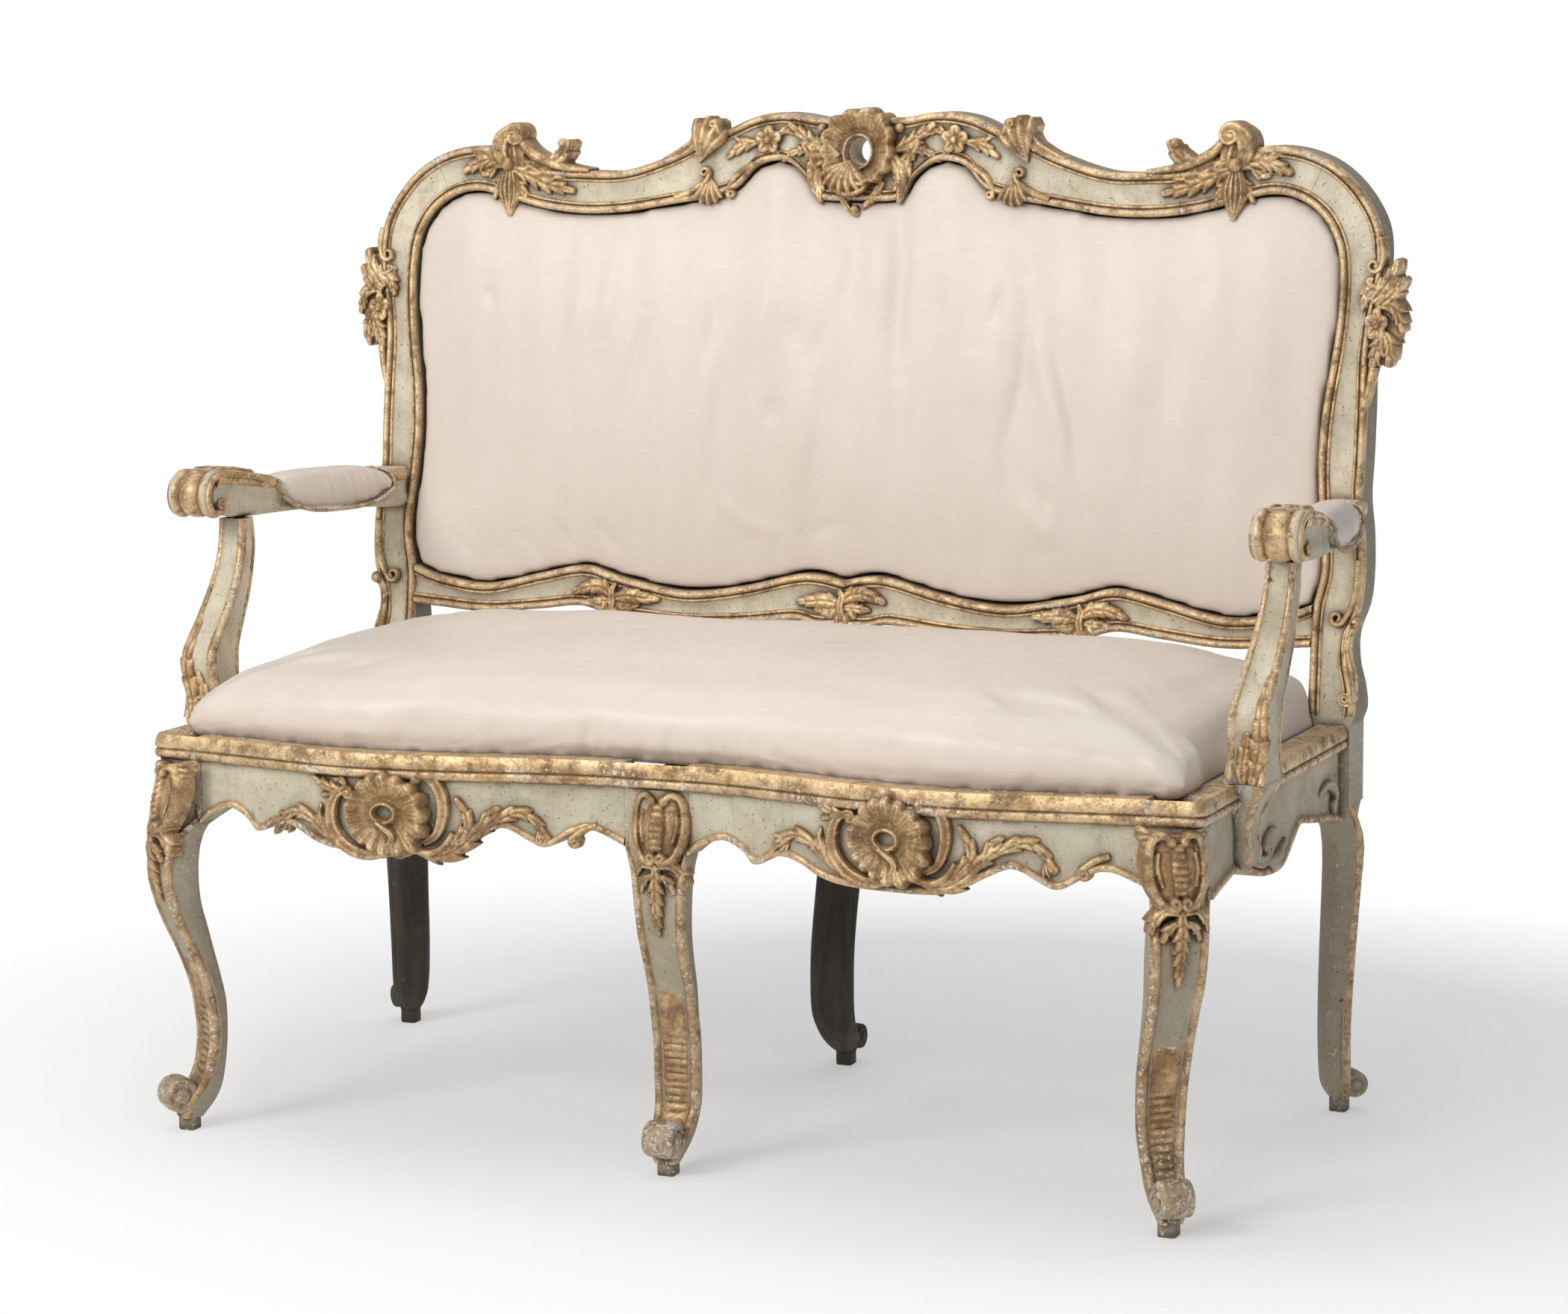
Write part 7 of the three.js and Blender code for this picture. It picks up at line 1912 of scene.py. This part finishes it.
def seat_creases(piece):
    """Creases and puckers up the front of the seat's cover and slack waves over its top."""
    points = coordinates(piece)
    x, y, z = points.T
    up = z - CUSHION_FOOT
    front = smooth(60, 10, y - face_y(x))
    pull = np.zeros(len(points))
    for at, deep, wide, high, lean in SEAT_CREASES:
        fade = smooth(-4, 6, up) * (1 - smooth(0.5 * high, high, up))
        pull -= deep * fade * np.exp(-((x - at - lean * up / 40) / wide) ** 2)
    low = smooth(-2, 5, up) * (1 - smooth(5, PUCKER_HEIGHT, up))
    for rate, start, deep in BASE_PUCKERS:
        pull += deep * low * np.sin(rate * x + start + 0.8 * np.sin(0.031 * x))
    points[:, 1] -= pull * front
    top = smooth(45, 60, up)
    for along, across, start, high in SEAT_WAVES:
        points[:, 2] += high * top * np.sin(along * x + across * y + start)
    move_to(piece, points)


def seat_cushion(material):
    piece = grid_piece("seat_cushion_cover", seat_cushion_points(), angle=180)
    let_swell(piece, lambda points: 1 - smooth(*CUSHION_HELD_BELOW, points[:, 2]), 7)
    seat_creases(piece)
    finish_piece(piece, material, "silk", "seat_cushion")


BACK_PAD_SINK, BACK_PAD_CROWN, BACK_PAD_EDGE = 6, 21, 8.7
BACK_OPENING_END = 23
BACK_CROWN = [
    (1, -1.38), (1, -0.6), (1, -0.1), (1, 0), (0.985, 0), (0.93, 0), (0.76, 0), (0.4, 0),
    (0.02, 0),
]
FOLD_DEPTH = 1.25
SLACK_FOLDS = [
    (0.047, 0.006, 0.4, 0.6), (0.083, -0.011, 2.0, 0.5), (0.029, 0.004, 5.1, 0.6),
    (0.121, 0.009, 3.3, 0.3),
]
BACK_SOFTNESS = [(0.55, 14), (0.45, 90)]
# The folds of the back's silk that the photograph shows: height, width and course.
BACK_FOLDS = [
    (-3.4, 14, [(51, 995), (59, 928), (57, 860), (61, 810)]), (1.6, 18, [(30, 978), (32, 877)]),
    (-2, 8, [(183, 908), (173, 862)]),
    (-2.4, 10, [(206, 921), (217, 871), (213, 805), (198, 746), (197, 654)]),
    (2.8, 12, [(222, 863), (243, 797), (268, 731), (275, 682)]),
    (-2, 9, [(249, 864), (260, 814), (278, 748), (276, 690)]),
    (2.4, 10, [(213, 676), (232, 647), (264, 624)]), (-2, 8, [(236, 693), (254, 660)]),
    (-2.5, 10, [(-258, 876), (-270, 811), (-286, 733)]),
    (2.4, 14, [(-303, 949), (-309, 880), (-314, 836)]), (1.5, 10, [(-344, 892), (-357, 844)]),
    (2, 14, [(-168, 848), (-179, 762), (-183, 710), (-189, 675)]),
    (-1.6, 10, [(-183, 916), (-171, 873), (-176, 813)]),
    (1.6, 12, [(-100, 909), (-112, 866), (-115, 815)]),
    (2, 14, [(-52, 807), (-48, 739), (-62, 688)]), (-1.5, 10, [(-88, 781), (-96, 747)]),
    (-1.2, 9, [(-72, 875), (-64, 833)]), (-1.8, 14, [(374, 907), (389, 850), (390, 776)]),
    (1.4, 24, [(341, 857), (354, 775)]), (-1, 12, [(304, 914), (315, 856)]),
    (-1, 10, [(416, 932), (416, 891)]), (1.6, 20, [(156, 845), (164, 770)]),
    (-1.2, 14, [(107, 928), (101, 853)]), (1.2, 10, [(-14, 952), (-20, 901)]),
    (-1, 8, [(-30, 867), (-45, 820)]), (-1.4, 8, [(-468, 904), (-462, 878)]),
    (-1.6, 7, [(-500, 608), (-474, 578)]), (-1.6, 7, [(-458, 614), (-434, 579)]),
    (-1.8, 7, [(-419, 622), (-389, 585)]), (-1.8, 7, [(-369, 627), (-340, 590)]),
    (-1.8, 7, [(-318, 629), (-284, 594)]), (1.4, 9, [(-160, 663), (-121, 635), (-68, 619)]),
    (-1.4, 8, [(-36, 627), (-8, 637)]), (-1.4, 9, [(155, 661), (185, 604)]),
    (-1.2, 9, [(110, 651), (131, 602)]), (-1.2, 9, [(297, 674), (321, 626)]),
    (-1.2, 9, [(402, 678), (429, 638)]),
]
BACK_PAD_ROWS, BACK_PAD_INSET, CLOTH_LAP = 110, 0.6, 12
BACK_MIDDLE = np.array([0, mix(SEAT_TOP, CREST_TOP, 0.5)])


def opening_outline(inset, samples=460):
    over = back_edges(np.linspace(0, BACK_OPENING_END, samples // 3))[1]
    under = back_curve(LOWER_TOP, np.linspace(1, 0, samples // 6), POST_INNER_X)
    half = np.concatenate([over, under])
    away = half - BACK_MIDDLE
    reach = np.linalg.norm(away, axis=1)[:, None]
    eased = BACK_MIDDLE + away * (reach - inset) / reach
    left = eased[1:-1][::-1] * np.array([-1, 1])
    return np.concatenate([eased, left])


def back_pad(material):
    outline = opening_outline(BACK_PAD_INSET)
    rows = read_curve(BACK_CROWN, np.linspace(0, 1, BACK_PAD_ROWS))
    edge = outline[::3]
    points = []
    for size, sunk in rows:
        plan = BACK_MIDDLE + (outline - BACK_MIDDLE) * min(size, 1)
        inside = np.linalg.norm(plan[:, None] - edge[None], axis=2).min(axis=1) * (size < 1)
        rise = sum(share * (1 - np.exp(-inside / soft)) for share, soft in BACK_SOFTNESS)
        depth = rise * BACK_PAD_CROWN - BACK_PAD_SINK + min(sunk, 0) * BACK_PAD_EDGE
        points.append(on_back(plan[:, 0], plan[:, 1], depth))
    piece = grid_piece("back_pad_cover", np.array(points), angle=180)

    def proud_of_back(points):
        return back_y(points[:, 2]) - points[:, 1]

    let_swell(piece, lambda points: 1 - smooth(-5, 7, proud_of_back(points)), 6)
    points = coordinates(piece)
    for along, up, start, high in SLACK_FOLDS:
        bend = 0.7 * np.sin(0.011 * points[:, 2] + start)
        wave = np.sin(along * points[:, 0] + up * points[:, 2] + start + bend)
        points[:, 1] -= high * wave * smooth(-4, 10, proud_of_back(points))
    folds = fold_field(points[:, [0, 2]], BACK_FOLDS) * FOLD_DEPTH
    points[:, 1] -= folds * smooth(-5, 2, proud_of_back(points))
    move_to(piece, points)
    finish_piece(piece, material, "silk", "back_pad")


PAD_RISE, PAD_SIDE, PAD_WRAP = 26, 26, 3
PAD_REAR, PAD_FRONT = 0.085, 0.68
PAD_BED = (0.42, 0.52)
ARM_PAD_RING = [
    (1.02, -1.0), (1.04, -0.6), (1.04, -0.2), (1, 0.3), (0.92, 0.62), (0.76, 0.84), (0.5, 0.96),
    (0.25, 1), (0, 1),
]


def pad_stations(shares):
    """The arm pad along its length: centre, half width, bed, height over it and side drop."""
    rows = arm_rows(mix(PAD_REAR, PAD_FRONT, shares))
    bed = ARM_UNDERSIDE + mix(*PAD_BED, shares) * ARM_DEEP
    swell = np.sqrt(1 - np.abs(2 * shares - 1) ** 4)
    drop = PAD_SIDE * (1 - np.abs(2 * shares - 1) ** 3) ** 0.8
    return rows["x"], rows["y"], rows["half"] + PAD_WRAP, bed, PAD_RISE * mix(0.25, 1, swell), drop


PAD_PUCKERS = [(0.42, 0.3, 0.9), (0.27, 1.9, 0.8), (0.71, 4.0, 0.5)]
PAD_HELD_BELOW = (ARM_UNDERSIDE + 34, ARM_UNDERSIDE + 52)


def arm_pads(material, braid):
    x, y, half, bed, rise, drop = pad_stations(np.linspace(0, 1, 60))
    ring = ARM_PAD_RING + [(-a, up) for a, up in ARM_PAD_RING[-2::-1]]
    columns = []
    for across, up in ring:
        z = bed + up * (rise if up > 0 else drop)
        columns.append(np.stack([x + across * half, y, z], axis=-1))
    points, rope = np.stack(columns, axis=1), pad_braid()

    def held_low(points):
        return 1 - smooth(*PAD_HELD_BELOW, points[:, 2])

    for side, placed in (("right", points), ("left", mirrored(points))):
        piece = grid_piece(f"arm_pad_{side}_cover", placed, angle=180)
        let_swell(piece, held_low, 5)
        places = coordinates(piece)
        pull = sum(deep * np.sin(rate * places[:, 1] + start) for rate, start, deep in PAD_PUCKERS)
        middle = float(np.mean(places[:, 0]))
        outward = np.sign(places[:, 0] - middle) * smooth(12, 26, np.abs(places[:, 0] - middle))
        places[:, 0] += 0.6 * pull * outward
        move_to(piece, places)
        finish_piece(piece, material, "silk", f"arm_pad_{side}")
        rope = rope if side == "right" else mirrored(rope)
        finish_piece(grid_piece(f"pad_braid_{side}", rope, angle=180), braid, "gilding")


BRAID_RADIUS, BRAID_SIDES, BRAID_TWIST, BRAID_STEP = 2.8, 10, 3.4, 0.9
BRAID_SPAN = (0.03, 0.97)


def pad_braid():
    """A twisted gimp round the lower edge of an arm's pad and over both its ends."""
    x, y, half, bed, rise, drop = pad_stations(np.linspace(*BRAID_SPAN, 80))
    edge = ARM_PAD_RING[0][0] * half + BRAID_RADIUS * 0.4
    outer = np.stack([x + edge, y, bed - drop], axis=-1)
    inner = np.stack([x - edge, y, bed - drop], axis=-1)[::-1]
    turn = np.linspace(0, np.pi, 30)[1:-1]

    def over_end(k):
        return np.stack([x[k] + edge[k] * np.cos(turn), 0 * turn + y[k], bed[k] - drop[k]
                         + (rise[k] + drop[k]) * np.sin(turn) ** 0.5], axis=-1)

    path = np.concatenate([outer, over_end(-1), inner, over_end(0)[::-1]])
    path = np.concatenate([path, path[:1]])
    lengths = lengths_along(path)
    count = int(lengths[-1] / BRAID_STEP)
    at = np.linspace(0, lengths[-1], count + 1)
    path = read_line(path, lengths, at)
    ahead = np.roll(path[:-1], -1, axis=0) - np.roll(path[:-1], 1, axis=0)
    ahead = np.concatenate([ahead, ahead[:1]])
    ahead /= np.linalg.norm(ahead, axis=1)[:, None]
    away = path - np.array([float(x.mean()), float(y.mean()), float(bed.mean())])
    away -= ahead * (away * ahead).sum(axis=1)[:, None]
    away /= np.linalg.norm(away, axis=1)[:, None]
    aside = np.cross(ahead, away)
    angles = np.linspace(0, 2 * np.pi, BRAID_SIDES, endpoint=False)
    turns = round(lengths[-1] / BRAID_TWIST / 2) * 2 * np.pi * at / lengths[-1]
    wave = 0.78 + 0.22 * np.cos(2 * angles[None, :] - turns[:, None])
    outward = np.cos(angles)[None, :, None] * away[:, None]
    sideways = np.sin(angles)[None, :, None] * aside[:, None]
    return path[:, None] + BRAID_RADIUS * wave[..., None] * (outward + sideways)


# From the middle of the cloth's inner face over its edge to the middle of its outer face: share
# of the opening and distance off the frame's back.
OUTSIDE_LAYERS = [
    (0, 0.3), (0.5, 0.3), (0.98, 0.3), (1, 0.5), (1, 1.4), (0.98, 1.8), (0.5, 1.8), (0, 1.8),
]


def outside_back_cloth(material):
    outline = opening_outline(-CLOTH_LAP, 300)
    rows = []
    for size, off in OUTSIDE_LAYERS:
        plan = BACK_MIDDLE + (outline - BACK_MIDDLE) * size
        rows.append(on_back(plan[:, 0], plan[:, 1], -back_depth(plan[:, 1]) - off))
    piece = grid_piece("outside_back_cover", np.array(rows), angle=60)
    finish_piece(piece, material, "silk", "outside_back_cloth")


# The studio: camera, floor and lamps.

CAMERA_AT = (1806.1, -4064.1, 1155.2)
# Its azimuth, elevation and roll in degrees.
CAMERA_ANGLES = (23.58, 8.174, -0.483)
FOCAL_SHARE = 5496.39 / 2100
SENSOR = 36


def camera():
    azimuth, elevation, roll = [math.radians(angle) for angle in CAMERA_ANGLES]
    back = Vector((
        math.sin(azimuth) * math.cos(elevation), -math.cos(azimuth) * math.cos(elevation),
        math.sin(elevation),
    ))
    right = (-back).cross(Vector((0, 0, 1))).normalized()
    up = right.cross(-back)
    level_right = right * math.cos(roll) + up * math.sin(roll)
    level_up = up * math.cos(roll) - right * math.sin(roll)
    bpy.ops.object.select_all(action="DESELECT")
    bpy.ops.object.camera_add(location=in_metres(np.array(CAMERA_AT)))
    made = bpy.context.object
    made.name = "photographers_camera"
    made.rotation_mode = "QUATERNION"
    made.rotation_quaternion = Matrix((level_right, level_up, back)).transposed().to_quaternion()
    made.data.sensor_width = SENSOR
    made.data.lens = FOCAL_SHARE * SENSOR
    made.data.clip_start, made.data.clip_end = 0.1, 100
    bpy.context.scene.camera = made


LAMP_AIM = (0, 0, 0.55)
WARM, WHITE = (1, 0.985, 0.96), (1, 1, 1)
# The lamps: place, width and length, power and colour.
LAMPS = [
    ("window_left", (-1.9, -3.7, 2.9), (1.8, 1.4), 86, WARM),
    ("front_bank", (0.2, -4.3, 2.5), (1.6, 1.2), 40, WARM),
    ("reflector_right", (3.2, -2.6, 1.8), (2, 2), 7, WHITE),
    ("ceiling_bank", (-0.3, 0.1, 3.4), (3.2, 2.4), 38, WHITE),
]


def soft_lamp(name, at, size, power, colour):
    bpy.ops.object.light_add(type="AREA", location=at)
    lamp = bpy.context.object
    lamp.name = name
    lamp.rotation_mode = "QUATERNION"
    lamp.rotation_quaternion = (Vector(LAMP_AIM) - Vector(at)).to_track_quat("-Z", "Y")
    lamp.data.shape = "RECTANGLE"
    lamp.data.size, lamp.data.size_y = size
    lamp.data.energy = power
    lamp.data.color = colour


FLOOR_GLOW, FLOOR_FADE = 0.36, (0.45, 1.15)


def studio():
    bpy.ops.mesh.primitive_plane_add(size=60, location=(0, 0, 0))
    floor = bpy.context.object
    floor.name = "studio_floor"
    m = Mixer("studio_floor")
    tree = m.tree
    path = add_node(tree, "LightPath")
    seen = m.most(path.outputs["Is Camera Ray"],
                 m.most(path.outputs["Is Glossy Ray"], path.outputs["Is Transmission Ray"]))
    around = add_node(
        tree, "Mapping", vector=m.place, location=(-0.12, -0.27, 0), scale=(0.8, 1, 1)
    ).outputs[0]
    length = add_node(tree, "VectorMath", {"operation": "LENGTH"}, **{"0": around})
    distance = length.outputs["Value"]
    far = m.span(distance, *FLOOR_FADE)
    paper = add_node(tree, "BsdfDiffuse", color=(0.93, 0.93, 0.93, 1))
    white = add_node(tree, "Emission", color=(1, 1, 1, 1), strength=1.0)
    share = m.times(m.most(far, FLOOR_GLOW), seen)
    mixed = add_node(tree, "MixShader",
                     **{"0": share, "1": paper.outputs[0], "2": white.outputs[0]})
    add_node(tree, "OutputMaterial", surface=mixed.outputs[0])
    floor.data.materials.append(m.material)

    world = bpy.data.worlds.new("studio_air")
    bpy.context.scene.world = world
    world.use_nodes = True
    tree = world.node_tree
    tree.nodes.clear()
    path = add_node(tree, "LightPath").outputs
    seen = {"0": path["Is Camera Ray"], "1": path["Is Transmission Ray"]}
    either = add_node(tree, "Math", {"operation": "MAXIMUM"}, **seen)
    dim = add_node(tree, "Background", color=(0.95, 0.97, 1, 1), strength=0.33)
    plain = add_node(tree, "Background", color=(1, 1, 1, 1), strength=1.0)
    lights = {"0": either.outputs[0], "1": dim.outputs[0], "2": plain.outputs[0]}
    mixed = add_node(tree, "MixShader", **lights)
    add_node(tree, "OutputWorld", surface=mixed.outputs[0])

    for lamp in LAMPS:
        soft_lamp(*lamp)
    bpy.context.scene.view_settings.view_transform = "Standard"


# The settee, piece by piece.

camera()
studio()
frame_finish = painted_and_gilt()
carving_finish = painted_and_gilt("carved_gilt", always_gilt=True)
wood_finish = aged_wood()
silk_finish = silk()
braid_finish = gimp()
linen_finish = coarse_linen()

for make in (
    crest_rail, back_posts, lower_back_rail, front_aprons, side_aprons, support_brackets,
):
    make(frame_finish)
legs(frame_finish, grimy_and_shaded_wood())
for make in (arms, arm_rolls, arm_supports):
    make(frame_finish)
for make in (back_carvings, apron_carvings, leg_carvings):
    make(carving_finish)
side_rail_carvings(frame_finish)
arm_carvings(carving_finish)
seat_cushion(silk_finish)
back_pad(silk_finish)
arm_pads(silk_finish, braid_finish)
outside_back_cloth(silk_finish)

CAD_FINISHES = {"bare_wood": wood_finish, "linen": linen_finish, "gilding": frame_finish}
for subpart in frame["record"]["subparts"]:
    node = frame["nodes"][subpart["node"]]
    if not node.hide_render and subpart["material_slot"] in CAD_FINISHES:
        cover_with(node, CAD_FINISHES[subpart["material_slot"]])
